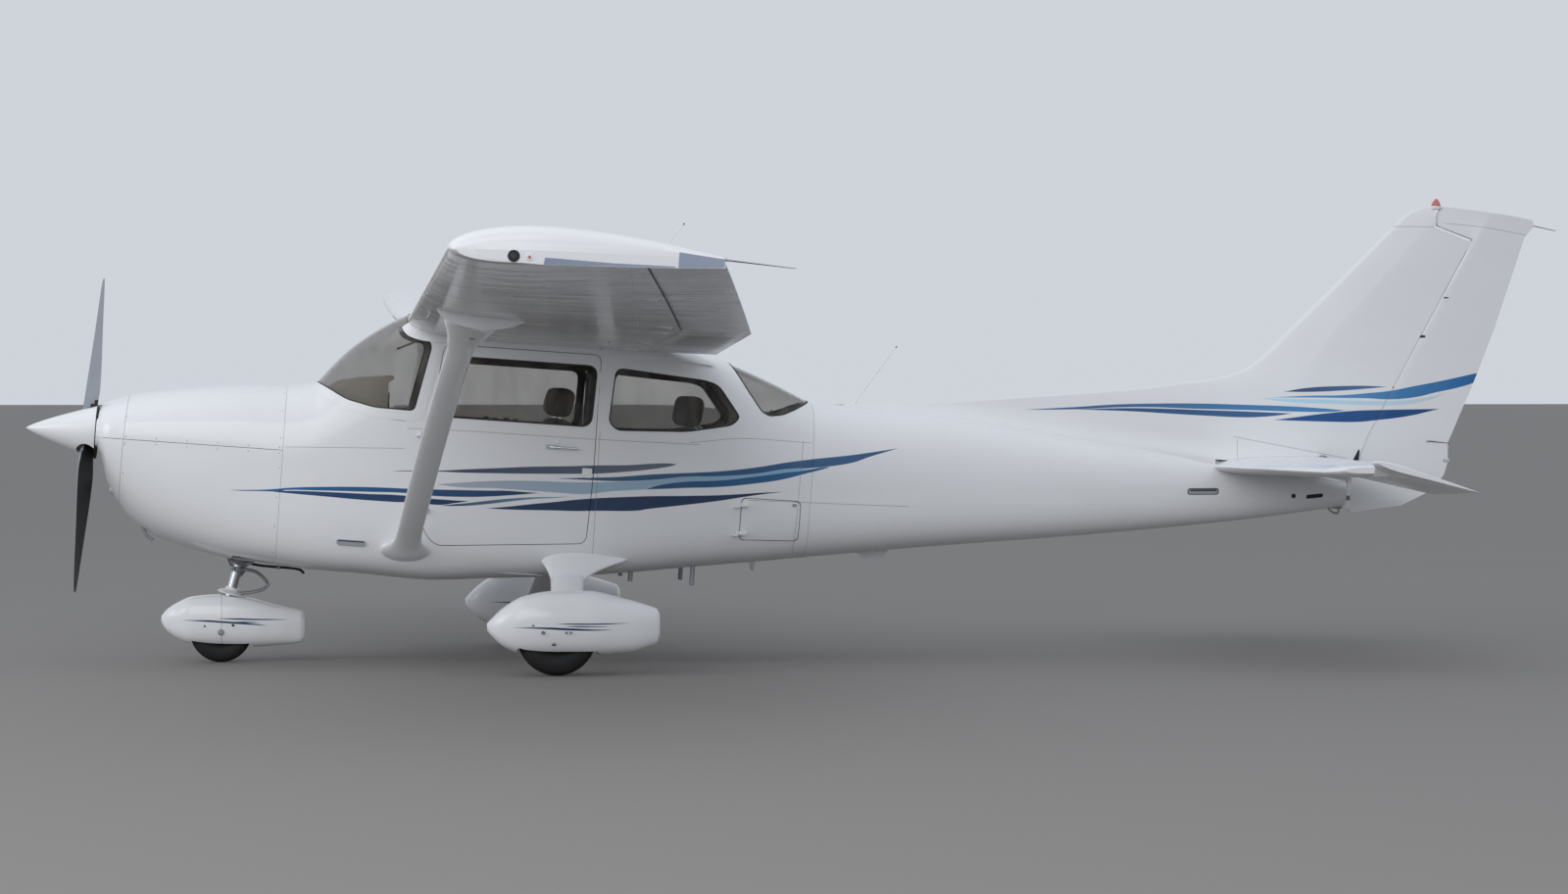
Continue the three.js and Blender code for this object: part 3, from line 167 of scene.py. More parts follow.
# Columns: span y, leading edge x and z, chord, incidence in degrees, share of the section's depth
# above and below: the moulded tip rounds down to a crisp lower edge
WING = [
    [500, 533, 1866, 1640, 2.3, 1, 1],
    [2540, 525, 1944, 1600, 2.3, 1, 1],
    [5300, 530, 2078, 1160, -1.8, 1.24, 1.24],
    [5400, 532, 2084, 1152, -1.8, 1.22, 1.22],
    [5450, 536, 2086, 1146, -1.8, 1.12, 1.2],
    [5484, 545, 2086, 1132, -1.8, 0.8, 1.15],
    [HALF_SPAN, 566, 2084, 1096, -1.8, 0.3, 1.05],
]
# Where the taper and the moulded tip start
TAPER_Y = 2540
TIP_Y = 5300
CAMBER = 0.02
CAMBER_AT = 0.4
WING_THICKNESS = 0.12
EDGE = 2.2
# Columns: inboard y, hinge x there, outboard y, hinge x there
FLAP = [566, 1800, 2528, 1800]
AILERON = [2556, 1808, 5280, 1392]
SURFACE_GAP = 7
SIDE_GAP = 8
# Height and spacing of the ridges pressed into the skins of the moving surfaces
FLAP_RIDGE = 3.6
AILERON_RIDGE = 1.6
ELEVATOR_RIDGE = 2.2
WING_RIDGES_APART = 98
ELEVATOR_RIDGES_APART = 102

# Columns: y, centre x, centre z, chord, thickness
STRUT = [
    [440, 596, 616, 262, 92],
    [545, 600, 664, 250, 84],
    [572, 604, 679, 200, 66],
    [630, 608, 712, 142, 52],
    [760, 616, 790, 130, 48],
    [2250, 745, 1702, 130, 47],
    [2320, 755, 1748, 156, 58],
    [2380, 772, 1786, 202, 78],
    [2450, 784, 1830, 262, 104],
    [2520, 812, 1878, 350, 150],
    [2560, 832, 1908, 460, 200],
]
TAIL_HINGE_X = 5600
TAIL_HINGE_Z = 1440
TAILPLANE_HALF_SPAN = 1727
ELEVATOR_DROOP = 12
HORN_FRONT_X = 5470
HORN_Y = 1600
# Columns: y, leading edge x and z, half thickness at the hinge
TAILPLANE = [[0, 4962, 1382, 40], [1600, 5205, 1400, 28], [1690, 5240, 1406, 23], [1727, 5300, 1416, 13]]
# Columns: y, chord behind the hinge, half thickness at the hinge
ELEVATOR_FULL_Y = 265
ELEVATOR = [[112, 90, 37], [265, 590, 36], [1600, 436, 27], [1690, 430, 24], [1727, 390, 14]]
TAB_INNER = 330
TAB_OUTER = 930
TAB_CHORD = 112
# Columns: z, front edge x with the long fillet, x of the greatest thickness, rear edge x, half thickness
FIN = [
    [1330, 2880, 5150, 5900, 64],
    [1572, 2890, 5270, 5990, 61],
    [1582, 2930, 5275, 5995, 60],
    [1628, 3428, 5300, 6010, 59],
    [1699, 3977, 5340, 6040, 58],
    [1779, 4528, 5385, 6075, 56],
    [1834, 4804, 5410, 6100, 55],
    [1875, 4999, 5435, 6120, 54],
    [1931, 5135, 5465, 6140, 53],
    [2021, 5241, 5520, 6180, 51],
    [2147, 5352, 5600, 6240, 48],
    [2400, 5583, 5800, 6340, 43],
    [2780, 5918, 6090, 6480, 34],
    [2840, 5975, 6130, 6500, 31],
    [2880, 6040, 6170, 6500, 24],
    [2898, 6110, 6200, 6400, 12],
]
FIN_FILLET_TOP = 2147
FIN_CAP = 2780
# Length of the fin's round front edge, and how far its foot spreads over the tail cone. Columns: x,
# top z of the tail cone there; then x, width of the spread.
FIN_NOSE = 24
TAIL_TOP = [[2900, 1575], [3468, 1560], [4288, 1490], [5115, 1425], [TAIL_END_X, 1357]]
FIN_SPREAD = [[2900, 4], [3500, 26], [5200, 44]]
FIN_SPREAD_HEIGHT = 110
RUDDER_HINGE = {"low": (5780, 1450), "high": (6365, 2694)}
# Columns: height along the hinge, chord, half thickness
RUDDER = [[-330, 560, 38], [400, 470, 34], [1700, 260, 24]]
RUDDER_OUTLINE = [
    [5774, 1188], [5810, 1190], [6070, 1243], [6207, 1320], [6300, 1422], [6318, 1500], [6310, 1606],
    [6436, 1960], [6531, 2262], [6664, 2770], [6714, 2836], [6700, 2868], [6560, 2884], [6393, 2893],
    [6180, 2904], [6158, 2860], [6160, 2797], [6372, 2734], [6326, 2700], [5700, 1400], [5774, 1372],
]
FIN_HORN_CUT = [[6160, 3000], [6140, 2860], [6144, 2784], [6340, 2725], [6600, 2690], [6600, 3000]]

SHAFT_Z = 1157
DISC_X = -1096
PROP_LEAN = 31
SPINNER_TIP_X = -1430
SPINNER_BASE_X = -1062
SPINNER_R = 141
# Where the blade's round tip starts
BLADE_TIP_R = 880
# Columns: radius, chord, thickness, blade angle in degrees
BLADE = [
    [60, 66, 60, 60],
    [150, 84, 44, 48],
    [260, 124, 26, 37],
    [450, 144, 18, 25],
    [700, 122, 12, 17],
    [880, 88, 8, 13],
    [945, 60, 6, 11],
    [965, 24, 4, 10],
]

# Landing gear in the ground's frame
MAIN_X = 1713
MAIN_Y = 1276
MAIN_TYRE = {"radius": 203, "width": 156, "rim": 78}
NOSE_TYRE = {"radius": 165, "width": 122, "rim": 64}
AXLE_R = 16
AXLE_OUT = 80
FLANGE_Y = 1150
FLANGE_DEEP = 34
FLANGE_R = 46
BORE_R = 16.5
# Share of a tyre's width that its tread takes, and the depth of the three grooves in it
TREAD_SHARE = 0.62
GROOVE_DEPTH = 4.5
FAIRING_WALL = 7
TYRE_CLEARANCE = 14
# Columns: x from the axle, bottom z, top z, half width
MAIN_FAIRING = [
    [-355, 232, 268, 12],
    [-325, 196, 300, 54],
    [-270, 148, 350, 90],
    [-166, 110, 407, 122],
    [-20, 104, 431, 134],
    [150, 103, 431, 134],
    [359, 114, 388, 104],
    [485, 150, 350, 66],
    [510, 160, 340, 56],
    [520, 170, 330, 48],
    [524, 186, 314, 36],
]
NOSE_FAIRING = [
    [-316, 212, 246, 12],
    [-290, 172, 280, 44],
    [-234, 128, 318, 76],
    [-150, 96, 352, 104],
    [0, 84, 362, 112],
    [140, 80, 345, 106],
    [290, 88, 304, 80],
    [400, 98, 280, 46],
    [430, 106, 272, 36],
    [439, 114, 264, 30],
    [443, 128, 250, 22],
]
# Columns: y, centre x, centre z, chord, thickness
MAIN_LEG = [
    [330, 1815, 575, 200, 70],
    [470, 1815, 512, 190, 66],
    [560, 1813, 478, 180, 62],
    [1120, 1758, 232, 150, 48],
    [1166, 1753, 208, 130, 60],
]
# The same for the flared cuff where the leg leaves the belly, which runs out to a point behind
LEG_CUFF = [
    [400, 1850, 584, 440, 200],
    [490, 1846, 556, 392, 124],
    [525, 1838, 537, 330, 104],
    [560, 1826, 506, 250, 84],
    [600, 1815, 466, 184, 66],
]
OLEO_FOOT = (52, 0, 372)
OLEO_RAKE = 15.4
BARREL_R = 36
PISTON_R = 25

# Frames, from millimetres to the row's metres
TO_METRES = Matrix.Scale(0.001, 4)


def turned(degrees, axis):
    return Matrix.Rotation(math.radians(degrees), 4, axis)


GROUND = TO_METRES @ Matrix.Translation((FRAME_SHIFT, 0, 0))
AIRFRAME = GROUND @ Matrix.Translation((FIREWALL_AHEAD, 0, 0)) @ turned(PARKED_PITCH, "Y")
ELEVATOR_FRAME = AIRFRAME @ Matrix.Translation((TAIL_HINGE_X, 0, TAIL_HINGE_Z)) @ turned(ELEVATOR_DROOP, "Y")
PROPELLER_FRAME = AIRFRAME @ Matrix.Translation((DISC_X, 0, SHAFT_Z)) @ turned(-PROP_LEAN, "X")
OLEO_FRAME = GROUND @ Matrix.Translation(OLEO_FOOT) @ turned(OLEO_RAKE, "Y")
RUDDER_SLOPE = math.atan2(
    RUDDER_HINGE["high"][0] - RUDDER_HINGE["low"][0],
    RUDDER_HINGE["high"][1] - RUDDER_HINGE["low"][1],
)
RUDDER_FRAME = (
    AIRFRAME
    @ Matrix.Translation((RUDDER_HINGE["low"][0], 0, RUDDER_HINGE["low"][1]))
    @ Matrix.Rotation(RUDDER_SLOPE, 4, "Y")
)


# Curves through short tables
def smooth(xs, ys, at):
    """Values on a curve through the points that doesn't overshoot them."""
    step = np.diff(xs)
    slope = np.diff(ys) / step
    if len(xs) == 2:
        return ys[0] + slope[0] * (at - xs[0])
    tangent = np.zeros(len(xs))
    same = slope[:-1] * slope[1:] > 0
    ahead = 2 * step[1:] + step[:-1]
    behind = step[1:] + 2 * step[:-1]
    safe_low = np.where(same, slope[:-1], 1)
    safe_high = np.where(same, slope[1:], 1)
    tangent[1:-1] = np.where(same, (ahead + behind) / (ahead / safe_low + behind / safe_high), 0)
    for end, near, far, first, second in ((0, 0, 1, slope[0], slope[1]), (-1, -1, -2, slope[-1], slope[-2])):
        value = ((2 * step[near] + step[far]) * first - step[near] * second) / (step[near] + step[far])
        if value * first <= 0:
            value = 0
        elif first * second <= 0 and abs(value) > 3 * abs(first):
            value = 3 * first
        tangent[end] = value
    i = np.clip(np.searchsorted(xs, at, side="right") - 1, 0, len(step) - 1)
    t = (at - xs[i]) / step[i]
    return (
        (1 + 2 * t) * (1 - t) ** 2 * ys[i]
        + t * (1 - t) ** 2 * step[i] * tangent[i]
        + t * t * (3 - 2 * t) * ys[i + 1]
        + t * t * (t - 1) * step[i] * tangent[i + 1]
    )


def rows_at(table, at, creases=()):
    """The table's rows at other places: smooth, but for a crease at the places given."""
    table = np.array(table, float)
    at = np.asarray(at, float)
    made = np.empty((len(at), table.shape[1]))
    cuts = [table[0, 0], *creases, table[-1, 0]]
    for low, high in zip(cuts, cuts[1:]):
        part = table[(table[:, 0] >= low) & (table[:, 0] <= high)]
        here = (at >= low - 1e-6) & (at <= high + 1e-6)
        for k in range(table.shape[1]):
            made[here, k] = smooth(part[:, 0], part[:, k], at[here])
    return made


def steps(low, high, spacing, *fixed):
    """Even places from low to high, with the fixed ones among them."""
    even = np.linspace(low, high, max(2, int(round((high - low) / spacing)) + 1))
    inside = [value for value in fixed if low < value < high]
    even = even[[all(abs(value - place) > spacing * 0.3 for place in inside) for value in even]]
    return np.unique(np.concatenate([even, inside, [low, high]]))


def superellipse(half_width, bottom, top, belt, up, low, count):
    """Points of y and z at even distances, the upper and the lower half apart."""
    ring = []
    for start, height, power in ((0, top - belt, up), (math.pi, belt - bottom, low)):
        angle = start + np.linspace(0, math.pi, 721)
        c, s = np.cos(angle), np.sin(angle)
        y = half_width * np.sign(c) * np.abs(c) ** (2 / power)
        z = belt + height * np.sign(s) * np.abs(s) ** (2 / power)
        length = np.concatenate([[0], np.cumsum(np.hypot(np.diff(y), np.diff(z)))])
        want = np.linspace(0, length[-1], count // 2, endpoint=False)
        ring.append(np.stack([np.interp(want, length, y), np.interp(want, length, z)], 1))
    return np.concatenate(ring)


# Meshes
def linked(name, data):
    """A new object of the scene with this data."""
    made = bpy.data.objects.new(name, data)
    bpy.context.scene.collection.objects.link(made)
    return made


def piece(name, points, faces, matrix, material=None):
    """A mesh object at the origin with its faces outwards, its place in its mesh."""
    mesh = bpy.data.meshes.new(name)
    placed = np.c_[np.asarray(points, float), np.ones(len(points))] @ np.array(matrix).T
    mesh.from_pydata(placed[:, :3].tolist(), [], faces)
    outwards(mesh)
    if material is not None:
        mesh.materials.append(material)
    return linked(name, mesh)


def outwards(mesh):
    """Merges equal points and turns every face out."""
    work = bmesh.new()
    work.from_mesh(mesh)
    bmesh.ops.remove_doubles(work, verts=work.verts, dist=1e-6)
    bmesh.ops.recalc_face_normals(work, faces=work.faces)
    work.to_mesh(mesh)
    work.free()
    mesh.update()


def seam_dark(obj):
    """Gives a cutting solid the dark seal rubber, which the cut's faces take over as painted shade in the gap
    or reveal.
    """
    obj.data.materials.clear()
    obj.data.materials.append(seal_rubber_and_gap_shade)
    return obj


def loft(name, rings, matrix, material=None):
    """A skin through rings of the same number of points, closed at both ends."""
    rings = np.asarray(rings, float)
    count, around = rings.shape[:2]
    here = np.arange(around)
    after = (here + 1) % around
    faces = []
    for r in range(count - 1):
        low, high = r * around, (r + 1) * around
        faces += np.stack([low + here, low + after, high + after, high + here], 1).tolist()
    faces.append(list(range(around - 1, -1, -1)))
    faces.append(list(range((count - 1) * around, count * around)))
    return piece(name, rings.reshape(-1, 3), faces, matrix, material)


def box(name, low, high, matrix, material=None, bevel=0):
    corners = [(x, y, z) for x in (low[0], high[0]) for y in (low[1], high[1]) for z in (low[2], high[2])]
    faces = [(0, 1, 3, 2), (4, 6, 7, 5), (0, 4, 5, 1), (2, 3, 7, 6), (0, 2, 6, 4), (1, 5, 7, 3)]
    made = piece(name, corners, faces, matrix, material)
    if bevel:
        soften(made, bevel)
    return made


SHARP_EDGE = 40


def soften(obj, width, segments=3):
    """Rounds the sharp edges by a width in millimetres."""
    modifier = obj.modifiers.new("round", "BEVEL")
    modifier.width = width * 0.001
    modifier.segments = segments
    modifier.limit_method = "ANGLE"
    modifier.angle_limit = math.radians(SHARP_EDGE)
    settle(obj)


def settle(obj):
    """Turns the object's modifiers into its mesh."""
    bpy.context.view_layer.update()
    graph = bpy.context.evaluated_depsgraph_get()
    mesh = bpy.data.meshes.new_from_object(obj.evaluated_get(graph))
    obj.modifiers.clear()
    old = obj.data
    obj.data = mesh
    bpy.data.meshes.remove(old)
    return obj


def combine(obj, operation, *others, keep=False):
    """Joins, cuts or crosses closed solids: operation is UNION, DIFFERENCE or INTERSECT."""
    for other in others:
        modifier = obj.modifiers.new("solid", "BOOLEAN")
        modifier.operation = operation
        modifier.solver = "MANIFOLD"
        modifier.material_mode = "TRANSFER"
        modifier.object = other
    settle(obj)
    if not keep:
        for other in others:
            drop(other)
    return obj


def drop(obj):
    mesh = obj.data
    bpy.data.objects.remove(obj)
    bpy.data.meshes.remove(mesh)


def copy_of(obj, name):
    return linked(name, obj.data.copy())


def joined(name, objects):
    """One object from several, which keep their own closed shapes and materials."""
    work = bmesh.new()
    materials = []
    for obj in objects:
        slots = [material for material in obj.data.materials] or [None]
        for material in slots:
            if material not in materials:
                materials.append(material)
        index = [materials.index(material) for material in slots]
        before = len(work.faces)
        work.from_mesh(obj.data)
        work.faces.ensure_lookup_table()
        for face in work.faces[before:]:
            face.material_index = index[min(face.material_index, len(index) - 1)]
    mesh = bpy.data.meshes.new(name)
    work.to_mesh(mesh)
    work.free()
    for material in materials:
        mesh.materials.append(material)
    for obj in objects:
        drop(obj)
    return linked(name, mesh)


def dress(obj, body, replaces=(), angle=32):
    """Smooth shading with sharp edges above an angle, then the piece's body, and the parts it replaces are
    hidden.
    """
    obj.data.shade_smooth()
    obj.data.set_sharp_from_angle(angle=math.radians(angle))
    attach(obj, body)
    if replaces:
        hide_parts(*replaces)
    return obj


def fitted(name, parts, body="airframe", replaces=()):
    """One dressed piece of several parts. Most are fittings of the airframe."""
    return dress(joined(name, parts), body, replaces)


def rounded(outline, rounding):
    """The outline's points with every corner rounded."""
    corners = [Vector(point) for point in outline]
    made = []
    for i, corner in enumerate(corners):
        before = corners[i - 1]
        after = corners[(i + 1) % len(corners)]
        cut = min(rounding, (before - corner).length / 2.2, (after - corner).length / 2.2)
        start = corner + (before - corner).normalized() * cut
        end = corner + (after - corner).normalized() * cut
        for t in np.linspace(0, 1, 7):
            made.append(start * (1 - t) ** 2 + corner * 2 * t * (1 - t) + end * t**2)
    return [tuple(point) for point in made]


def drawn_in(outline, distance):
    """The outline moved inwards by a distance on every side."""
    points = np.array(outline, float)
    after = np.roll(points, -1, 0)
    turn = np.sign(np.sum(points[:, 0] * after[:, 1] - points[:, 1] * after[:, 0]))
    edge = after - points
    edge /= np.linalg.norm(edge, axis=1)[:, None]
    normal = np.stack([-edge[:, 1], edge[:, 0]], 1) * turn
    middle = normal + np.roll(normal, 1, 0)
    half = np.linalg.norm(middle, axis=1) / 2
    middle /= np.linalg.norm(middle, axis=1)[:, None]
    return points + middle * (distance / np.maximum(half, 0.3))[:, None]


def across(name, outline, y0, y1, rounding=0, material=None):
    """The outline of x and z in the airframe's frame, run from y0 to y1."""
    points = rounded(outline, rounding) if rounding else [tuple(point) for point in outline]
    rings = [[(x, y, z) for x, z in points] for y in (y0, y1)]
    return loft(name, rings, AIRFRAME, material)


def lathe(name, profile, matrix, material=None, sides=64, closed=True):
    """A ring of radius and place along the axis, turned about the matrix's own X axis."""
    angle = np.linspace(0, 2 * math.pi, sides, endpoint=False)
    profile = np.asarray(profile, float)
    rings = [[(x, r * math.cos(a), r * math.sin(a)) for r, x in profile] for a in angle]
    points = np.array(rings).reshape(-1, 3)
    n = len(profile)
    faces = []
    for a in range(sides):
        b = (a + 1) % sides
        for k in range(n if closed else n - 1):
            m = (k + 1) % n
            faces.append((a * n + k, a * n + m, b * n + m, b * n + k))
    return piece(name, points, faces, matrix, material)


def spun(name, profile, matrix, material=None, sides=48):
    """A solid of revolution whose profile starts and ends on the axis, about the matrix's X."""
    obj = lathe(name, profile, matrix, material, sides, closed=False)
    work = bmesh.new()
    work.from_mesh(obj.data)
    bmesh.ops.remove_doubles(work, verts=work.verts, dist=2e-6)
    bmesh.ops.dissolve_degenerate(work, edges=work.edges, dist=1e-7)
    work.to_mesh(obj.data)
    work.free()
    outwards(obj.data)
    return obj


def rod(name, start, end, radius, matrix, material=None, sides=20, end_radius=None):
    """A round bar between two points, its ends slightly rounded."""
    start, end = Vector(start), Vector(end)
    length = (end - start).length
    turn = (end - start).to_track_quat("X", "Z").to_matrix().to_4x4()
    last = radius if end_radius is None else end_radius
    soft = min(radius, last, length / 2) * 0.12
    profile = [
        (0, 0), (radius - soft, 0), (radius, soft), (last, length - soft), (last - soft, length), (0, length),
    ]
    return spun(name, profile, matrix @ Matrix.Translation(start) @ turn, material, sides)


def tube(name, path, radius, matrix, material=None, sides=12, resolution=6):
    """A bent round tube through points, with smooth bends."""
    path = np.array([Vector(point) for point in path], float)
    count = len(path)
    want = np.linspace(0, count - 1, (count - 1) * resolution + 1)
    points = np.stack([smooth(np.arange(count, dtype=float), path[:, k], want) for k in range(3)], 1)
    tangent = np.gradient(points, axis=0)
    tangent /= np.linalg.norm(tangent, axis=1)[:, None]
    side = np.cross(tangent[0], [0, 0, 1] if abs(tangent[0][2]) < 0.9 else [1, 0, 0])
    side /= np.linalg.norm(side)
    rings = []
    angle = np.linspace(0, 2 * math.pi, sides, endpoint=False)
    for point, direction in zip(points, tangent):
        side = side - direction * np.dot(side, direction)
        side /= np.linalg.norm(side)
        up = np.cross(direction, side)
        rings.append(point + radius * (np.outer(np.cos(angle), side) + np.outer(np.sin(angle), up)))
    return loft(name, rings, matrix, material)


def mirrored(rings, side):
    """Rings of the right side, or the same on the left."""
    return np.asarray(rings, float) * np.array([1, side, 1])


# Materials
def linear(code):
    """A linear colour from an sRGB hex value."""
    values = [int(code[i : i + 2], 16) / 255 for i in (0, 2, 4)]
    return (*[v / 12.92 if v <= 0.04045 else ((v + 0.055) / 1.055) ** 2.4 for v in values], 1)


def add(tree, kind, links=None, **settings):
    """A node with its settings; links gives inputs a value or another node's output."""
    node = tree.nodes.new(kind if "Node" in kind else "ShaderNode" + kind)
    for name, value in settings.items():
        setattr(node, name, value)
    for socket, source in (links or {}).items():
        if isinstance(source, bpy.types.NodeSocket):
            tree.links.new(source, node.inputs[socket])
        else:
            node.inputs[socket].default_value = source
    return node


def calc(tree, operation, *values):
    return add(tree, "Math", dict(enumerate(values)), operation=operation).outputs[0]


def ranged(tree, value, low=0.0, high=1.0, to_low=0.0, to_high=1.0):
    """The value carried from one range to another, and held at its ends."""
    return add(tree, "MapRange", {0: value, 1: low, 2: high, 3: to_low, 4: to_high}).outputs[0]


def mixed(tree, share, first, second):
    return add(tree, "Mix", {0: share, 6: first, 7: second}, data_type="RGBA").outputs[2]


def stretched(tree, place, scale):
    return add(tree, "Mapping", {"Vector": place, "Scale": scale}).outputs[0]


def cloudy(tree, place, scale, detail, roughness=0.5):
    """Soft noise."""
    links = {"Vector": place, "Scale": scale, "Detail": detail, "Roughness": roughness}
    return add(tree, "TexNoise", links).outputs[0]


def new_material(name, **settings):
    """A material and its shader, whose sockets take the settings."""
    material = bpy.data.materials.new(name)
    material.use_nodes = True
    tree = material.node_tree
    shader = tree.nodes["Principled BSDF"]
    for socket, value in settings.items():
        shader.inputs[socket.replace("_", " ")].default_value = value
    return material, tree, shader


def plain(name, code, roughness, metallic=0.0, grain=40.0, bump=0.02, varied=0.06):
    """A moulded, painted or turned finish: the colour and the sheen vary a little, over a fine grain."""
    material, tree, shader = new_material(name, Metallic=metallic)
    place = add(tree, "TexCoord").outputs["Object"]
    cloud = cloudy(tree, place, grain * 0.2, 4.0)
    fine = cloudy(tree, place, grain * 10, 2.0)
    base = linear(code)
    dark = tuple(c * (1 - 2 * varied) for c in base[:3]) + (1,)
    tree.links.new(mixed(tree, cloud, dark, base), shader.inputs["Base Color"])
    rough = ranged(tree, cloud, 0.0, 1.0, roughness * 0.85, min(1, roughness * 1.2))
    tree.links.new(rough, shader.inputs["Roughness"])
    relief = add(tree, "Bump", {"Height": fine, "Strength": bump, "Distance": 0.002})
    tree.links.new(relief.outputs[0], shader.inputs["Normal"])
    return material


WHITE = "EBECEE"
NAVY = "13345A"
DIRT_FILM = "B9B7B0"
LAP_LINE = "6F7276"
# Dark grey of the painted shade streaks under the wing
STREAK_SHADE = "57524C"
# Stripes on both sides of the fuselage. Rows: colours at the front and the rear end, then x, lowest z
# and highest z along it. Later stripes lie over earlier ones. The change of colour along a stripe is
# painted highlight and shade.
STRIPES = [
    ("ADB5C2", "85B7D0", [
        (735, 1012, 1012), (885, 1006, 1034), (1065, 1013, 1054), (1250, 1012, 1066), (1460, 1011, 1073),
        (1680, 1040, 1090), (1865, 1064, 1110), (2050, 1112, 1142), (2235, 1132, 1157), (2425, 1162, 1182),
        (2615, 1200, 1221), (2745, 1231, 1231),
    ]),
    ("315A80", "2A5B89", [
        (1345, 1085, 1085), (1505, 1088, 1100), (1675, 1092, 1115), (1865, 1110, 1141), (2050, 1140, 1161),
        (2235, 1155, 1182), (2425, 1180, 1214), (2615, 1219, 1256), (2745, 1232, 1280), (2930, 1266, 1311),
        (3060, 1315, 1337), (3215, 1370, 1370),
    ]),
    ("214D7B", "2C679A", [
        (1840, 1059, 1059), (1925, 1067, 1090), (2050, 1080, 1114), (2240, 1098, 1134), (2425, 1127, 1165),
        (2555, 1153, 1190), (2720, 1203, 1222), (2800, 1228, 1240), (2840, 1244, 1244),
    ]),
    ("2569A1", "11355E", [
        (-350, 909, 909), (-305, 909, 913), (-185, 914, 922), (-75, 919, 936), (-40, 930, 942),
        (155, 940, 961), (400, 950, 976), (580, 956, 981), (725, 951, 986), (885, 956, 993), (1010, 966, 999),
        (1130, 981, 1005), (1290, 1004, 1004),
    ]),
    ("1D4878", NAVY, [
        (-110, 916, 916), (-40, 914, 927), (155, 910, 935), (400, 905, 940), (525, 905, 944),
        (595, 908, 944), (730, 905, 936), (840, 920, 936), (925, 938, 938),
    ]),
    ("193A61", "76A0BB", [
        (760, 899, 899), (840, 905, 916), (900, 910, 925), (1010, 926, 945), (1130, 948, 965),
        (1255, 970, 980), (1375, 984, 990), (1460, 998, 998),
    ]),
    (NAVY, "20385A", [
        (1000, 904, 904), (1110, 905, 920), (1255, 911, 945), (1380, 917, 965), (1465, 920, 980),
        (1585, 929, 997), (1810, 945, 1021), (1850, 954, 1025), (2055, 990, 1040), (2245, 1025, 1056),
        (2385, 1055, 1072), (2500, 1078, 1086), (2605, 1095, 1095),
    ]),
    (NAVY, "66707F", [
        (490, 1064, 1064), (540, 1067, 1071), (755, 1080, 1087), (875, 1083, 1101), (1060, 1092, 1121),
        (1245, 1102, 1141), (1430, 1114, 1156), (1575, 1125, 1170), (1735, 1146, 1182), (1885, 1171, 1200),
        (1970, 1191, 1206), (2003, 1203, 1203),
    ]),
    ("285383", "458CC3", [
        (3890, 1620, 1620), (4190, 1643, 1656), (4450, 1672, 1690), (4625, 1685, 1706), (4890, 1694, 1725),
        (5155, 1706, 1736), (5420, 1716, 1745), (5600, 1726, 1746), (5720, 1743, 1743),
    ]),
    ("1D477C", "366596", [
        (4190, 1643, 1643), (4520, 1655, 1674), (4715, 1657, 1684), (4895, 1659, 1690), (5140, 1665, 1699),
        (5245, 1675, 1702), (5420, 1707, 1707),
    ]),
    ("1B5596", "194C81", [
        (5300, 1662, 1662), (5425, 1666, 1686), (5600, 1673, 1720), (5775, 1683, 1747), (5885, 1700, 1758),
        (6045, 1730, 1772), (6255, 1790, 1790),
    ]),
    ("63A4D6", "1D65A1", [
        (5255, 1782, 1782), (5505, 1799, 1811), (5680, 1809, 1826), (5820, 1817, 1846), (5950, 1820, 1868),
        (6090, 1840, 1904), (6215, 1876, 1936), (6355, 1916, 1975), (6440, 1950, 2000), (6520, 2020, 2020),
    ]),
    # a painted highlight: pale blue over the blue stripes of the fin and rudder
    ("ACE1FB", "D5DDE5", [
        (5205, 1777, 1777), (5415, 1766, 1786), (5685, 1775, 1798), (5860, 1780, 1806), (6040, 1796, 1822),
        (6165, 1826, 1846), (6300, 1887, 1887),
    ]),
    ("294772", "547BA1", [
        (5345, 1820, 1820), (5500, 1830, 1855), (5680, 1850, 1876), (5820, 1870, 1887), (5945, 1890, 1890),
    ]),
]
# The same on the wheel fairings, from the axle
MAIN_FAIRING_STRIPES = [
    (NAVY, NAVY, [(-255, 253, 253), (-80, 244, 254), (70, 236, 248), (180, 234, 242), (300, 238, 238)]),
    (NAVY, NAVY, [(-35, 270, 270), (80, 265, 273), (200, 264, 272), (300, 267, 272), (395, 272, 272)]),
    ("3A4A6E", "6A7488", [(10, 257, 257), (100, 252, 260), (200, 251, 257), (280, 255, 255)]),
]
NOSE_FAIRING_STRIPES = [
    (NAVY, NAVY, [(-232, 230, 230), (-100, 222, 231), (20, 213, 224), (140, 204, 214), (275, 195, 195)]),
    (NAVY, NAVY, [(-40, 238, 238), (60, 232, 240), (180, 227, 236), (290, 226, 232), (385, 226, 226)]),
    ("3A4A6E", "6A7488", [(0, 217, 217), (120, 214, 222), (240, 212, 212)]),
]
# Riveted laps and joints that show as fine lines. Rows of x and z; each runs along x or along z.
LAPS_ALONG_X = [
    [(30, 1538), (77, 1504), (152, 1436), (268, 1383), (445, 1344), (558, 1331)],
    [(-60, 1155), (560, 1190)],
    [(570, 1296), (850, 1303), (1560, 1305)],
    [(1570, 1306), (2116, 1315)],
    [(2060, 1322), (2440, 1366), (2730, 1364)],
    [(2396, 1038), (2740, 1045), (3283, 1059)],
    [(5092, 1556), (5736, 1480)],
    [(5897, 2773), (6152, 2787)],
    [(6196, 2812), (6420, 2806), (6682, 2780)],
]
LAPS_ALONG_Z = [
    [(700, -912), (1100, -903), (1390, -893)],
    [(700, 1586), (1350, 1580)],
    [(780, 2668), (1371, 2680)],
    [(1368, 5116), (1545, 5114)],
]


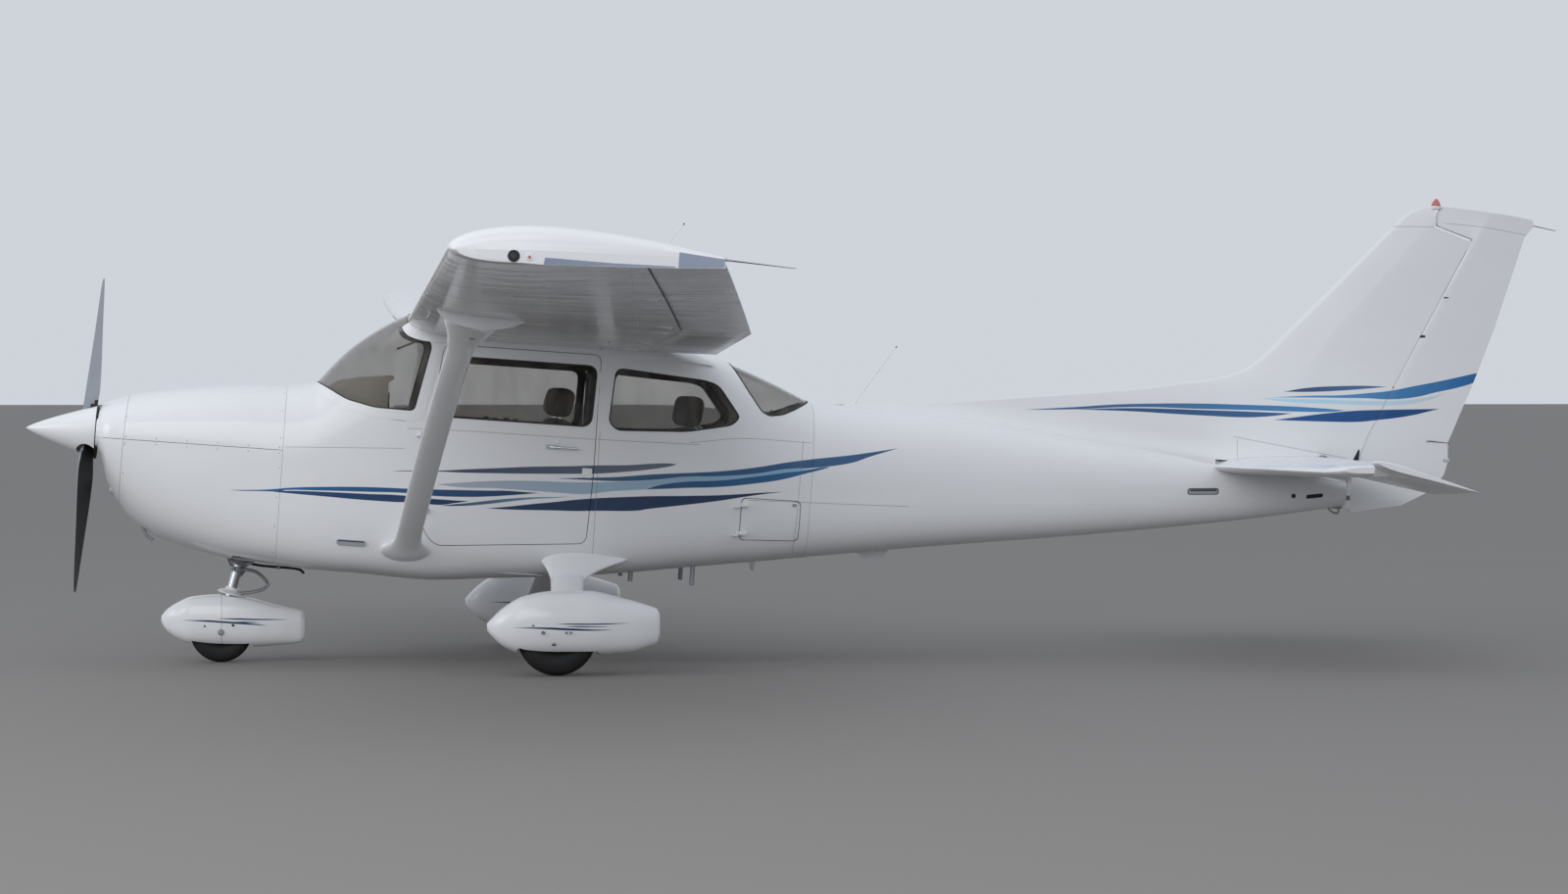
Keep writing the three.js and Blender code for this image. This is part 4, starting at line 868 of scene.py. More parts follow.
def span_curve(tree, place, rows):
    """Height in metres on a curve of rows of place and height in millimetres, and the share along it."""
    first, last = rows[0][0], rows[-1][0]
    low = min(z for x, z in rows) - 20
    high = max(z for x, z in rows) + 20
    share = ranged(tree, place, first * 0.001, last * 0.001)
    curve = add(tree, "FloatCurve", {"Value": share})
    line = curve.mapping.curves[0]
    points = [((x - first) / (last - first), (z - low) / (high - low)) for x, z in rows]
    line.points[0].location = points[0]
    line.points[1].location = points[-1]
    for point in points[1:-1]:
        line.points.new(*point)
    for point in line.points:
        point.handle_type = "AUTO_CLAMPED"
    curve.mapping.update()
    return ranged(tree, curve.outputs[0], 0.0, 1.0, low * 0.001, high * 0.001), share


def airframe_place(tree, matrix):
    """Object coordinates turned into the frame that the stripes are drawn in, in metres."""
    back = (matrix @ Matrix.Scale(1000, 4)).inverted()
    place = add(tree, "TexCoord").outputs["Object"]
    settings = {"Vector": place, "Location": back.to_translation(), "Rotation": back.to_euler()}
    return add(tree, "Mapping", settings).outputs[0]


def painted(name, matrix, stripes=(), laps_x=(), laps_z=(), ripple=0.0, shade_streaks=0.0):
    """Two-pack polyurethane over sheet: a wet white gloss with faint dirt, stripes with crisp edges,
    and fine grey lines where skins lap. Under the wing it can take painted shade in dark streaks."""
    material, tree, shader = new_material(name, Coat_Weight=0.2, Coat_Roughness=0.05, Specular_IOR_Level=0.5)
    place = airframe_place(tree, matrix)
    parts = add(tree, "SeparateXYZ", {0: place})
    x, z = parts.outputs[0], parts.outputs[2]
    airflow = stretched(tree, place, (0.9, 3, 3))
    haze = cloudy(tree, airflow, 1.4, 6.0, 0.65)
    film = ranged(tree, haze, 0.45, 0.8, 0.0, 0.07)
    colour = mixed(tree, film, linear(WHITE), linear(DIRT_FILM))
    for front, rear, rows in stripes:
        bottom, share = span_curve(tree, x, [row[:2] for row in rows])
        top, _ = span_curve(tree, x, [(row[0], row[2]) for row in rows])
        above = calc(tree, "SUBTRACT", z, bottom)
        below = calc(tree, "SUBTRACT", top, z)
        mask = ranged(tree, calc(tree, "MINIMUM", above, below), 0.0002, 0.0012)
        tint = mixed(tree, share, linear(front), linear(rear))
        colour = mixed(tree, mask, colour, tint)
    for rows, side, along in [(rows, z, x) for rows in laps_x] + [(rows, x, z) for rows in laps_z]:
        height, share = span_curve(tree, along, rows)
        away = calc(tree, "ABSOLUTE", calc(tree, "SUBTRACT", side, height))
        line = ranged(tree, away, 0.0008, 0.0024, 0.6, 0.0)
        inside = calc(tree, "COMPARE", share, 0.5, 0.499)
        colour = mixed(tree, calc(tree, "MULTIPLY", line, inside), colour, linear(LAP_LINE))
    if shade_streaks:
        # painted shade under the wing: a grey over the whole underside, darker in thin streaks that follow
        # the air, for the shade and for the ground's reflection in the gloss
        shade_streak = cloudy(tree, stretched(tree, place, (0.55, 8, 1)), 1.3, 4.0, 0.6)
        shade_streak = ranged(tree, shade_streak, 0.38, 0.7, shade_streaks * 0.4, shade_streaks)
        colour = mixed(tree, shade_streak, colour, linear(STREAK_SHADE))
    tree.links.new(colour, shader.inputs["Base Color"])
    tree.links.new(ranged(tree, haze, 0.3, 0.8, 0.17, 0.3), shader.inputs["Roughness"])
    # the sheet dents very slightly between its frames
    dents = cloudy(tree, airflow, 2.2, 1.0)
    relief = add(tree, "Bump", {"Height": dents, "Strength": 0.12, "Distance": 0.02}).outputs[0]
    if ripple:
        # thin wing skin buckles a fraction of a millimetre between its rivet rows, in long waves
        waves = cloudy(tree, stretched(tree, place, (1.3, 3.6, 1)), 1.0, 2.0)
        links = {"Height": waves, "Normal": relief, "Strength": 1.0, "Distance": ripple}
        relief = add(tree, "Bump", links).outputs[0]
        tree.links.new(relief, shader.inputs["Coat Normal"])
    tree.links.new(relief, shader.inputs["Normal"])
    return material


# Each comment says what a finish is on the real aircraft, and what that gives the eye; where a finish
# carries painted shade, its comment says so.
# Two-pack polyurethane sprayed on sheet: a wet gloss with a faint film of dirt
white_paint = painted("white_polyurethane_gloss", AIRFRAME)
# The same on thin riveted wing sheet, whose long shallow waves break up what it mirrors
wing_paint = painted("polyurethane_on_thin_sheet", AIRFRAME, ripple=0.003)
# The same under the wing, with painted shade in grey streaks along the air for the ground's reflection
under_paint = painted("polyurethane_under_wing_painted_shade", AIRFRAME, ripple=0.004, shade_streaks=0.46)
# Painted shade on the moulded tip and the aileron's end: slate blue, which pales towards the rear
TIP_SHADE_BAND = [("7B87A0", "A9B2C2", [(400, -900, 4000), (2400, -900, 4000)])]
tip_shadow = painted("painted_shade_slate_blue", AIRFRAME, TIP_SHADE_BAND)
# White gloss with masked and sprayed blue stripes: crisp edges, painted highlight and shade in their
# colours, and grey lines where sheets lap
livery = painted("striped_polyurethane_gloss", AIRFRAME, STRIPES, LAPS_ALONG_X, LAPS_ALONG_Z)


def moulded_lens(name, code, transmission):
    """Acrylic coloured all through and moulded: it glows at its rim and has one hard highlight."""
    settings = {"Roughness": 0.05, "Transmission_Weight": transmission, "IOR": 1.49}
    return new_material(name, Base_Color=linear(code), **settings)[0]


red_lens = moulded_lens("red_lens_plastic", "E58D82", 0.35)
green_lens = moulded_lens("green_lens_plastic", "128A4E", 0.35)
clear_lens = moulded_lens("clear_lens_plastic", "E6EAEC", 0.5)
# Clear acrylic cover over the lamp, coloured almost black as painted shade of the lamp behind it, with a
# sharp highlight
shaded_lamp_lens = plain("clear_lens_painted_shade", "3B3D42", 0.08, grain=30, bump=0.0, varied=0.3)
# Rolled steel pipe that heat has tinted: a dull brown metal sheen in patches
exhaust_steel = plain("heat_tinted_steel", "8C8378", 0.4, metallic=1.0, grain=60, varied=0.15)
# Extruded rubber under dust, which also paints the shade in seams, gaps, window reveals and slots: dark
# grey with no highlight
seal_rubber_and_gap_shade = plain("dusty_seal_rubber_and_painted_gap_shade", "3A3B3D", 0.8, grain=80, bump=0.3)
# Printed dial behind glass: nearly black, with a soft shine
gauge_face = plain("dark_gauge_face", "0E0F11", 0.3, grain=60)
# Screen-printed ink: flat bright white that reads from far away
gauge_mark = plain("screen_printed_white", "D9DADB", 0.6, grain=60)
# Moulded plastic with a leather grain: a warm grey that scatters light
panel_grey = plain("textured_grey_plastic", "6C6A66", 0.65, grain=120, bump=0.3)
# Flock blown on foam: black that takes no reflection
glare_cloth = plain("flocked_glare_shield", "2B2B2D", 0.95, grain=260, bump=0.5)
# Tufted and cut wool blend: a deep dull pile
carpet_pile = plain("cut_pile_carpet", "4A4744", 0.98, grain=300, bump=0.8)
# Knobs moulded from coloured plastic: small bright spots with a soft shine
blue_knob = plain("blue_moulded_knob", "2B4FA3", 0.4)
red_knob = plain("red_moulded_knob", "B3262A", 0.4)
# Heat-proof enamel on castings: grey with a slight orange peel
engine_grey = plain("grey_engine_enamel", "7A7E82", 0.5, metallic=0.2, grain=90, bump=0.2)
# Vinyl-backed cloth on foam: pale tan and dull
visor_cloth = plain("padded_visor_cloth", "A1978A", 0.9, grain=90, bump=0.3)
# Vacuum-formed trim round the inside of each pane, coloured dark brown as painted shade of the window's
# reveal: a dark frame
lining_brown_shade = plain("dark_brown_trim_painted_shade", "40382F", 0.7, grain=70, bump=0.2)
# Vacuum-formed trim in cream: a soft pale wall with a fine grain
cabin_trim = plain("moulded_trim_panel", "B9B4AA", 0.7, grain=60, bump=0.2)
# Natural rubber cured in a mould: near black with a broad dull sheen
black_rubber = plain("vulcanised_rubber", "1B1B1C", 0.75, grain=80, bump=0.3)
# Aluminium turned on a lathe: a pale metal with a soft bright band
alloy = plain("turned_aluminium", "C3C7CB", 0.35, metallic=1.0, grain=80)
# Forged or welded steel under grey paint: half dull, half metal
steel = plain("painted_steel", "9A9EA3", 0.4, metallic=0.4, grain=60)
# Ground steel plated with chromium: a hard mirror
chrome = plain("hard_chrome", "E3E6EA", 0.08, metallic=1.0, grain=60)
# White enamel in the shade of a recess: a flat light grey
recess_grey = plain("shaded_recess_enamel", "A4A9B0", 0.5, grain=50)
# Satin enamel sprayed on forged blades: grey ahead, and black behind against glare. The black also
# paints the shade in holes, slots and throats
prop_grey = plain("satin_grey_enamel", "8E949B", 0.4, grain=50)
black_enamel_and_hole_shade = plain("matt_black_enamel_and_painted_hole_shade", "17181A", 0.55, grain=50)
# Woven polyester over foam: brown grey, dull and slightly knotted
seat_cloth = plain("woven_seat_cloth", "665D53", 0.9, grain=200, bump=0.4)
# Wrinkle paint baked on sheet: black with a fine crackle that kills glare
panel_black = plain("crackle_black_panel", "26282B", 0.6, grain=120, bump=0.3)
# Sand-cast aluminium with an oily bloom: rough dark grey metal
engine_iron = plain("cast_crankcase", "5B5F63", 0.6, metallic=0.6, grain=90, bump=0.3)
# Stretched acrylic sheet, polished: clear, slightly grey, with wiped dust in pale streaks down it
glass, glass_tree, glass_shader = new_material(
    "acrylic_pane",
    Base_Color=linear("CFCDCA"),
    Roughness=0.02,
    Transmission_Weight=1.0,
    IOR=1.12,
    Specular_IOR_Level=0.9,
)
dust = stretched(glass_tree, add(glass_tree, "TexCoord").outputs["Object"], (3, 9, 1.2))
dust = ranged(glass_tree, cloudy(glass_tree, dust, 3.0, 5.0, 0.6), 0.4, 0.75, 1.0, 0.86)
glass_tree.links.new(dust, glass_shader.inputs["Transmission Weight"])


# Fuselage
def fuselage(name, low, high, inset=0, spacing=42, material=None, count=112):
    """The fuselage's form between two stations, drawn in by an inset."""
    creases = (WINDSHIELD_FOOT_X, CABIN_END_X)
    rows = rows_at(FUSELAGE, steps(low, high, spacing, *creases), creases)
    rings = []
    for x, half, bottom, top, belt, up, lower in rows:
        yz = superellipse(half - inset, bottom + inset, top - inset, belt, up, lower, count)
        rings.append(np.c_[np.full(count, x), yz])
    return loft(name, rings, AIRFRAME, material)


def cabin_block():
    """The solid form of the cabin, which cuts what enters it."""
    return fuselage("cabin_block", FIREWALL_X, CABIN_END_X, spacing=80)


def tail_block():
    return fuselage("tail_block", CABIN_END_X, TAIL_END_X, spacing=80)


def cowl():
    """Both halves of the engine cowling with their inlets and holes."""
    low, high = FUSELAGE[0][0], FIREWALL_X - SEAM / 2
    shell = fuselage("cowl_shell", low, high, material=livery, spacing=14)
    combine(shell, "DIFFERENCE", fuselage("inside", low + COWL_WALL, FIREWALL_X, COWL_WALL, spacing=20))
    cuts = []
    for y, half, bottom, top, power, lip_x, hole_x in INLETS:
        middle = (bottom + top) / 2 - (INLET_DROP if y else 0)
        lip = superellipse(half + LIP, bottom - LIP, top + LIP, middle, power, power, 64) + [y, 0]
        hole = superellipse(half, bottom, top, middle, power, power, 64) + [y, 0]
        rim = loft("lip", [np.c_[np.full(64, x), lip] for x in lip_x], AIRFRAME, livery)
        soften(rim, 9, 4)
        combine(shell, "UNION", rim)
        cuts.append(loft("inlet", [np.c_[np.full(64, x), hole] for x in hole_x], AIRFRAME))
    cuts.append(box("gear_hole", (-345, -120, 480), (FIREWALL_X - 20, 120, 620), AIRFRAME, bevel=30))
    outlet = [(-300, 515), (-90, 498), (-90, 560), (-300, 560)]
    cuts.append(across("outlet", outlet, -330, -150, 10))
    cuts.append(rod("shaft_hole", (-1100, 0, SHAFT_Z), (-1000, 0, SHAFT_Z), 84, AIRFRAME, sides=48))
    combine(shell, "DIFFERENCE", *cuts)
    # the seam's faces take the dark rubber of the cutting box: painted shade in the gap between the halves
    halves = [("cowl_upper", COWL_SPLIT_Z + SEAM / 2, 1700), ("cowl_lower", 300, COWL_SPLIT_Z - SEAM / 2)]
    for name, z0, z1 in halves:
        half = copy_of(shell, name + "_skin")
        combine(half, "INTERSECT", seam_dark(box("half", (-1200, -BEYOND, z0), (0, BEYOND, z1), AIRFRAME)))
        dress(half, "airframe", [name])
    drop(shell)


def cabin_room(margin=0):
    """The air inside the cabin."""
    low, high = FIREWALL_X + 25 + margin, CABIN_END_X - 30 - margin
    room = fuselage("room", low, high, WALL + margin, material=cabin_trim)
    floor = box("floor", (-300, -BEYOND, 300), (1700 + margin, BEYOND, FLOOR_Z + margin), AIRFRAME)
    shelf_end = (2900, BEYOND, BAGGAGE_FLOOR_Z + margin)
    shelf = box("shelf", (2240 - margin, -BEYOND, 300), shelf_end, AIRFRAME)
    return combine(room, "DIFFERENCE", floor, shelf)


def cabin():
    """The cabin's shell with its openings, and the leaves of its three doors."""
    shell = fuselage("cabin_shell", FIREWALL_X, CABIN_END_X, material=livery, spacing=36)
    combine(shell, "DIFFERENCE", cabin_room())
    windows = (
        (WINDSHIELD, WINDSHIELD_CORNER),
        (REAR_WINDOW, REAR_WINDOW_CORNER),
        (REAR_SIDE_WINDOW, REAR_SIDE_CORNER),
    )
    # the wall is thin in a band round each window
    band = 36
    for outline, corner in (*windows, (DOOR_WINDOW, DOOR_WINDOW_CORNER)):
        thin = fuselage("thin", FIREWALL_X + 30, CABIN_END_X - 3, WINDOW_WALL, material=cabin_trim)
        reach = across("reach", drawn_in(outline, -band), *REACH[0], corner + band, cabin_trim)
        combine(thin, "INTERSECT", reach)
        combine(shell, "DIFFERENCE", thin)
    leaves = {}
    for name, outline, side, corner in (
        ("door_left", DOOR, -1, LEAF_CORNER),
        ("door_right", DOOR, 1, LEAF_CORNER),
        ("baggage_door", BAGGAGE_DOOR, -1, HATCH_CORNER),
    ):
        # the edges of the leaves take painted shade from the dark cutting solids
        leaf = copy_of(shell, name + "_leaf")
        cut = across("cut", drawn_in(outline, LEAF_GAP), *REACH[side], corner)
        combine(leaf, "INTERSECT", seam_dark(cut))
        leaves[name] = leaf
    # the reveal of the door's window takes painted shade
    for side in ("left", "right"):
        opening = across("cut", DOOR_WINDOW, *REACH[0], DOOR_WINDOW_CORNER)
        combine(leaves["door_" + side], "DIFFERENCE", seam_dark(opening))
    # the faces of these cuts are painted shade: dark reveals round the windows and the door opening
    cuts = [across("cut", outline, *REACH[0], corner) for outline, corner in (*windows, (DOOR, DOOR_CORNER))]
    cuts.append(across("cut", BAGGAGE_DOOR, *REACH[-1], HATCH_CORNER))
    combine(shell, "DIFFERENCE", *[seam_dark(cut) for cut in cuts])
    shell.name = "cabin_skin"
    dress(shell, "airframe", ["cabin"])
    for name, leaf in leaves.items():
        dress(leaf, name, [name])


def panes():
    for name, _, outline, side, corner, body in PANES:
        pane = fuselage(name + "_pane", FIREWALL_X, CABIN_END_X, PANE_SINK, material=glass, spacing=36)
        depth = PANE_SINK + PANE_THICK
        combine(pane, "DIFFERENCE", fuselage("inside", FIREWALL_X - 5, CABIN_END_X + 5, depth, spacing=36))
        combine(pane, "INTERSECT", across("cut", drawn_in(outline, 0.5), *REACH[side], corner))
        dress(pane, body, [name])


def tail_cone():
    skin = fuselage("tail_cone_skin", CABIN_END_X + SEAM / 2, TAIL_END_X, material=livery, spacing=60)
    combine(skin, "DIFFERENCE", fuselage("inside", CABIN_END_X - 5, TAIL_END_X - 60, TAIL_WALL, spacing=60))
    dress(skin, "airframe", ["tail_cone"])


# Wing
def half_thickness(share):
    """The section's half depth at a share of the chord, as a part of the chord."""
    root = 0.2969 * np.sqrt(share) - 0.126 * share - 0.3516 * share**2
    return 5 * WING_THICKNESS * (root + 0.2843 * share**3 - 0.1015 * share**4)


def camber_at(share):
    """The height of the section's middle line, as a part of the chord."""
    ahead = share < CAMBER_AT
    scale = np.where(ahead, CAMBER / CAMBER_AT**2, CAMBER / (1 - CAMBER_AT) ** 2)
    return scale * (np.where(ahead, 0, 1 - 2 * CAMBER_AT) + 2 * CAMBER_AT * share - share**2)


def wing_points(row, share, up):
    """Points of the wing's section at shares of its chord; up is 1 above and -1 below."""
    y, lead_x, lead_z, chord, incidence, above_depth, below_depth = row
    depth = above_depth if up > 0 else below_depth
    along = share * chord
    above = chord * (camber_at(share) + up * depth * half_thickness(share))
    turn = math.radians(incidence)
    x = lead_x + along * math.cos(turn) + above * math.sin(turn)
    z = lead_z - along * math.sin(turn) + above * math.cos(turn) + up * EDGE * share * min(depth, 1)
    return np.stack([x, np.full_like(x, y), z], 1)


def wing_place(y, share, up):
    """A place on the wing's skin at a share of the chord."""
    return wing_points(wing_rows([y])[0], np.array([share]), up)[0]


def wing_rows(at):
    return rows_at(WING, at, (TAPER_Y, TIP_Y))


CHORD_SHARES = (1 - np.cos(np.linspace(0, math.pi, 37))) / 2


def wing_ring(row):
    return np.concatenate([wing_points(row, CHORD_SHARES[::-1], 1), wing_points(row, CHORD_SHARES[1:], -1)])


def wing_depth(y, x):
    """Middle and half depth of the wing above x at span y, and its trailing edge."""
    row = wing_rows([y])[0]
    share = np.array([(x - row[1]) / row[3]])
    top, bottom = (wing_points(row, share, up)[0][2] for up in (1, -1))
    edge = wing_points(row, np.array([1.0]), 0)[0]
    return (top + bottom) / 2, (top - bottom) / 2, edge


def nose_arc(y, x, z, radius):
    """The half circle round a hinge that looks forward."""
    angle = math.pi / 2 + np.linspace(0, math.pi, 17)
    return np.stack([x + radius * np.cos(angle), np.full_like(angle, y), z + radius * np.sin(angle)], 1)


def hinged_ring(y, x, z, radius, edge_x, edge_z, bead=0.0):
    """Section of a surface about its hinge: a round nose, then flat sides that may carry a bead."""
    share = np.linspace(0, 1, 15)
    window = np.clip((share - 0.1) / 0.08, 0, 1) * np.clip((0.93 - share) / 0.08, 0, 1) * bead
    sides = []
    for up in (-1, 1):
        along = x + share * (edge_x - x)
        height = z + share * (edge_z - z) + up * (radius + share * (EDGE - radius) + window)
        sides.append(np.stack([along, np.full_like(along, y), height], 1))
    return np.concatenate([nose_arc(y, x, z, radius), sides[0][1:], sides[1][:0:-1]])


def bay_ring(y, x, z, radius):
    """Section of the room that a hinged surface takes: a round front, then far out behind it."""
    near, far, low, high = x + 1, x + 900, z - 320, z + 320
    tail = [(near, y, low), (far, y, low), (far, y, high), (near, y, high)]
    return np.concatenate([nose_arc(y, x, z, radius), tail])


def bead_height(y, spacing, height):
    """Ridges pressed into a control surface's skin, at even places along it."""
    wave = abs(((y / spacing) % 1) - 0.5) * 2
    return height * max(0, 1 - wave / 0.42)


LOOKS_DOWN = -0.35


def under_side(made, material):
    """The faces that look down get a material of their own, which carries painted shade."""
    made.data.materials.append(material)
    for face in made.data.polygons:
        if face.normal.z < LOOKS_DOWN:
            face.material_index = len(made.data.materials) - 1
    return made


def hinge_x(surface, y):
    """The hinge's x at a span y."""
    y0, x0, y1, x1 = surface
    return x0 + (x1 - x0) * (y - y0) / (y1 - y0)


def wing_surface(name, surface, side, ridge_height):
    """A flap or an aileron, on the body of the same name."""
    y0, _, y1, _ = surface
    places = [y0 + 1, *np.arange(y0 + 12, y1 - 12, WING_RIDGES_APART / 6), y1 - 1]
    rings = []
    for y in places:
        x = hinge_x(surface, y)
        middle, half, edge = wing_depth(y, x)
        ridge = bead_height(y - y0, WING_RIDGES_APART, ridge_height) if 30 < y - y0 < y1 - y0 - 30 else 0
        rings.append(hinged_ring(y, x, middle, half, edge[0], edge[2], ridge))
    made = under_side(loft(name + "_skin", mirrored(rings, side), AIRFRAME, wing_paint), under_paint)
    return dress(made, name, [name])


def wing_solid(name, side):
    inner, outer = steps(WING[0][0], TAPER_Y, 170), steps(TAPER_Y, TIP_Y, 170)[1:]
    at = np.concatenate([inner, outer, steps(TIP_Y, HALF_SPAN, 9)[1:]])
    rings = [wing_ring(row) for row in wing_rows(at)]
    return under_side(loft(name, mirrored(rings, side), AIRFRAME, wing_paint), under_paint)


def wing(label, side):
    skin = wing_solid("wing_%s_skin" % label, side)
    cuts = []
    for surface in (FLAP, AILERON):
        rings = []
        for y in np.linspace(surface[0] - SIDE_GAP, surface[2] + SIDE_GAP, 9):
            x = hinge_x(surface, y)
            middle, half, _ = wing_depth(y, x)
            rings.append(bay_ring(y, x, middle, half + SURFACE_GAP + 1.5))
        cuts.append(loft("bay", mirrored(rings, side), AIRFRAME))
    cuts.append(cabin_block())
    combine(skin, "DIFFERENCE", *cuts)
    dress(skin, "airframe", ["wing_" + label])
    wing_surface("flap_" + label, FLAP, side, FLAP_RIDGE)
    wing_surface("aileron_" + label, AILERON, side, AILERON_RIDGE)


def ellipse_loft(name, table, side, matrix, material, grow=0):
    """A bar of elliptic sections along y, from a table of y, centre, chord and thickness."""
    rings = []
    angle = np.linspace(0, 2 * math.pi, 48, endpoint=False)
    for y, x, z, chord, thickness in rows_at(table, steps(table[0][0], table[-1][0], 22)):
        along = x + (chord + grow) / 2 * np.cos(angle)
        rings.append(np.stack([along, np.full(48, y), z + (thickness + grow) / 2 * np.sin(angle)], 1))
    return loft(name, mirrored(rings, side), matrix, material)


def strut(label, side):
    made = ellipse_loft("strut_%s_skin" % label, STRUT, side, AIRFRAME, white_paint)
    combine(made, "DIFFERENCE", cabin_block(), wing_solid("block", side))
    dress(made, "airframe", ["strut_" + label])


# Tail
def tailplane_ring(row, grow=0):
    """Section of the tailplane from its leading edge to the hinge."""
    y, lead_x, lead_z, half = row
    share = CHORD_SHARES
    depth = smooth(
        np.array([0, 0.03, 0.12, 0.35, 0.65, 1]), np.array([0, 0.42, 0.82, 1.18, 1.2, 1]), share
    ) * (half + grow)
    x = lead_x - grow + share * (TAIL_HINGE_X - lead_x + grow)
    z = lead_z + share * (TAIL_HINGE_Z - lead_z)
    upper = np.stack([x, np.full_like(x, y), z + depth], 1)
    lower = np.stack([x, np.full_like(x, y), z - depth], 1)
    return np.concatenate([upper[::-1], lower[1:]])


def tailplane_solid(name, grow=0):
    at = np.concatenate([steps(0, HORN_Y, 200), steps(HORN_Y, TAILPLANE_HALF_SPAN, 12)[1:]])
    right = np.array([tailplane_ring(row, grow) for row in rows_at(TAILPLANE, at, (HORN_Y,))])
    left = mirrored(right[1:], -1)[::-1]
    return loft(name, np.concatenate([left, right]), AIRFRAME, white_paint)


def tailplane():
    plane = tailplane_solid("tailplane_skin")
    reach = TAILPLANE_HALF_SPAN + 20
    saddle = box("saddle", (5060, -70, 1340), (5560, 70, 1420), AIRFRAME)
    combine(plane, "UNION", saddle)
    radius = ELEVATOR[0][2] + SURFACE_GAP + 2
    rings = [bay_ring(y, TAIL_HINGE_X, TAIL_HINGE_Z, radius) for y in (-reach, reach)]
    cuts = [loft("bay", rings, AIRFRAME)]
    for side in (-1, 1):
        low, high = sorted((side * (HORN_Y - SIDE_GAP), side * (HORN_Y + 200)))
        cuts.append(box("horn_bay", (HORN_FRONT_X - 16, low, 1200), (5800, high, 1700), AIRFRAME))
    cuts.append(tail_block())
    combine(plane, "DIFFERENCE", *cuts)
    bracket = box("bracket", (5525, -12, 1416), (5624, 12, 1464), AIRFRAME, steel, bevel=3)
    fitted("tailplane_skin", [plane, bracket], replaces=["tailplane"])


def elevator_row(y):
    return rows_at(ELEVATOR, [y], (ELEVATOR_FULL_Y, HORN_Y))[0]


def elevator():
    halves = []
    for side in (-1, 1):
        inner, tip = steps(ELEVATOR[0][0], ELEVATOR_FULL_Y, 20), steps(HORN_Y, TAILPLANE_HALF_SPAN, 14)
        places = np.concatenate([inner, np.arange(290, 1590, ELEVATOR_RIDGES_APART / 6), tip])
        rings = []
        for y in places:
            _, chord, half = elevator_row(y)
            ridge = bead_height(y, ELEVATOR_RIDGES_APART, ELEVATOR_RIDGE) if 300 < y < 1570 else 0
            rings.append(hinged_ring(y, 0, 0, half, chord, 0, ridge))
        skin = loft("skin", mirrored(rings, side), ELEVATOR_FRAME, white_paint)
        front = HORN_FRONT_X - TAIL_HINGE_X
        horn = []
        for y in steps(HORN_Y, TAILPLANE_HALF_SPAN, 14):
            half = elevator_row(y)[2]
            t = np.linspace(-math.pi / 2, math.pi / 2, 15)
            x = np.concatenate([[6], 6 + (front - 6) * np.cos(t) ** 0.8, [6]])
            z = np.concatenate([[-half], half * np.sin(t), [half]])
            horn.append(np.stack([x, np.full_like(x, y), z], 1)[1:-1])
        skin = combine(skin, "UNION", loft("horn", mirrored(horn, side), ELEVATOR_FRAME, white_paint))
        halves.append(skin)
    bay = []
    for y in (TAB_INNER - SIDE_GAP / 2, TAB_OUTER + SIDE_GAP / 2):
        _, chord, half = elevator_row(y)
        x = chord - TAB_CHORD
        bay.append(bay_ring(y, x, 0, half + x / chord * (EDGE - half) + 4))
    combine(halves[1], "DIFFERENCE", loft("bay", bay, ELEVATOR_FRAME))
    tube_bar = rod("tube", (0, -130, 0), (0, 130, 0), 16, ELEVATOR_FRAME, steel)
    fitted("elevator_skin", [*halves, tube_bar], "elevator", ["elevator"])
    rings = []
    for y in np.arange(TAB_INNER, TAB_OUTER + 1, 15):
        _, chord, half = elevator_row(y)
        x = chord - TAB_CHORD
        rings.append(hinged_ring(y, x, 0, half + x / chord * (EDGE - half), chord, 0))
    dress(loft("trim_tab_skin", rings, ELEVATOR_FRAME, white_paint), "trim_tab", ["trim_tab"])


def fin_ring(row):
    """Half thickness grows from a round front edge to the greatest, then falls to the hinge."""
    z, front, thickest, rear, half = row
    nose = FIN_NOSE * np.sin(np.linspace(0, math.pi / 2, 9)[:-1]) ** 1.6
    ahead, behind = np.linspace(front + FIN_NOSE, thickest, 40)[:-1], np.linspace(thickest, rear, 14)
    x = np.concatenate([front + nose, ahead, behind])
    u = np.clip((x - front) / (thickest - front), 0, 1)
    edge_radius = min(13, half)
    from_nose = np.clip((x - front) / FIN_NOSE, 0, 1)
    nose_depth = edge_radius * np.sqrt(np.clip(1 - (1 - from_nose) ** 2, 0, 1))
    power = np.interp(thickest - front, [150, 600, 2000], [0.62, 0.9, 1.5])
    depth = nose_depth + (half - edge_radius) * u**power
    behind = np.clip((x - thickest) / (rear - thickest), 0, 1)
    depth = depth * (1 - 0.45 * behind**1.5)
    tail_top = np.interp(x, *np.transpose(TAIL_TOP))
    spread = np.interp(x, *np.transpose(FIN_SPREAD))
    depth = depth + spread * np.clip(1 - (z - tail_top) / FIN_SPREAD_HEIGHT, 0, 1) ** 2.2 * from_nose
    right = np.stack([x, depth, np.full_like(x, z)], 1)
    left = np.stack([x, -depth, np.full_like(x, z)], 1)
    return np.concatenate([right[::-1], left[1:]])


def rudder_room(name, grow):
    """The room that the rudder takes behind the fin."""
    rings = []
    for height, chord, half in RUDDER:
        ring = bay_ring(0, 0, 0, half + grow)
        rings.append(np.stack([ring[:, 0], ring[:, 2], np.full(len(ring), height)], 1))
    return loft(name, rings, RUDDER_FRAME)


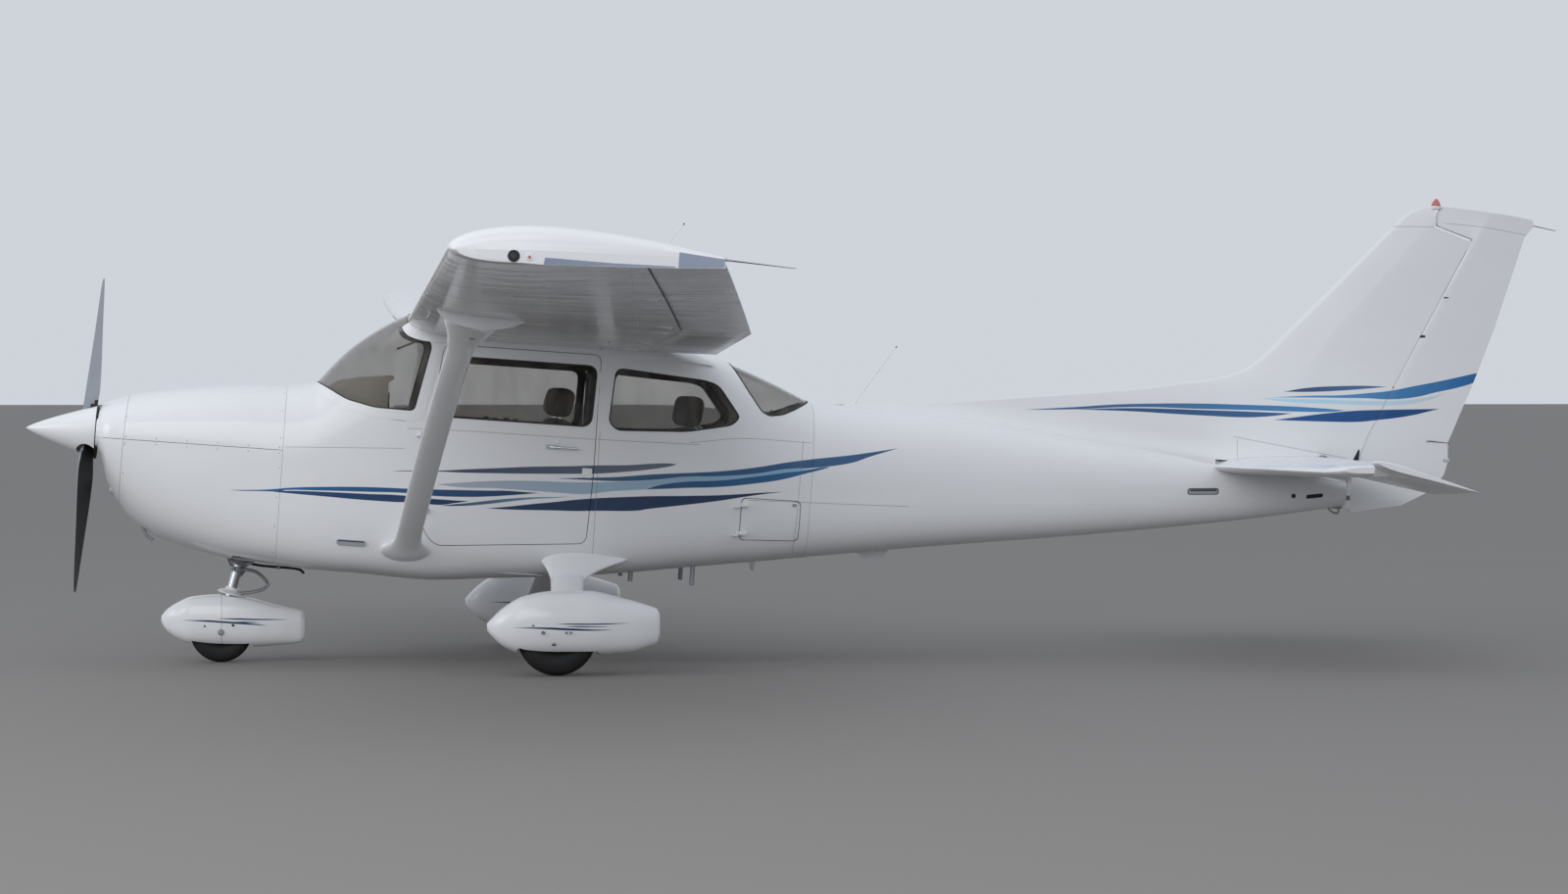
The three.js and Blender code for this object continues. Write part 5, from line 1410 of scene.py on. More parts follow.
def fin():
    foot, top = FIN[0][0], FIN[-1][0]
    at = np.concatenate([
        steps(foot, FIN_FILLET_TOP, 16), steps(FIN_FILLET_TOP, FIN_CAP, 60)[1:], steps(FIN_CAP, top, 8)[1:],
    ])
    blade = loft("fin_skin", [fin_ring(row) for row in rows_at(FIN, at)], AIRFRAME, livery)
    cuts = [
        rudder_room("room", SURFACE_GAP),
        across("horn_cut", FIN_HORN_CUT, -300, 300),
        tailplane_solid("tailplane_block", 0.3),
        tail_block(),
        rod("tube_room", (TAIL_HINGE_X, -300, TAIL_HINGE_Z), (TAIL_HINGE_X, 300, TAIL_HINGE_Z), 48, AIRFRAME),
        box("underside", (4990, -300, 1200), (6000, 300, 1425), AIRFRAME),
        box("behind_tube", (TAIL_HINGE_X, -300, 1200), (6000, 300, 1450), AIRFRAME),
    ]
    combine(blade, "DIFFERENCE", *cuts)
    dress(blade, "airframe", ["fin"])


def rudder():
    rings = []
    for height, chord, half in rows_at(RUDDER, np.arange(-330, 1701, 17.5), (400,)):
        ring = hinged_ring(0, 0, 0, half, chord, 0)
        rings.append(np.stack([ring[:, 0], ring[:, 2], np.full(len(ring), height)], 1))
    skin = loft("rudder_skin", rings, RUDDER_FRAME, livery)
    horn = []
    for height in (1340, 1460, 1580, 1700):
        t = np.linspace(-math.pi / 2, math.pi / 2, 17)
        x = 6 - 326 * np.cos(t) ** 0.7
        horn.append(np.stack([x, 25 * np.sin(t), np.full_like(x, height)], 1))
    combine(skin, "UNION", loft("horn", horn, RUDDER_FRAME, livery))
    combine(skin, "INTERSECT", across("outline", RUDDER_OUTLINE, -300, 300, 12, livery))
    dress(skin, "rudder", ["rudder"])


# Propeller
def propeller():
    root, tip = BLADE[0][0], BLADE[-1][0]
    rows = rows_at(BLADE, np.concatenate([steps(root, BLADE_TIP_R, 24), steps(BLADE_TIP_R, tip, 7)[1:]]))
    share = np.linspace(-0.5, 0.5, 15)
    blades = []
    for turn in (0, 180):
        rings = []
        for radius, chord, thickness, angle in rows:
            camber = smooth(
                np.array([-0.5, -0.42, -0.2, 0.1, 0.5]), np.array([0, 0.55, 1.0, 0.8, 0.0]), share
            )
            ahead = np.concatenate([camber * thickness, np.full(13, -0.1 * thickness)])
            along = -np.concatenate([share, share[-2:0:-1]]) * chord
            a = math.radians(angle)
            x = -along * math.sin(a) - ahead * math.cos(a)
            y = along * math.cos(a) - ahead * math.sin(a)
            rings.append(np.stack([x, y, np.full_like(x, radius)], 1))
        blade = loft("blade", rings, PROPELLER_FRAME @ turned(turn, "X"), prop_grey)
        blade.data.materials.append(black_enamel_and_hole_shade)
        inverse = (PROPELLER_FRAME @ turned(turn, "X")).to_3x3().normalized().inverted()
        for face in blade.data.polygons:
            face.material_index = 1 if (inverse @ face.normal).x > 0.02 else 0
        blades.append(blade)
    hub = spun("hub", [(0, -34), (68, -34), (72, -30), (72, 42), (68, 46), (0, 46)], PROPELLER_FRAME, alloy)
    plate = [(0, 30), (SPINNER_R - 3, 30), (SPINNER_R, 33), (SPINNER_R, 41), (SPINNER_R - 4, 44), (0, 44)]
    parts = [*blades, hub, spun("plate", plate, PROPELLER_FRAME, black_enamel_and_hole_shade, 72)]
    for turn in range(0, 360, 60):
        place = PROPELLER_FRAME @ turned(turn + 30, "X")
        parts.append(rod("bolt", (-52, 0, 46), (-32, 0, 46), 8, place, steel, 6))
    dress(joined("propeller_blades", parts), "propeller", ["propeller"], 40)


def spinner():
    length = SPINNER_BASE_X - SPINNER_TIP_X
    share = np.linspace(0, 1, 40) ** 1.3
    base = SPINNER_BASE_X - DISC_X
    outer = [(SPINNER_R * s, base - length * (1 - s**1.25)) for s in share]
    inner = [((SPINNER_R - 6) * s, base - 6 - (length - 6) * (1 - s**1.25)) for s in share[::-1]]
    shell = spun("spinner_skin", [*outer, *inner], PROPELLER_FRAME, white_paint, 72)
    combine(shell, "DIFFERENCE", rod("hole", (0, 0, -200), (0, 0, 200), 62, PROPELLER_FRAME, sides=40))
    dress(shell, "propeller", ["spinner"])


# Landing gear
def wheel_fairing(name, table, tyre, place, body, stripes, cuts=()):
    """A hollow fairing, open below, with room for its tyre and for what passes through it."""
    seam = [[(60, 4), (380, 4)]] if name == "nose_fairing" else []
    paint = painted(name + "_paint", place, stripes, (), seam)

    def skin(label, inset, trim):
        rings = []
        rows = rows_at(table, steps(table[0][0], table[-1][0], 14))
        for x, bottom, top, half in rows[trim : -trim or None]:
            squeeze = min(inset, half * 0.6, (top - bottom) * 0.3)
            middle = (bottom + top) / 2
            yz = superellipse(half - squeeze, bottom + squeeze, top - squeeze, middle, 2.5, 2.8, 64)
            rings.append(np.c_[np.full(64, x), yz])
        return loft(label, rings, place, paint)

    room = (tyre["radius"] + TYRE_CLEARANCE) * 0.96
    half = tyre["width"] / 2 + TYRE_CLEARANCE
    mouth = box("mouth", (-room, -half, 0), (room, half, tyre["radius"] * 0.9), place, bevel=20)
    made = skin(name + "_skin", 0, 0)
    combine(made, "DIFFERENCE", skin("inside", FAIRING_WALL, 2), mouth, *cuts)
    dress(made, body, [name])


def node_of(label, part):
    """The solid's name of a wheel's tyre or rim."""
    return "nose_" + part if label == "nose_wheel" else label.replace("wheel", part)


def tyre_and_rim(label, size, place, body):
    radius, width, rim = size["radius"], size["width"], size["rim"]
    half = width / 2
    tread = []
    for y in np.linspace(half * TREAD_SHARE, -half * TREAD_SHARE, 61):
        deep = GROOVE_DEPTH if any(abs(y - g * half) < half * 0.045 for g in (0.0, -0.3, 0.3)) else 0
        crown = (abs(y) / half) ** 2.6 * (radius - rim) * 0.35
        tread.append([radius - crown - deep, y])
    wall = []
    for s in np.linspace(0, 1, 12)[1:]:
        bulge = TREAD_SHARE + (1 - TREAD_SHARE) * math.sin(math.pi * (0.12 + 0.8 * s))
        wall.append([tread[0][0] + (rim + 6 - tread[0][0]) * s, half * bulge])
    other_wall = [[r, -y] for r, y in wall]
    profile = [[rim + 0.5, half * 0.6], *wall[::-1], *tread, *other_wall, [rim + 0.5, -half * 0.6]]
    turn = place @ turned(90, "Z")
    made = lathe(label + "_rubber", profile, turn, black_rubber, 96)
    dress(made, body, [node_of(label, "tyre")])
    bead = half * 0.6
    disc = [
        [BORE_R, -half * 0.7], [BORE_R + 13, -half * 0.72], [BORE_R + 16, -half * 0.66], [BORE_R + 18, -12],
        [rim - 18, -14], [rim - 10, -bead + 4], [rim - 4, -bead], [rim, -bead + 2], [rim, bead - 2],
        [rim - 4, bead], [rim - 10, bead - 4], [rim - 18, 14], [BORE_R + 18, 12], [BORE_R + 16, half * 0.66],
        [BORE_R + 13, half * 0.72], [BORE_R, half * 0.7],
    ]
    dress(lathe(label + "_alloy", disc, turn, alloy, 64), body, [node_of(label, "rim")])


def leg_cuff(side):
    """A flare round the leg, round ahead and pointed behind."""
    rings = []
    angle = np.linspace(0, 2 * math.pi, 64, endpoint=False)
    for y, x, z, chord, thickness in rows_at(LEG_CUFF, steps(LEG_CUFF[0][0], LEG_CUFF[-1][0], 10)):
        pointed = max(0, chord - 186) * 0.45
        c = np.cos(angle)
        along = np.where(c > 0, (chord / 2 + pointed) * c, (chord / 2 - pointed * 0.3) * c)
        height = thickness / 2 * np.sin(angle) * (1 - 0.45 * np.clip(c, 0, 1) ** 2 * min(1, pointed / 60))
        rings.append(np.stack([x + along, np.full(64, y), z + height], 1))
    return loft("cuff", mirrored(rings, side), GROUND, white_paint)


def main_leg(label, side):
    leg = ellipse_loft("leg", MAIN_LEG, side, GROUND, white_paint)
    cuff = leg_cuff(side)
    z = MAIN_TYRE["radius"]
    start = (MAIN_X, side * FLANGE_Y, z)
    flange = rod("flange", start, (MAIN_X, side * (FLANGE_Y + FLANGE_DEEP), z), FLANGE_R, GROUND, steel, 40)
    axle = rod("axle", start, (MAIN_X, side * (MAIN_Y + AXLE_OUT), z), AXLE_R, GROUND, steel, 32)
    for part in (leg, cuff):
        combine(part, "DIFFERENCE", cabin_block())
    name = "main_leg_" + label
    fitted(name + "_skin", [leg, cuff, flange, axle], replaces=[name])


def main_gear():
    for label, side in SIDES:
        main_leg(label, side)
        place = GROUND @ Matrix.Translation((MAIN_X, side * MAIN_Y, 0))
        z = MAIN_TYRE["radius"]
        start = (MAIN_X, side * FLANGE_Y, z)
        flange_end = (MAIN_X, side * (FLANGE_Y + FLANGE_DEEP + 2), z)
        room = [
            ellipse_loft("room", MAIN_LEG, side, GROUND, None, grow=2),
            rod("room", start, (MAIN_X, side * (MAIN_Y + AXLE_OUT + 1), z), AXLE_R + 0.5, GROUND),
            rod("room", start, flange_end, FLANGE_R + 1, GROUND, sides=40),
        ]
        stripes = MAIN_FAIRING_STRIPES
        wheel_fairing("wheel_fairing_" + label, MAIN_FAIRING, MAIN_TYRE, place, "airframe", stripes, room)
        axle = place @ Matrix.Translation((0, 0, MAIN_TYRE["radius"]))
        tyre_and_rim("wheel_" + label, MAIN_TYRE, axle, "wheel_" + label)


def nose_gear():
    """Oleo barrel and its brackets, then what steers with the wheel: piston, links, fork and axle."""
    profile = [
        (0, 150), (46, 150), (46, 160), (40, 162), (40, 170), (48, 172), (48, 186), (BARREL_R, 190),
        (BARREL_R, 640), (0, 640),
    ]
    barrel = [spun("barrel", profile, OLEO_FRAME @ turned(-90, "Y"), steel, 40)]
    for side in (-1, 1):
        barrel.append(rod("lug", (-52, side * 34, 168), (52, side * 34, 168), 9, OLEO_FRAME, steel, 12))
        path = [(40, side * 40, 176), (70, side * 70, 190), (76, side * 110, 240)]
        barrel.append(tube("steering_rod", path, 7, OLEO_FRAME, steel))
    room = rod("room", (0, 0, 140), (0, 0, 450), PISTON_R + 0.6, OLEO_FRAME, sides=40)
    combine(barrel[0], "DIFFERENCE", room)
    for z in (620, 900):
        barrel.append(box("bracket", (-215, -30, z), (FIREWALL_X - 0.3, 30, z + 40), AIRFRAME, steel, 5))
    fitted("nose_oleo_barrel", barrel, replaces=["nose_oleo"])

    boot = [(0, -14), (74, -14), (76, -8), (60, 2), (40, 10), (36, 24), (0, 24)]
    boot_place = OLEO_FRAME @ Matrix.Translation((4, 0, 4)) @ turned(-90, "Y")
    fork = [
        rod("piston", (0, 0, -30), (0, 0, 420), PISTON_R, OLEO_FRAME, chrome, 40),
        spun("boot", boot, boot_place, white_paint, 40),
        rod("collar", (0, 0, 112), (0, 0, 142), 36, OLEO_FRAME, steel, 32),
        rod("collar_bolt", (-20, -46, 127), (-20, 46, 127), 7, OLEO_FRAME, steel, 12),
    ]
    knee_x, knee_z = 250, 412
    for side in (-1, 1):
        knee = (knee_x, side * 14, knee_z)
        upper = [(112, side * 20, 494), (168, side * 22, 486), (222, side * 20, 452), knee]
        fork.append(tube("upper_link", upper, 8, GROUND, steel))
        lower = [knee, (214, side * 22, 384), (160, side * 24, 372), (96, side * 24, 366)]
        fork.append(tube("lower_link", lower, 8, GROUND, steel))
    fork.append(rod("knee_bolt", (knee_x, -26, knee_z), (knee_x, 26, knee_z), 11, GROUND, steel, 16))
    crown_low = 2 * NOSE_TYRE["radius"] + 4
    fork.append(box("crown", (-8, -46, crown_low), (56, 46, crown_low + 9), GROUND, steel, 3))
    half = NOSE_TYRE["width"] / 2 + 12
    for side in (-1, 1):
        rings = []
        rows = ((137, 0, 20, half), (277, 14, 26, half - 2), (crown_low + 7, 24, 30, 32))
        corners = ((-1, 0), (1, 0), (1, 11), (-1, 11))
        for z, x, chord, y in rows:
            rings.append([(x + a * chord, side * (y + b), z) for a, b in corners])
        leg = loft("leg", rings, GROUND, steel)
        soften(leg, 3)
        fork.append(leg)
    z = NOSE_TYRE["radius"]
    fork.append(rod("axle", (0, -114, z), (0, 114, z), AXLE_R, GROUND, steel, 32))
    fitted("nose_fork_legs", fork, "nose_steering", ["nose_fork"])
    room = [
        rod("room", (32, 0, 312), (72, 0, 452), 42, GROUND, sides=40),
        rod("room", (0, -200, z), (0, 200, z), AXLE_R + 0.5, GROUND, sides=32),
        box("room", (-9, -47, crown_low - 1), (57, 47, crown_low + 10), GROUND),
    ]
    stripes = NOSE_FAIRING_STRIPES
    wheel_fairing("nose_fairing", NOSE_FAIRING, NOSE_TYRE, GROUND, "nose_steering", stripes, room)
    axle = GROUND @ Matrix.Translation((0, 0, z))
    tyre_and_rim("nose_wheel", NOSE_TYRE, axle, "nose_wheel")


# Rows of rivets, screws and cooling fins
def rows_of(name, part, shape):
    """Geometry nodes: a shape at even places along each line, turned to the line's outward way."""
    tree = bpy.data.node_groups.new(name, "GeometryNodeTree")
    face = tree.interface
    face.new_socket("Lines", in_out="INPUT", socket_type="NodeSocketGeometry")
    for size in ("Spacing", "Radius", "Height"):
        face.new_socket(size, in_out="INPUT", socket_type="NodeSocketFloat")
    face.new_socket("Finish", in_out="INPUT", socket_type="NodeSocketMaterial")
    face.new_socket(part, in_out="OUTPUT", socket_type="NodeSocketGeometry")
    given = add(tree, "NodeGroupInput").outputs
    lines = add(tree, "GeometryNodeMeshToCurve", {"Mesh": given["Lines"]}).outputs[0]
    even = add(tree, "GeometryNodeResampleCurve", {"Curve": lines, "Length": given["Spacing"]}, mode="LENGTH")
    out = add(tree, "GeometryNodeInputNamedAttribute", {"Name": "out"}, data_type="FLOAT_VECTOR").outputs[0]
    turn = add(tree, "FunctionNodeAlignRotationToVector", {"Vector": out}, axis="Z").outputs[0]
    links = {"Points": even.outputs[0], "Instance": shape(tree, given), "Rotation": turn}
    placed = add(tree, "GeometryNodeInstanceOnPoints", links).outputs[0]
    real = add(tree, "GeometryNodeRealizeInstances", {0: placed}).outputs[0]
    done = add(tree, "GeometryNodeSetMaterial", {"Geometry": real, "Material": given["Finish"]}).outputs[0]
    add(tree, "NodeGroupOutput", {part: done})
    return tree


def low_head(tree, given):
    top = calc(tree, "MULTIPLY", given["Radius"], 0.55)
    sizes = {"Vertices": 8, "Radius Top": top, "Radius Bottom": given["Radius"], "Depth": given["Height"]}
    return add(tree, "GeometryNodeMeshCone", sizes).outputs["Mesh"]


def thin_disc(tree, given):
    sizes = {"Vertices": 28, "Radius": given["Radius"], "Depth": given["Height"]}
    return add(tree, "GeometryNodeMeshCylinder", sizes).outputs["Mesh"]


HEAD_ROWS = rows_of("head_rows", "Heads", low_head)
FIN_STACK = rows_of("fin_stack", "Fins", thin_disc)


def shapes_on_lines(name, tree, runs, spacing, radius, height, finish):
    """One mesh of small shapes along runs of places with their outward ways. Sizes in millimetres."""
    points = []
    ways = []
    edges = []
    for run in runs:
        start = len(points)
        points += [place for place, _ in run]
        ways += [way for _, way in run]
        edges += [(start + i, start + i + 1) for i in range(len(run) - 1)]
    mesh = bpy.data.meshes.new(name)
    mesh.from_pydata(points, edges, [])
    attribute = mesh.attributes.new("out", "FLOAT_VECTOR", "POINT")
    attribute.data.foreach_set("vector", np.array(ways, dtype=float).ravel())
    obj = linked(name, mesh)
    modifier = obj.modifiers.new("rows", "NODES")
    modifier.node_group = tree
    values = {"Spacing": spacing * 0.001, "Radius": radius * 0.001, "Height": height * 0.001}
    values["Finish"] = finish
    for item in tree.interface.items_tree:
        if item.name in values:
            modifier[item.identifier] = values[item.name]
    return settle(obj)


def skin_of(*objects):
    """The nearest place on some skins, and the way out of them, for points in metres."""
    points = []
    faces = []
    for obj in objects:
        start = len(points)
        points += [vertex.co.copy() for vertex in obj.data.vertices]
        faces += [[start + i for i in face.vertices] for face in obj.data.polygons]
    return BVHTree.FromPolygons(points, faces)


# The skin is open where it lies further than this from a line, in metres
REACH_OF_SKIN = 0.012


def head_line(skin, points):
    """The line laid on a skin: runs of places with their outward way, broken where the skin is open."""
    points = np.array(points, float)
    length = np.concatenate([[0], np.cumsum(np.linalg.norm(np.diff(points, axis=0), axis=1))])
    at = np.linspace(0, length[-1], max(2, int(length[-1] / 14)))
    fine = np.stack([np.interp(at, length, points[:, k]) for k in range(3)], 1)
    runs = [[]]
    for point in fine:
        place, normal, _, distance = skin.find_nearest(AIRFRAME @ Vector(point))
        if distance < REACH_OF_SKIN:
            runs[-1].append((place, normal))
        elif runs[-1]:
            runs.append([])
    return [run for run in runs if len(run) > 2]


def heads(name, body, skin, lines, spacing, radius, height, finish):
    """One mesh of heads on a skin along the lines."""
    runs = [run for line in lines for run in head_line(skin, line)]
    made = shapes_on_lines(name, HEAD_ROWS, runs, spacing, radius, height, finish)
    dress(made, body, angle=50)


def hoop(x):
    """Points round the fuselage at a station."""
    row = rows_at(FUSELAGE, [x], (WINDSHIELD_FOOT_X,))[0]
    return [(x, y, z) for y, z in superellipse(*row[1:], 240)]


def side_line(rows, side):
    """Points on the side of the fuselage through rows of x and z."""
    points = []
    for x in np.linspace(rows[0][0], rows[-1][0], 60):
        z = np.interp(x, [row[0] for row in rows], [row[1] for row in rows])
        row = rows_at(FUSELAGE, [x], (WINDSHIELD_FOOT_X,))[0]
        up = z > row[4]
        height = (row[3] - row[4]) if up else (row[4] - row[2])
        power = row[5] if up else row[6]
        share = min(1, abs(z - row[4]) / height)
        points.append((x, side * row[1] * (1 - share**power) ** (1 / power), z))
    return points


# Stations of the riveted frames
HOOPS = (
    20, 1576, 1596, 2150, 2690, 2725, 2756, 3105, 3120, 3470, 3870, 4290, 4300, 4700, 5106, 5124, 5450, 5720,
)


def rivets(skins):
    body_skin = skin_of(skins["cabin_skin"], skins["tail_cone_skin"])
    lines = []
    for x in HOOPS:
        lines.append(hoop(x))
    for side in (-1, 1):
        lines.append(side_line([(110, 1130), (560, 1190)], side))
        lines.append(side_line([(1605, 1294), (2116, 1303), (2730, 1352), (3418, 1358), (5100, 1330)], side))
        lines.append(side_line([(1605, 1316), (2060, 1330), (2440, 1378), (2730, 1376), (3418, 1380)], side))
        lines.append(side_line([(1605, 860), (2350, 905)], side))
        lines.append(side_line([(2396, 1048), (3283, 1069), (5100, 1195)], side))
        lines.append(side_line([(100, 700), (640, 700)], side))
        lines.append(side_line([(1600, 700), (2700, 812), (3468, 925), (4288, 1045), (5115, 1165)], side))
    heads("fuselage_rivets", "airframe", body_skin, lines, 30, 3.4, 1.1, livery)

    cowl_skin = skin_of(skins["cowl_upper_skin"], skins["cowl_lower_skin"])
    lines = [hoop(FIREWALL_X - 16), hoop(-894)]
    for side in (-1, 1):
        for z in (COWL_SPLIT_Z + 16, COWL_SPLIT_Z - 16):
            lines.append(side_line([(-890, z), (-90, z)], side))
    heads("cowl_screws", "airframe", cowl_skin, lines, 150, 4.6, 0.9, alloy)

    for label, side in SIDES:
        wing_skin = skin_of(skins["wing_%s_skin" % label])
        for up, part, paint in ((-1, "under", under_paint), (1, "top", wing_paint)):
            lines = []
            for y in np.arange(700, 5290, 382.5) if up > 0 else (5305,):
                row = wing_rows([y])[0]
                lines.append(wing_points(row, np.linspace(0.03, 0.72, 30), up) * [1, side, 1])
            for share in (0.1, 0.27, 0.31, 0.5, 0.66) if up > 0 else (0.29, 0.66):
                line = [wing_place(y, share, up) for y in np.arange(600, TIP_Y, 235)]
                lines.append(np.array(line) * [1, side, 1])
            heads("wing_rivets_%s_%s" % (part, label), "airframe", wing_skin, lines, 38, 3.2, 0.9, paint)

    tail_skin = skin_of(skins["tailplane_skin"], skins["fin_skin"])
    lines = []
    for y in (265, 600, 935, 1270, 1590):
        ring = tailplane_ring(rows_at(TAILPLANE, [y], (HORN_Y,))[0])
        lines += [ring * [1, side, 1] for side in (-1, 1)]
    for side in (-1, 1):
        for share in (0.3, 0.75):
            rows = rows_at(TAILPLANE, np.linspace(150, 1590, 30), (HORN_Y,))
            for up in (-1, 1):
                line = []
                for y, x, z, half in rows:
                    along, rise = share * (TAIL_HINGE_X - x), share * (TAIL_HINGE_Z - z)
                    line.append((x + along, side * y, z + rise + up * half * 1.18))
                lines.append(line)
        for z in (1760, 2000, 2250, 2500, 2760):
            ring = fin_ring(rows_at(FIN, [z])[0])
            lines.append([point for point in ring if point[1] * side > 0])
        for share in (0.35, 0.8):
            line = []
            for row in rows_at(FIN, np.linspace(1700, 2760, 30)):
                ring = fin_ring(row)
                first, last = max(row[1], 5180), min(row[3], 5780 + (row[0] - 1450) * 0.47)
                x = first + share * (last - first)
                near = ring[np.argmin(abs(ring[:, 0] - x) + 1000 * (ring[:, 1] * side < 0))]
                line.append(near)
            lines.append(line)
    heads("tail_rivets", "airframe", tail_skin, lines, 32, 3.2, 1.0, livery)

    for label, side in SIDES:
        door_skin = skin_of(skins["door_%s_leaf" % label])
        lines = [
            side_line([(730, 1296), (1545, 1296)], side),
            side_line([(700, 1316), (1545, 1318)], side),
            side_line([(720, 800), (1535, 800)], side),
        ]
        heads("door_rivets_" + label, "door_" + label, door_skin, lines, 30, 3.4, 1.1, livery)


# Small parts let into or laid on the fuselage's skin
def patch(name, outline, side, proud, depth, material, rounding=0, hole=None, hole_rounding=None):
    """A plate on the skin inside an outline of x and z: proud of the skin, and as deep below it."""
    low = max(FUSELAGE[0][0], min(x for x, z in outline) - 12)
    high = min(TAIL_END_X, max(x for x, z in outline) + 12)
    made = fuselage(name, low, high, -proud, 20, material, 160)
    combine(made, "DIFFERENCE", fuselage("inside", low - 1, high + 1, depth, 20, count=160))
    combine(made, "INTERSECT", across("cut", outline, *REACH[side], rounding, material))
    if hole is not None:
        edge = rounding if hole_rounding is None else hole_rounding
        combine(made, "DIFFERENCE", across("cut", hole, *REACH[side], edge, material))
    return made


def oblong(x0, x1, z0, z1, slope=0.0):
    """Corners of a plate between x0 and x1 that rises by slope towards the rear."""
    rise = (x1 - x0) * slope
    return [(x0, z0), (x1, z0 + rise), (x1, z1 + rise), (x0, z1)]


def window_trim():
    """Rubber seals round the panes, and the screwed strip that holds the windshield."""
    wide = 7
    for _, name, outline, side, corner, body in PANES:
        outer, inner = drawn_in(outline, 0.6), drawn_in(outline, wide)
        seal = patch(name, outer, side, 0.8, 12, seal_rubber_and_gap_shade, corner, inner, max(4, corner - wide))
        dress(seal, body)
    # linings round the door and rear side windows: dark brown painted shade of the reveals
    for name, outline, hole, side, body in (
        ("door_trim_left", DOOR_WINDOW, DOOR_TRIM_HOLE, -1, "door_left"),
        ("door_trim_right", DOOR_WINDOW, DOOR_TRIM_HOLE, 1, "door_right"),
        ("rear_side_trim_left", REAR_SIDE_WINDOW, REAR_TRIM_HOLE, -1, "airframe"),
        ("rear_side_trim_right", REAR_SIDE_WINDOW, REAR_TRIM_HOLE, 1, "airframe"),
    ):
        lining = patch(name, drawn_in(outline, -12), side, -14, 22, lining_brown_shade, 60, hole, 46)
        dress(lining, body)
    frames = [("windshield_strip", WINDSHIELD, 0, 52, 1.5, 64, WINDSHIELD_CORNER, "airframe")]
    for label, side in SIDES:
        name = "door_window_frame_" + label
        frames.append((name, DOOR_WINDOW, side, 17, 1.4, 74, DOOR_WINDOW_CORNER, "door_" + label))
        name = "rear_side_frame_" + label
        frames.append((name, REAR_SIDE_WINDOW, side, 12, 1.2, 60, REAR_SIDE_CORNER, "airframe"))
    for name, outline, side, width, proud, outer_corner, corner, body in frames:
        rim = drawn_in(outline, -width)
        strip = patch(name, rim, side, proud, -0.2, white_paint, outer_corner, outline, corner)
        dress(strip, body)


def root_fairings():
    """Sheet fairings that close the gap between the cabin and the wing root."""
    outline = [
        [497, 1960], [500, 1846], [513, 1808], [540, 1781], [596, 1764], [650, 1758], [1600, 1757],
        [2000, 1748], [2160, 1736], [2240, 1742], [2262, 1790], [2262, 1960],
    ]
    for label, side in SIDES:
        plate = patch("root_fairing_" + label, outline, side, 9, 2, white_paint, 30)
        near, far = sorted((side * 425, side * BEYOND))
        combine(plate, "INTERSECT", box("side", (480, near, 1500), (2300, far, 2300), AIRFRAME))
        soften(plate, 6, 3)
        dress(plate, "airframe")


def hinges():
    """Outside hinges: a foot with its pin on the body, a knuckle with its arm on the door."""
    sets = (
        ("door_left", -1, 640, 549, 528, ((865, 682, 708), (1265, 694, 720))),
        ("door_right", 1, 640, 549, 528, ((865, 682, 708), (1265, 694, 720))),
        ("baggage_door", -1, 2352, 470, 428, ((850, 2376, 2400), (1000, 2376, 2400))),
    )
    for body, side, x, y, skin_y, rows in sets:
        feet = []
        arms = []
        for z, join_x, end_x in rows:
            near, far = sorted((side * skin_y, side * (y + 8)))
            feet.append(box("foot", (x - 27, near, z - 7), (x + 7, far, z - 0.3), AIRFRAME, white_paint, 3))
            start, end = (x, side * y, z - 4), (x, side * y, z + 21.5)
            feet.append(rod("pin", start, end, 3.9, AIRFRAME, steel, 12))
            low, high = z + 0.4, z + 20
            near, far = sorted((side * (y - 6.5), side * (y + 6.5)))
            arm = box("arm", (x, near, low), (end_x, far, high), AIRFRAME, white_paint, 3)
            knuckle = rod("knuckle", (x, side * y, low), (x, side * y, high), 8.8, AIRFRAME, white_paint, 24)
            deep, out = sorted((side * (skin_y - 2), side * (y + 6.5)))
            block = box("block", (join_x, deep, low), (end_x, out, high), AIRFRAME, white_paint, 3)
            combine(arm, "UNION", knuckle, block)
            start, end = (x, side * y, z - 8), (x, side * y, z + 30)
            combine(arm, "DIFFERENCE", rod("bore", start, end, 4.3, AIRFRAME))
            arms.append(arm)
        fitted(body + "_hinge_feet", feet)
        dress(joined(body + "_hinge_arms", arms), body)


def door_fittings():
    """Handles and locks of the doors, and the air scoops ahead of them."""
    for label, side in SIDES:
        y = side * 536
        near, far = sorted((y + side * 9, y + side * 16))
        parts = [
            patch("plate", oblong(1300, 1372, 1236, 1262), side, 2, 2, alloy, 10),
            rod("spindle", (1336, y - side * 4, 1249), (1336, y + side * 15, 1249), 9, AIRFRAME, chrome, 24),
            box("lever", (1322, near, 1242), (1470, far, 1256), AIRFRAME, chrome, 3),
            rod("lock", (1356, y - side * 3, 1279), (1356, y + side * 3, 1279), 9, AIRFRAME, chrome, 24),
            patch("catch", oblong(1500, 1552, 1100, 1150), side, 1.2, 1, white_paint, 6),
        ]
        dress(joined("door_handle_" + label, parts), "door_" + label)
        # the scoop's grey is its white paint in painted shade, and its throat a black patch of painted shade
        mouth = oblong(248, 384, 682, 688)
        parts = [
            patch("scoop", oblong(240, 392, 664, 692), side, 9, 1, recess_grey, 13, mouth, 3),
            patch("throat", oblong(246, 386, 680, 690), side, 4, 1, black_enamel_and_hole_shade, 4),
        ]
        fitted("air_vent_" + label, parts)
    lock = patch("baggage_lock", oblong(2642, 2666, 1018, 1034), -1, 3, 2, chrome, 7)
    dress(lock, "baggage_door")


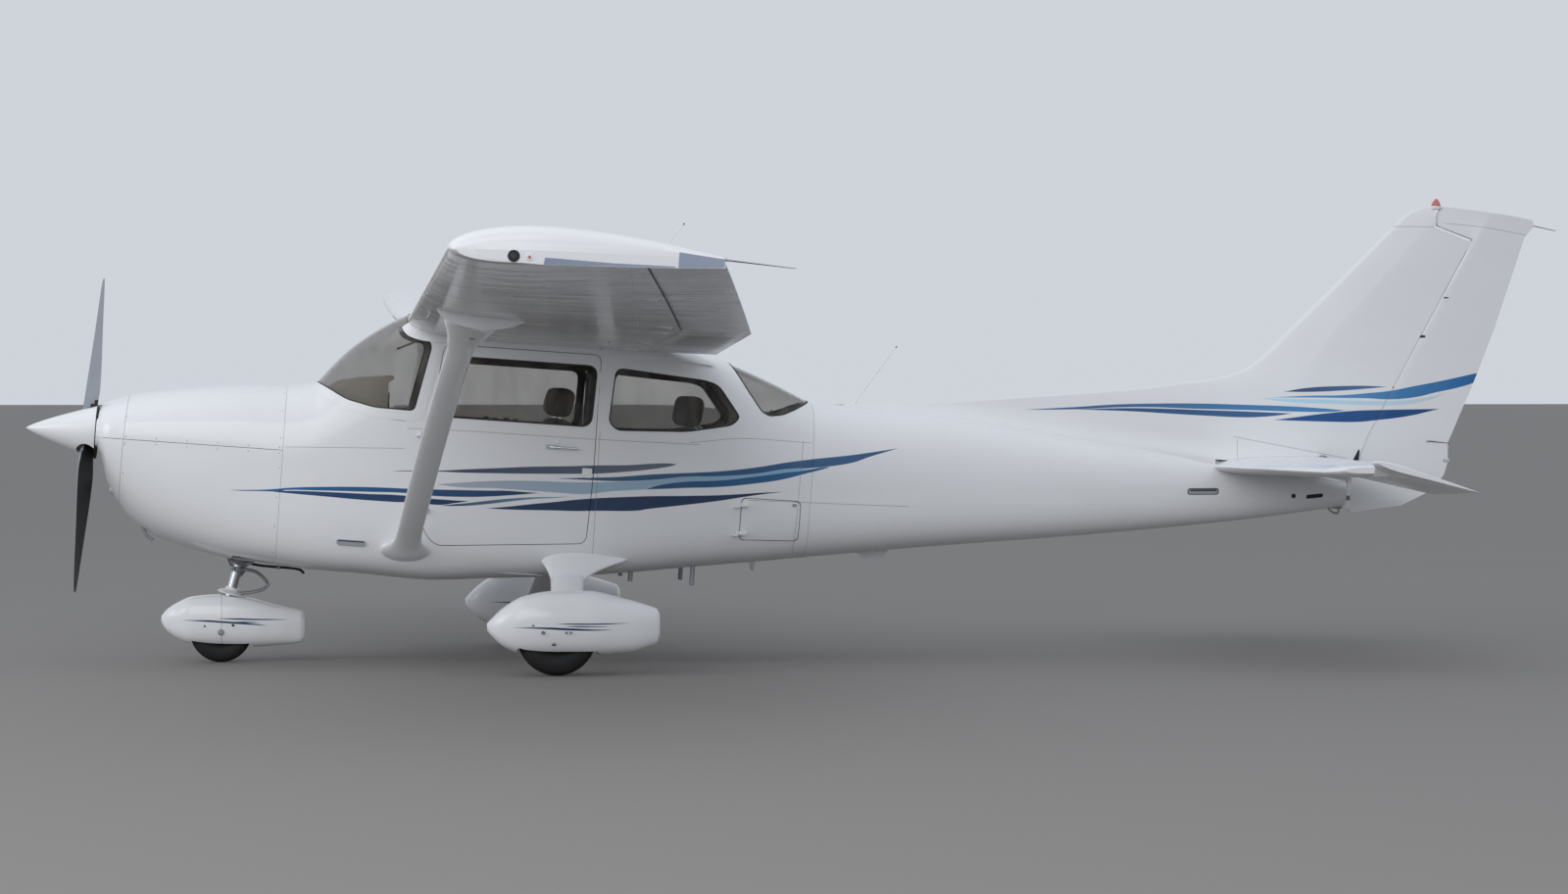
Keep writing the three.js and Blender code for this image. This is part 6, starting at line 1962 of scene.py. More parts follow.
def tail_marks():
    """Slots and a round hole in the tail, drawn as patches of painted shade, and the tie-down ring under it.
    """
    # the dark rim and the dark band at the top of the grey recess are painted shadow in the long slot; the
    # hole and the rear slots are black patches of painted shade
    parts = [
        patch("slot_rim", oblong(4834, 5010, 1222, 1258, 0.07), -1, 1.2, 1, seal_rubber_and_gap_shade, 16),
        patch("slot", oblong(4839, 5005, 1226, 1254, 0.07), -1, 2.2, 1, recess_grey, 13),
        patch("shade", oblong(4848, 4998, 1243, 1252, 0.07), -1, 3.2, 1, seal_rubber_and_gap_shade, 4),
        patch("hole", oblong(5427, 5451, 1243, 1266), -1, 0.7, 1, black_enamel_and_hole_shade, 8),
        patch("slot", oblong(5512, 5606, 1243, 1265, 0.16), -1, 0.7, 1, black_enamel_and_hole_shade, 9),
        patch("slot", oblong(5512, 5606, 1243, 1265, 0.16), 1, 0.7, 1, black_enamel_and_hole_shade, 9),
    ]
    fitted("tail_slots", parts)
    bend = ((5650, 1214), (5672, 1190), (5696, 1176), (5714, 1174), (5722, 1186), (5716, 1202))
    ring = tube("ring", [(x, 0, z) for x, z in bend], 5, AIRFRAME, steel)
    skid = box("skid", (5640, -12, 1200), (5738, 12, 1222), AIRFRAME, steel, 5)
    fitted("tail_tie_down", [ring, skid])


def blade_mast(name, points, thickness):
    """A thin blade standing on the skin, drawn as an outline of x and z."""
    made = across(name, points, -thickness / 2, thickness / 2, 6, white_paint)
    soften(made, thickness * 0.3)
    dress(made, "airframe")


def upright(x, y, z):
    """A frame at a place of the airframe for shapes that turn about an upright axis."""
    return AIRFRAME @ Matrix.Translation((x, y, z)) @ turned(-90, "Y")


def antennas():
    whips = [
        ("com_whip", (1641, 0, 1960), (1999, 0, 2500), 5.5, 2.2),
        ("tail_whip", (2973, 0, 1566), (3203, 0, 1919), 4.5, 1.6),
    ]
    for name, foot, top, radius, end in whips:
        foot_v, top_v = Vector(foot), Vector(top)
        way = (top_v - foot_v).normalized()
        base = [(0, -6), (36, -6), (38, 0), (34, 6), (16, 12), (0, 12)]
        parts = [
            rod("rod", foot, top, radius, AIRFRAME, white_paint, 12, end),
            rod("boot", foot_v - way * 4, foot_v + way * 60, 15, AIRFRAME, white_paint, 20, 6),
            spun("base", base, upright(*foot), white_paint, 32),
            rod("tip", top_v - way * 10, top_v, end + 1.5, AIRFRAME, black_enamel_and_hole_shade, 10),
        ]
        fitted(name, parts)
    blade_mast("drain_mast", [(2468, 712), (2512, 716), (2506, 650), (2492, 648)], 12)
    blade_mast("marker_antenna", [(3040, 800), (3250, 828), (3196, 764), (3110, 748)], 16)
    blade_mast("roof_fin_antenna", [(2030, 1815), (2150, 1780), (2145, 1890), (2105, 1900)], 12)


def wing_fittings():
    """Tip skirts, lights and wicks, tie-down eyes, drains, fuel caps, pitot head and stall vane."""
    for label, side in SIDES:
        lens = red_lens if side < 0 else green_lens
        near, far = sorted((side * 5462, side * 5501.5))
        skirt = [
            (640, 2085), (680, 2050), (800, 2043), (920, 2041), (1200, 2053), (1471, 2066), (1673, 2080),
            (1673, 2110), (1471, 2116), (920, 2100),
        ]
        # painted shade: a slate blue plate where the aileron's end lies in shade, and a thin strip for the
        # shadow under the lower edge of the tip
        face = [(1479, 2069), (1479, 2133), (1668, 2117), (1668, 2083)]
        strip = [(926, 2043), (1200, 2056), (1466, 2069), (1466, 2073), (1209, 2068), (930, 2071)]
        parts = [
            across("skirt", skirt, near, far, 0, white_paint),
            across("face", face, *sorted((side * 5440, side * 5504)), 3, tip_shadow),
            across("strip", strip, *sorted((side * 5490, side * 5504)), 2, tip_shadow),
        ]
        fitted("tip_skirt_" + label, parts)
        # the white light's cover is almost black: painted shade of the lamp behind it
        light = []
        for x, start, end, radius, finish, around, end_radius in (
            (802, 5476, 5505, 25, black_enamel_and_hole_shade, 40, None),
            (802, 5490, 5509, 19, shaded_lamp_lens, 32, 13),
            (866, 5476, 5504, 16, white_paint, 32, None),
            (866, 5490, 5509, 10, lens, 24, 6),
        ):
            ends = (x, side * start, 2068), (x, side * end, 2068)
            light.append(rod("light", *ends, radius, AIRFRAME, finish, around, end_radius))
        fitted("tip_lights_" + label, light)
        # a wick lets static off the tip
        foot = (1660, side * 5470, 2116)
        wicks = [
            rod("wick", foot, (1972, side * 5440, 2103), 3.0, AIRFRAME, black_enamel_and_hole_shade, 8, 1.2),
            rod("base", foot, (1704, side * 5466, 2115), 6, AIRFRAME, alloy, 12, 4),
        ]
        fitted("tip_wick_" + label, wicks)
        # tie-down eyes at the tops of the struts, fuel caps and drains
        y = side * 2420
        eye = [(780, y, 1794), (778, y, 1768), (790, y, 1757), (802, y, 1768), (800, y, 1794)]
        parts = [tube("tie_down_eye", eye, 3.5, AIRFRAME, steel, 12)]
        for drain_y in (640, 1340):
            under = wing_place(drain_y, 0.62, -1)
            ends = (under[0], side * drain_y, under[2] + 3), (under[0], side * drain_y, under[2] - 12)
            parts.append(rod("drain", *ends, 9, AIRFRAME, alloy, 16, 6))
        top = wing_place(1700, 0.22, 1)
        cap = [(0, -3), (58, -3), (60, 0), (56, 3), (36, 3), (34, 7), (0, 7)]
        parts.append(spun("cap", cap, upright(top[0], side * 1700, top[2]), alloy, 40))
        fitted("wing_fittings_" + label, parts)
        hinge_brackets(label, side)
    # pitot head and stall vane on the left wing
    x, _, z = wing_place(2000, 0.035, -1)
    path = [(x + 14, -2000, z + 4), (x - 6, -2000, z - 26), (x - 46, -2000, z - 32), (x - 62, -2000, z - 26)]
    head = tube("pitot_head", path, 4, AIRFRAME, alloy, 12)
    dress(head, "airframe")
    x, _, z = wing_place(3000, 0.012, -1)
    vane = box("stall_vane", (x - 26, -3022, z - 2), (x + 6, -2978, z + 1), AIRFRAME, alloy, 1)
    dress(vane, "airframe")


def hinge_brackets(label, side):
    """Brackets that show under the slots ahead of the flap and the aileron."""
    parts = []
    for surface, places in ((FLAP, (700, 1400, 2380)), (AILERON, (2700, 3900, 5050))):
        for y in places:
            x = hinge_x(surface, y)
            slot = wing_depth(y, x)[1] + SURFACE_GAP
            middle, half, _ = wing_depth(y, x - slot)
            low = middle - half
            arm = [(x - 150, low + 12), (x - 60, low + 6), (x - 60, low - 8), (x - 150, low - 2)]
            parts.append(across("bracket", arm, *sorted((side * (y - 7), side * (y + 7))), 5, wing_paint))
    fitted("hinge_brackets_" + label, parts)


def tail_fittings():
    """Beacon on the fin, wicks and tail light of the rudder."""
    place = upright(6150, 0, 2902)
    dome = [(0, -2), (27, -2), (26, 8), (19, 24), (11, 36), (5, 42), (0, 43)]
    beacon = [
        spun("base", [(0, -14), (34, -14), (36, -4), (32, 0), (0, 0)], place, white_paint, 32),
        spun("lens", dome, place, red_lens, 32),
    ]
    fitted("tail_beacon", beacon)
    wicks = [
        rod("wick", (6696, 0, 2838), (6839, 0, 2818), 2.6, AIRFRAME, black_enamel_and_hole_shade, 8, 1.6),
        rod("wick", (6192, -17, 1607), (6318, -6, 1603), 2.6, AIRFRAME, black_enamel_and_hole_shade, 8, 1.6),
        rod("base", (6186, -18, 1607), (6200, -14, 1607), 5, AIRFRAME, alloy, 10),
    ]
    fitted("rudder_wicks", wicks, "rudder")
    light = rod("tail_light", (6290, 0, 1508), (6326, 0, 1508), 12, AIRFRAME, clear_lens, 24, 9)
    dress(light, "rudder")


def rudder_hinges():
    """Lugs of the fin that carry the rudder, drawn as small dark clips of painted shade in the gap, and its
    bearing.
    """
    parts = []
    clips = ((6237, 2402, 26, 9), (6113, 2179, 40, 16), (5965, 1887, 22, 12), (5884, 1723, 24, 32))
    for x, z, wide, tall in clips:
        half = 36 - (z - 1723) * 0.009
        ahead, behind, low, high = x - wide / 2, x + wide / 2, z - tall / 2, z + tall / 2
        clip = [(ahead, low), (behind, low + 4), (behind, high), (ahead, high)]
        parts.append(across("clip", clip, -half, half, 3, seal_rubber_and_gap_shade))
    foot = across("foot", [(5762, 1452), (5802, 1452), (5806, 1530), (5798, 1534)], -45, 45, 3, black_enamel_and_hole_shade)
    fitted("rudder_lugs", [*parts, foot])
    lower = box("bearing", (5738, -14, 1250), (5772, 14, 1276), AIRFRAME, steel, 4)
    dress(lower, "airframe")


def belly_fittings():
    """Exhaust pipe, breather pipe and drain under the cowl."""
    bend = [(-330, 120, 620), (-300, 128, 540), (-270, 132, 486)]
    pipe = tube("pipe", [*bend, (-236, 136, 452)], 30, AIRFRAME, exhaust_steel, 24, 8)
    combine(pipe, "DIFFERENCE", tube("bore", [*bend, (-232, 136, 448)], 27, AIRFRAME, None, 24, 8))
    fitted("exhaust_pipe", [pipe])
    bend = [(-800, -150, 720), (-772, -152, 668), (-757, -152, 636), (-736, -152, 620), (-722, -152, 606)]
    dress(tube("breather_pipe", bend, 9, AIRFRAME, steel), "airframe")
    bend = [(-214, -20, 516), (-120, -40, 506), (20, -40, 504), (68, -40, 496), (84, -40, 478)]
    drain = [
        tube("rod", bend, 7, AIRFRAME, black_enamel_and_hole_shade),
        rod("band", (-60, -40, 506), (-40, -40, 505), 11, AIRFRAME, steel, 16),
    ]
    fitted("belly_drain", drain)


def fairing_bolts():
    """Axle and cover bolts in the sides of the wheel fairings."""
    main_bolts = (
        (-22, 118, 171, 13), (-78, 139, 226, 8), (40, 141, 226, 5), (62, 141, 226, 5), (-128, 128, 262, 5),
    )
    for label, side in SIDES:
        place = GROUND @ Matrix.Translation((MAIN_X, side * MAIN_Y, 0))
        parts = []
        for x, y, z, radius in main_bolts:
            ends = (x, side * (y - 8), z), (x, side * (y + 3), z)
            parts.append(rod("cup", *ends, radius, place, seal_rubber_and_gap_shade, 24))
            ends = (x, side * (y - 2), z), (x, side * (y + 7), z)
            parts.append(rod("bolt", *ends, radius * 0.6, place, chrome, 6))
        fitted("fairing_bolts_" + label, parts)
    parts = []
    axle_z = NOSE_TYRE["radius"]
    for side in (-1, 1):
        for x, y, z, radius in ((-149, 96, 200, 7), (-86, 108, 198, 5), (64, 110, 202, 7)):
            ends = (x, side * (y - 8), z), (x, side * (y + 4), z)
            parts.append(rod("cup", *ends, radius, GROUND, seal_rubber_and_gap_shade, 16))
        parts.append(rod("nut", (0, side * 100, axle_z), (0, side * 118, axle_z), 13, GROUND, chrome, 6))
    fitted("nose_fairing_bolts", parts, "nose_steering")


# Cabin
STUFFING_FRAMES = 20


def cushion(name, low, high, place, cap=0.012):
    """A stuffed piece: a rounded block that a short cloth simulation puffs up, by a metre value at most,
    then made smooth."""
    block = box(name, low, high, place, seat_cloth)
    soften(block, min(b - a for a, b in zip(low, high)) * 0.38, 4)
    remesh = block.modifiers.new("even", "REMESH")
    remesh.mode = "VOXEL"
    remesh.voxel_size = 0.006
    settle(block)
    start = [vertex.co.copy() for vertex in block.data.vertices]
    cloth = block.modifiers.new("stuffing", "CLOTH")
    cloth.settings.use_pressure = True
    cloth.settings.uniform_pressure_force = 4
    cloth.settings.effector_weights.gravity = 0
    cloth.settings.tension_stiffness = 40
    cloth.settings.compression_stiffness = 40
    cloth.settings.bending_stiffness = 4
    cloth.point_cache.frame_end = STUFFING_FRAMES
    for number in range(1, STUFFING_FRAMES + 1):
        bpy.context.scene.frame_set(number)
    settle(block)
    bpy.context.scene.frame_set(1)
    for vertex, old in zip(block.data.vertices, start):
        move = vertex.co - old
        if move.length > cap:
            vertex.co = old + move.normalized() * cap
    smoothing = block.modifiers.new("even_out", "SMOOTH")
    smoothing.factor = 0.5
    smoothing.iterations = 4
    settle(block)
    dress(block, "airframe", angle=80)
    return block


def piping(skin, matrix, points):
    """A sewn cord laid on a cushion's skin through points near it."""
    points = np.array(points + points[:1], float)
    length = np.concatenate([[0], np.cumsum(np.linalg.norm(np.diff(points, axis=0), axis=1))])
    at = np.linspace(0, length[-1], int(length[-1] / 18))
    path = []
    for k in at:
        point = [np.interp(k, length, points[:, i]) for i in range(3)]
        place, _, _, _ = skin.find_nearest(matrix @ Vector(point))
        path.append(place * 1000)
    path[-1] = path[0]
    return tube("cord", path, 3, TO_METRES, panel_black, 8, 2)


SEAT_Y = 260
PANEL_X = 458
YOKE_X = 700
YOKE_Z = 1230


def twin(made, name):
    """The same cushion on the other side of the cabin."""
    work = bmesh.new()
    work.from_mesh(made.data)
    for vertex in work.verts:
        vertex.co.y = -vertex.co.y
    bmesh.ops.reverse_faces(work, faces=work.faces)
    mesh = made.data.copy()
    work.to_mesh(mesh)
    work.free()
    other = linked(name, mesh)
    dress(other, "airframe", angle=80)


def seats():
    """Front seats: frame and rails, two stuffed cushions and a head cushion with its piping."""
    place = AIRFRAME @ Matrix.Translation((0, -SEAT_Y, 0))
    back = place @ Matrix.Translation((1286, 0, 905)) @ turned(11, "Y")
    base = place @ Matrix.Translation((1030, 0, 862)) @ turned(4, "Y")
    cushions = [
        cushion("seat_cushion_left", (-205, -208, -44), (225, 208, 48), base),
        cushion("seat_back_left", (-40, -205, 14), (52, 205, 510), back),
        cushion("head_cushion_left", (-70, -116, 514), (46, 116, 668), back, cap=0.008),
    ]
    runs = (
        (cushions[0], base, [(-196, -200, 30), (216, -200, 34), (216, 200, 34), (-196, 200, 30)]),
        (cushions[1], back, [(-40, -196, 60), (-40, -196, 490), (-40, 196, 490), (-40, 196, 60)]),
        (cushions[2], back, [(-70, -108, 540), (-70, -108, 654), (-70, 108, 654), (-70, 108, 540)]),
    )
    cords = [piping(skin_of(pad), matrix, run) for pad, matrix, run in runs]
    for made, part in zip(cushions, ("seat_cushion", "seat_back", "head_cushion")):
        twin(made, part + "_right")
    for label, side in SIDES:
        y = side * SEAT_Y
        across_cabin = Matrix.Translation((0, 0 if side < 0 else 2 * SEAT_Y, 0))
        lean = AIRFRAME @ across_cabin @ AIRFRAME.inverted()
        parts = []
        for cord in cords:
            copied = copy_of(cord, "cord")
            copied.data.transform(lean)
            parts.append(copied)
        for post in (-60, 60):
            parts.append(rod("post", (2, post, 480), (2, post, 560), 6, lean @ back, chrome, 12))
        parts.append(box("pan", (-200, -200, -66), (228, 200, -46), lean @ base, panel_black, 8))
        parts.append(box("shell", (48, -196, 6), (62, 196, 500), lean @ back, panel_black, 6))
        for edge in (-170, 170):
            at = y + edge
            for leg in (((860, 800), (880, 690), (868, 590)), ((1240, 786), (1262, 690), (1290, 590))):
                parts.append(tube("leg", [(x, at, z) for x, z in leg], 11, AIRFRAME, steel))
            low, high = (800, at - 14, FLOOR_Z + 1), (1340, at + 14, FLOOR_Z + 14)
            parts.append(box("rail", low, high, AIRFRAME, alloy, 3))
            for x in (868, 1288):
                low, high = (x - 24, at - 11, FLOOR_Z + 12), (x + 24, at + 11, FLOOR_Z + 40)
                parts.append(box("shoe", low, high, AIRFRAME, steel, 4))
            link = [(1235, y + edge * 1.13, 850), (1290, y + edge * 1.13, 880), (1312, y + edge * 1.13, 930)]
            parts.append(tube("recliner", link, 9, AIRFRAME, steel))
        stalk = [(1262, y - side * 212, 850), (1240, y - side * 214, 905), (1236, y - side * 212, 945)]
        parts.append(tube("buckle_stalk", stalk, 7, AIRFRAME, panel_black))
        fitted("seat_frame_" + label, parts, replaces=["front_seat_" + label])
    for cord in cords:
        drop(cord)


def rear_seat():
    """Bench with two stuffed cushions and backs, and its head cushions."""
    back = AIRFRAME @ Matrix.Translation((2168, 0, 905)) @ turned(7, "Y")
    base = AIRFRAME @ Matrix.Translation((1990, 0, 862)) @ turned(4, "Y")
    for part, low, high, place, cap in (
        ("bench_cushion", (-200, -412, -44), (170, -8, 46), base, 0.012),
        ("bench_back", (-34, -400, 20), (46, -8, 446), back, 0.012),
        ("bench_head", (-205, -312, 486), (-95, -98, 650), back, 0.008),
    ):
        twin(cushion(part + "_left", low, high, place, cap), part + "_right")
    parts = [
        box("pan", (-204, -410, -64), (172, 410, -46), base, panel_black, 8),
        box("shell", (50, -396, 10), (64, 396, 436), back, panel_black, 6),
    ]
    for y in (-330, 330):
        for x in (1810, 2140):
            parts.append(rod("leg", (x, y, FLOOR_Z + 2), (x, y, 806), 13, AIRFRAME, steel, 20))
        for post in (-45, 45):
            at = y * 205 / 330 + post
            bend = [(4, at, 420), (0, at, 462), (-70, at, 484), (-150, at, 510)]
            parts.append(tube("post", bend, 6, back, chrome))
    fitted("bench_frame", parts, replaces=["rear_bench"])


def gauge(x, y, z, radius, parts):
    """A round instrument that faces aft: bezel, dished face, marks and needle."""
    place = AIRFRAME @ Matrix.Translation((x, y, z))
    bezel = [(radius, 0), (radius, 8), (radius - 3, 10), (radius - 6, 8), (radius - 7, 3), (radius - 7, 0)]
    parts.append(lathe("bezel", bezel, place, panel_black, 32))
    parts.append(spun("face", [(0, 0), (radius - 6, 0), (radius - 6, 3), (0, 3)], place, gauge_face, 32))
    for turn in range(0, 360, 30):
        a = math.radians(turn)
        mark = [(3, math.sin(a) * r, math.cos(a) * r) for r in (radius - 16, radius - 9)]
        parts.append(rod("mark", mark[0], (4.4, mark[1][1], mark[1][2]), 0.9, place, gauge_mark, 5))
    # each needle has its own angle, from the gauge's place on the board
    a = math.radians(40 + (y * 7 + z * 3) % 260)
    tip = (5, math.sin(a) * (radius - 14), math.cos(a) * (radius - 14))
    parts.append(rod("needle", (5, 0, 0), tip, 1.4, place, gauge_mark, 6, 0.5))


def panel():
    """Board with its instruments, glare shield, pedestal, pedals and the two control yokes."""
    room = cabin_room(3)
    board = box("board", (440, -600, 1000), (PANEL_X, 600, 1552), AIRFRAME, panel_grey, 4)
    shade = [
        (120, 1300), (120, 1470), (200, 1524), (300, 1546), (470, 1568), (484, 1562), (482, 1544),
        (458, 1530), (440, 1300),
    ]
    shelf = across("shelf", shade, -600, 600, 6, glare_cloth)
    column = [(300, 570), (398, 570), (PANEL_X, 860), (PANEL_X, 1016), (300, 1016)]
    pedestal = across("pedestal", column, -70, 70, 18, panel_grey)
    parts = []
    for part in (board, shelf, pedestal):
        combine(part, "INTERSECT", room, keep=True)
        parts.append(part)
    drop(room)
    for y in (-370, -275, -180):
        for z in (1440, 1345):
            gauge(PANEL_X, y, z, 41, parts)
    for y, z in ((-455, 1400), (-455, 1330), (-455, 1260), (130, 1450), (205, 1450), (280, 1450)):
        gauge(PANEL_X, y, z, 28, parts)
    for z, tall in ((1460, 46), (1406, 46), (1352, 44), (1300, 44), (1250, 40)):
        low, high = (PANEL_X, -84, z - tall / 2), (PANEL_X + 7, 84, z + tall / 2)
        parts.append(box("radio", low, high, AIRFRAME, panel_black, 2))
        low, high = (PANEL_X + 7, -60, z - 12), (PANEL_X + 8.5, 34, z + 12)
        parts.append(box("window", low, high, AIRFRAME, gauge_face, 1))
        for y in (-74, 52, 70):
            ends = (PANEL_X + 6, y, z - 3), (PANEL_X + 21, y, z - 3)
            parts.append(rod("knob", *ends, 7, AIRFRAME, panel_black, 16))
    parts.append(box("tray", (PANEL_X, 150, 1180), (PANEL_X + 6, 430, 1330), AIRFRAME, panel_black, 4))
    for y in range(-440, -120, 26):
        parts.append(box("switch", (PANEL_X, y, 1132), (PANEL_X + 16, y + 12, 1154), AIRFRAME, gauge_mark, 2))
    for y, finish in ((-42, panel_black), (0, blue_knob), (42, red_knob)):
        parts.append(rod("push_rod", (PANEL_X, y, 1140), (PANEL_X + 46, y, 1140), 4, AIRFRAME, chrome, 12))
        ends = (PANEL_X + 42, y, 1140), (PANEL_X + 64, y, 1140)
        parts.append(rod("knob", *ends, 13, AIRFRAME, finish, 24, 10))
    parts.append(rod("trim_wheel", (430, -12, 930), (430, 12, 930), 58, AIRFRAME, panel_black, 40))
    fitted("panel_board", parts, replaces=["instrument_panel"])
    for label, side in SIDES:
        y = side * SEAT_Y
        at = [(96, 124, 2), (128, 106, 4), (138, 64, 4), (118, 28, 2), (60, 16, 0), (0, 14, -2)]
        horn = [(YOKE_X + forward, y - out, YOKE_Z - 14 + rise) for out, rise, forward in at]
        horn += [(YOKE_X + forward, y + out, YOKE_Z - 14 + rise) for out, rise, forward in at[-2::-1]]
        hub_low = (YOKE_X - 14, y - 34, YOKE_Z - 20)
        parts = [
            rod("column", (PANEL_X, y, YOKE_Z), (YOKE_X, y, YOKE_Z), 12, AIRFRAME, chrome, 24),
            rod("socket", (PANEL_X - 4, y, YOKE_Z), (PANEL_X + 12, y, YOKE_Z), 24, AIRFRAME, panel_black, 32),
            tube("horn", horn, 13, AIRFRAME, panel_black, 16, 5),
            box("hub", hub_low, (YOKE_X + 16, y + 34, YOKE_Z + 20), AIRFRAME, panel_black, 8),
            rod("clip", (YOKE_X + 16, y, YOKE_Z), (YOKE_X + 22, y, YOKE_Z), 14, AIRFRAME, alloy, 24),
        ]
        fitted("control_yoke_" + label, parts)
        parts = []
        for edge in (-75, 75):
            at = y + edge
            parts.append(box("pad", (212, at - 38, 660), (226, at + 38, 740), AIRFRAME, black_rubber, 5))
            parts.append(tube("arm", [(222, at, 700), (250, at, 640), (262, at, 566)], 8, AIRFRAME, steel))
        fitted("pedals_" + label, parts)


def cabin_lining():
    """Carpet, arm rests, door pockets and sun visors."""
    room = cabin_room(2)
    carpet = box("carpet", (-40, -480, FLOOR_Z - 2), (1700, 480, FLOOR_Z + 7), AIRFRAME, carpet_pile)
    low, high = (2245, -480, BAGGAGE_FLOOR_Z - 2), (2700, 480, BAGGAGE_FLOOR_Z + 8)
    rear = box("rear_carpet", low, high, AIRFRAME, carpet_pile)
    for part in (carpet, rear):
        combine(part, "INTERSECT", room, keep=True)
    drop(room)
    fitted("cabin_carpet", [carpet, rear])
    for label, side in SIDES:
        near, far = sorted((side * 436, side * 494))
        rest = [
            box("rest", (900, near, 1010), (1330, far, 1056), AIRFRAME, panel_grey, 14),
            box("pocket", (830, near + 12, 760), (1200, far, 900), AIRFRAME, cabin_trim, 12),
        ]
        for x in (1010, 1120):
            rest.append(box("catch", (x, near + 20, 1352), (x + 34, far + 8, 1384), AIRFRAME, panel_black, 6))
        ends = (1400, side * 470, 1180), (1400, side * 490, 1180)
        rest.append(rod("pull", *ends, 12, AIRFRAME, panel_black, 20))
        dress(joined("arm_rest_" + label, rest), "door_" + label)
        near, far = sorted((side * 110, side * 400))
        leaf = across("leaf", [(506, 1722), (512, 1712), (622, 1766), (616, 1776)], near, far, 4, visor_cloth)
        hinge = rod("hinge", (620, side * 100, 1776), (620, side * 410, 1776), 6, AIRFRAME, chrome, 12)
        fitted("sun_visor_" + label, [leaf, hinge])


# Engine
CYLINDER_XS = (-690, -440)
CYLINDER_Z = 1142


def engine():
    """Flat four: crankcase, finned cylinders, sump, intake pipes, front ring gear and mount tubes."""
    block = [(-830, 1010), (-830, 1240), (-770, 1262), (-300, 1262), (-265, 1230), (-265, 1010)]
    sump = [(-760, 860), (-760, 1020), (-330, 1020), (-330, 900), (-420, 860)]
    case = [
        across("case", block, -95, 95, 20, engine_iron),
        across("sump", sump, -140, 140, 24, engine_grey),
        rod("nose", (-838, 0, SHAFT_Z), (-960, 0, SHAFT_Z), 78, AIRFRAME, engine_iron, 40, 62),
        rod("shaft", (-950, 0, SHAFT_Z), (DISC_X + 46.2, 0, SHAFT_Z), 50, AIRFRAME, steel, 40),
        rod("ring_gear", (-996, 0, SHAFT_Z), (-978, 0, SHAFT_Z), 150, AIRFRAME, steel, 64),
        box("magneto", (-320, -70, 1060), (-250, 70, 1200), AIRFRAME, panel_black, 16),
        rod("filter", (-262, 100, 1080), (-180, 100, 1080), 40, AIRFRAME, white_paint, 32),
        box("air_box", (-870, -120, 826), (-770, 120, 930), AIRFRAME, panel_black, 12),
    ]
    for side in (-1, 1):
        for x in CYLINDER_XS:
            near, far = sorted((side * 262, side * 330))
            case.append(across("head", oblong(x - 92, x + 92, 1068, 1216), near, far, 20, engine_grey))
            near, far = sorted((side * 270, side * 336))
            case.append(across("cover", oblong(x - 74, x + 74, 1186, 1246), near, far, 14, engine_iron))
            start, end = (x, side * 90, CYLINDER_Z), (x, side * 290, CYLINDER_Z)
            case.append(rod("barrel", start, end, 66, AIRFRAME, engine_iron, 36))
            bend = ((40, 130, 930), (46, 240, 950), (44, 296, 1010), (40, 300, 1070))
            path = [(x + along, side * out, z) for along, out, z in bend]
            case.append(tube("intake", path, 24, AIRFRAME, alloy, 16))
            bend = ((-40, 296, 1070), (-36, 300, 990), (20, 270, 900), (90, 190, 830))
            path = [(x + along, side * out, z) for along, out, z in bend]
            case.append(tube("exhaust", path, 22, AIRFRAME, exhaust_steel, 16))
            for plug in (x - 36, x + 36):
                start, end = (plug, side * 306, 1206), (plug, side * 306, 1262)
                case.append(rod("plug", start, end, 9, AIRFRAME, chrome, 10))
            for push in (x - 30, x + 30):
                start, end = (push, side * 95, 1196), (push, side * 268, 1220)
                case.append(rod("push_tube", start, end, 9, AIRFRAME, chrome, 14))
        for low, high, radius in ((940, 940, 13), (1200, 1200, 13), (940, 1200, 11)):
            start, end = (-300, side * 120, low), (FIREWALL_X - 1, side * 340, high)
            case.append(rod("mount", start, end, radius, AIRFRAME, steel, 16))
    case.append(rod("muffler", (-470, -200, 826), (-470, 200, 826), 62, AIRFRAME, exhaust_steel, 36))
    fitted("engine_case", case, replaces=["engine"])
    runs = []
    for side in (-1, 1):
        for x in CYLINDER_XS:
            way = AIRFRAME.to_3x3().normalized() @ Vector((0, side, 0))
            runs.append([(AIRFRAME @ Vector((x, side * y, CYLINDER_Z)), way) for y in (104, 258)])
    fins = shapes_on_lines("cooling_fins", FIN_STACK, runs, 7.2, 88, 2.6, engine_iron)
    dress(fins, "airframe")


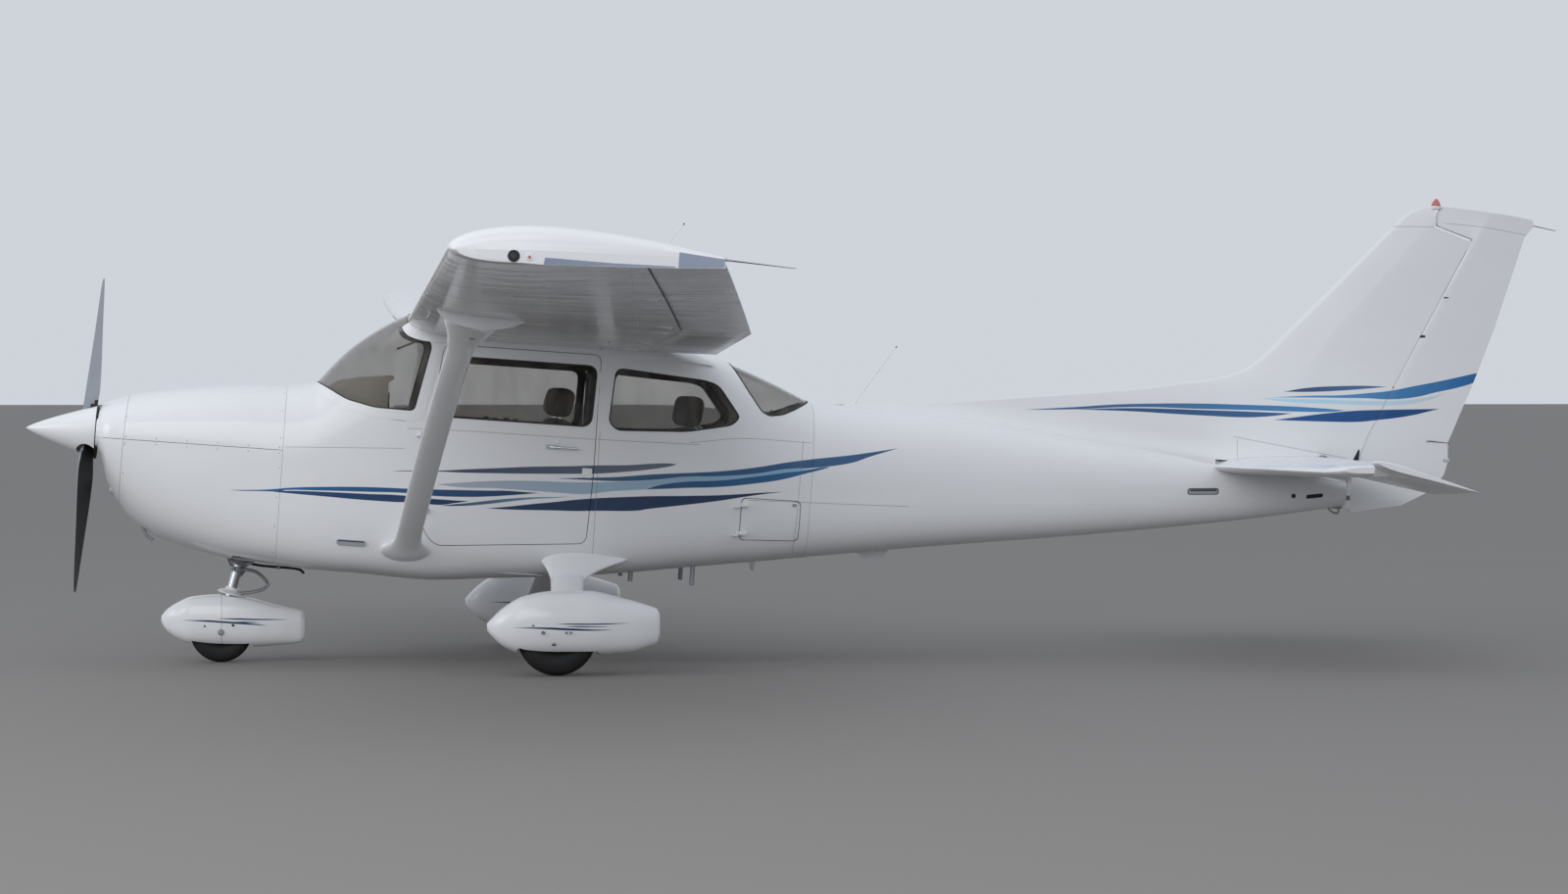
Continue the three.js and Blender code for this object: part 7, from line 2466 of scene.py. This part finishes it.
cowl()
cabin()
panes()
tail_cone()
for label, side in SIDES:
    wing(label, side)
    strut(label, side)
tailplane()
elevator()
fin()
rudder()
propeller()
spinner()
main_gear()
nose_gear()
rivets(bpy.data.objects)
window_trim()
root_fairings()
hinges()
door_fittings()
tail_marks()
antennas()
wing_fittings()
tail_fittings()
rudder_hinges()
belly_fittings()
fairing_bolts()
seats()
rear_seat()
panel()
cabin_lining()
engine()

# Floor, light and camera. The camera stands where the photograph was taken from.
def stage():
    mesh = bpy.data.meshes.new("floor")
    mesh.from_pydata([(-150, -60, 0), (150, -60, 0), (150, 300, 0), (-150, 300, 0)], [], [(0, 1, 2, 3)])
    # poured concrete with a dull sealer: an even grey that takes soft shadows
    mesh.materials.append(plain("matt_floor", "85827F", 0.9, grain=2, bump=0.02, varied=0.02))
    linked("floor", mesh)
    world = bpy.data.worlds.new("studio")
    bpy.context.scene.world = world
    world.use_nodes = True
    tree = world.node_tree
    up = add(tree, "SeparateXYZ", {0: add(tree, "TexCoord").outputs["Generated"]}).outputs[2]
    glow = ranged(tree, up, 0.0, 0.9, 0.86, 0.9)
    background = tree.nodes["Background"]
    background.inputs[0].default_value = linear("DDE2EA")
    tree.links.new(glow, background.inputs[1])
    for name, place, size, power in (
        ("key", (-6.5, -17, 9), 12, 780),
        ("front", (-16, -7, 7), 8, 560),
    ):
        light = bpy.data.lights.new(name, "AREA")
        light.size = size
        light.energy = power
        lamp = linked(name, light)
        lamp.location = place
        lamp.rotation_euler = (Vector((0, 0, 1)) - Vector(place)).to_track_quat("-Z", "Y").to_euler()
    bpy.context.scene.view_settings.view_transform = "Standard"


CAMERA_PLACE = (-2.7723, -22.805, 1.479)
CAMERA_YAW = 6.786
CAMERA_PITCH = -0.836
FOCAL_PIXELS = 4317.6
PHOTO_WIDTH = 1600
SENSOR_WIDTH = 36


def camera():
    data = bpy.data.cameras.new("camera")
    data.sensor_width = SENSOR_WIDTH
    data.lens = FOCAL_PIXELS * SENSOR_WIDTH / PHOTO_WIDTH
    data.clip_end = 500
    obj = linked("camera", data)
    obj.location = CAMERA_PLACE
    obj.rotation_euler = (math.radians(90 + CAMERA_PITCH), 0, -math.radians(CAMERA_YAW))
    bpy.context.scene.camera = obj


stage()
camera()
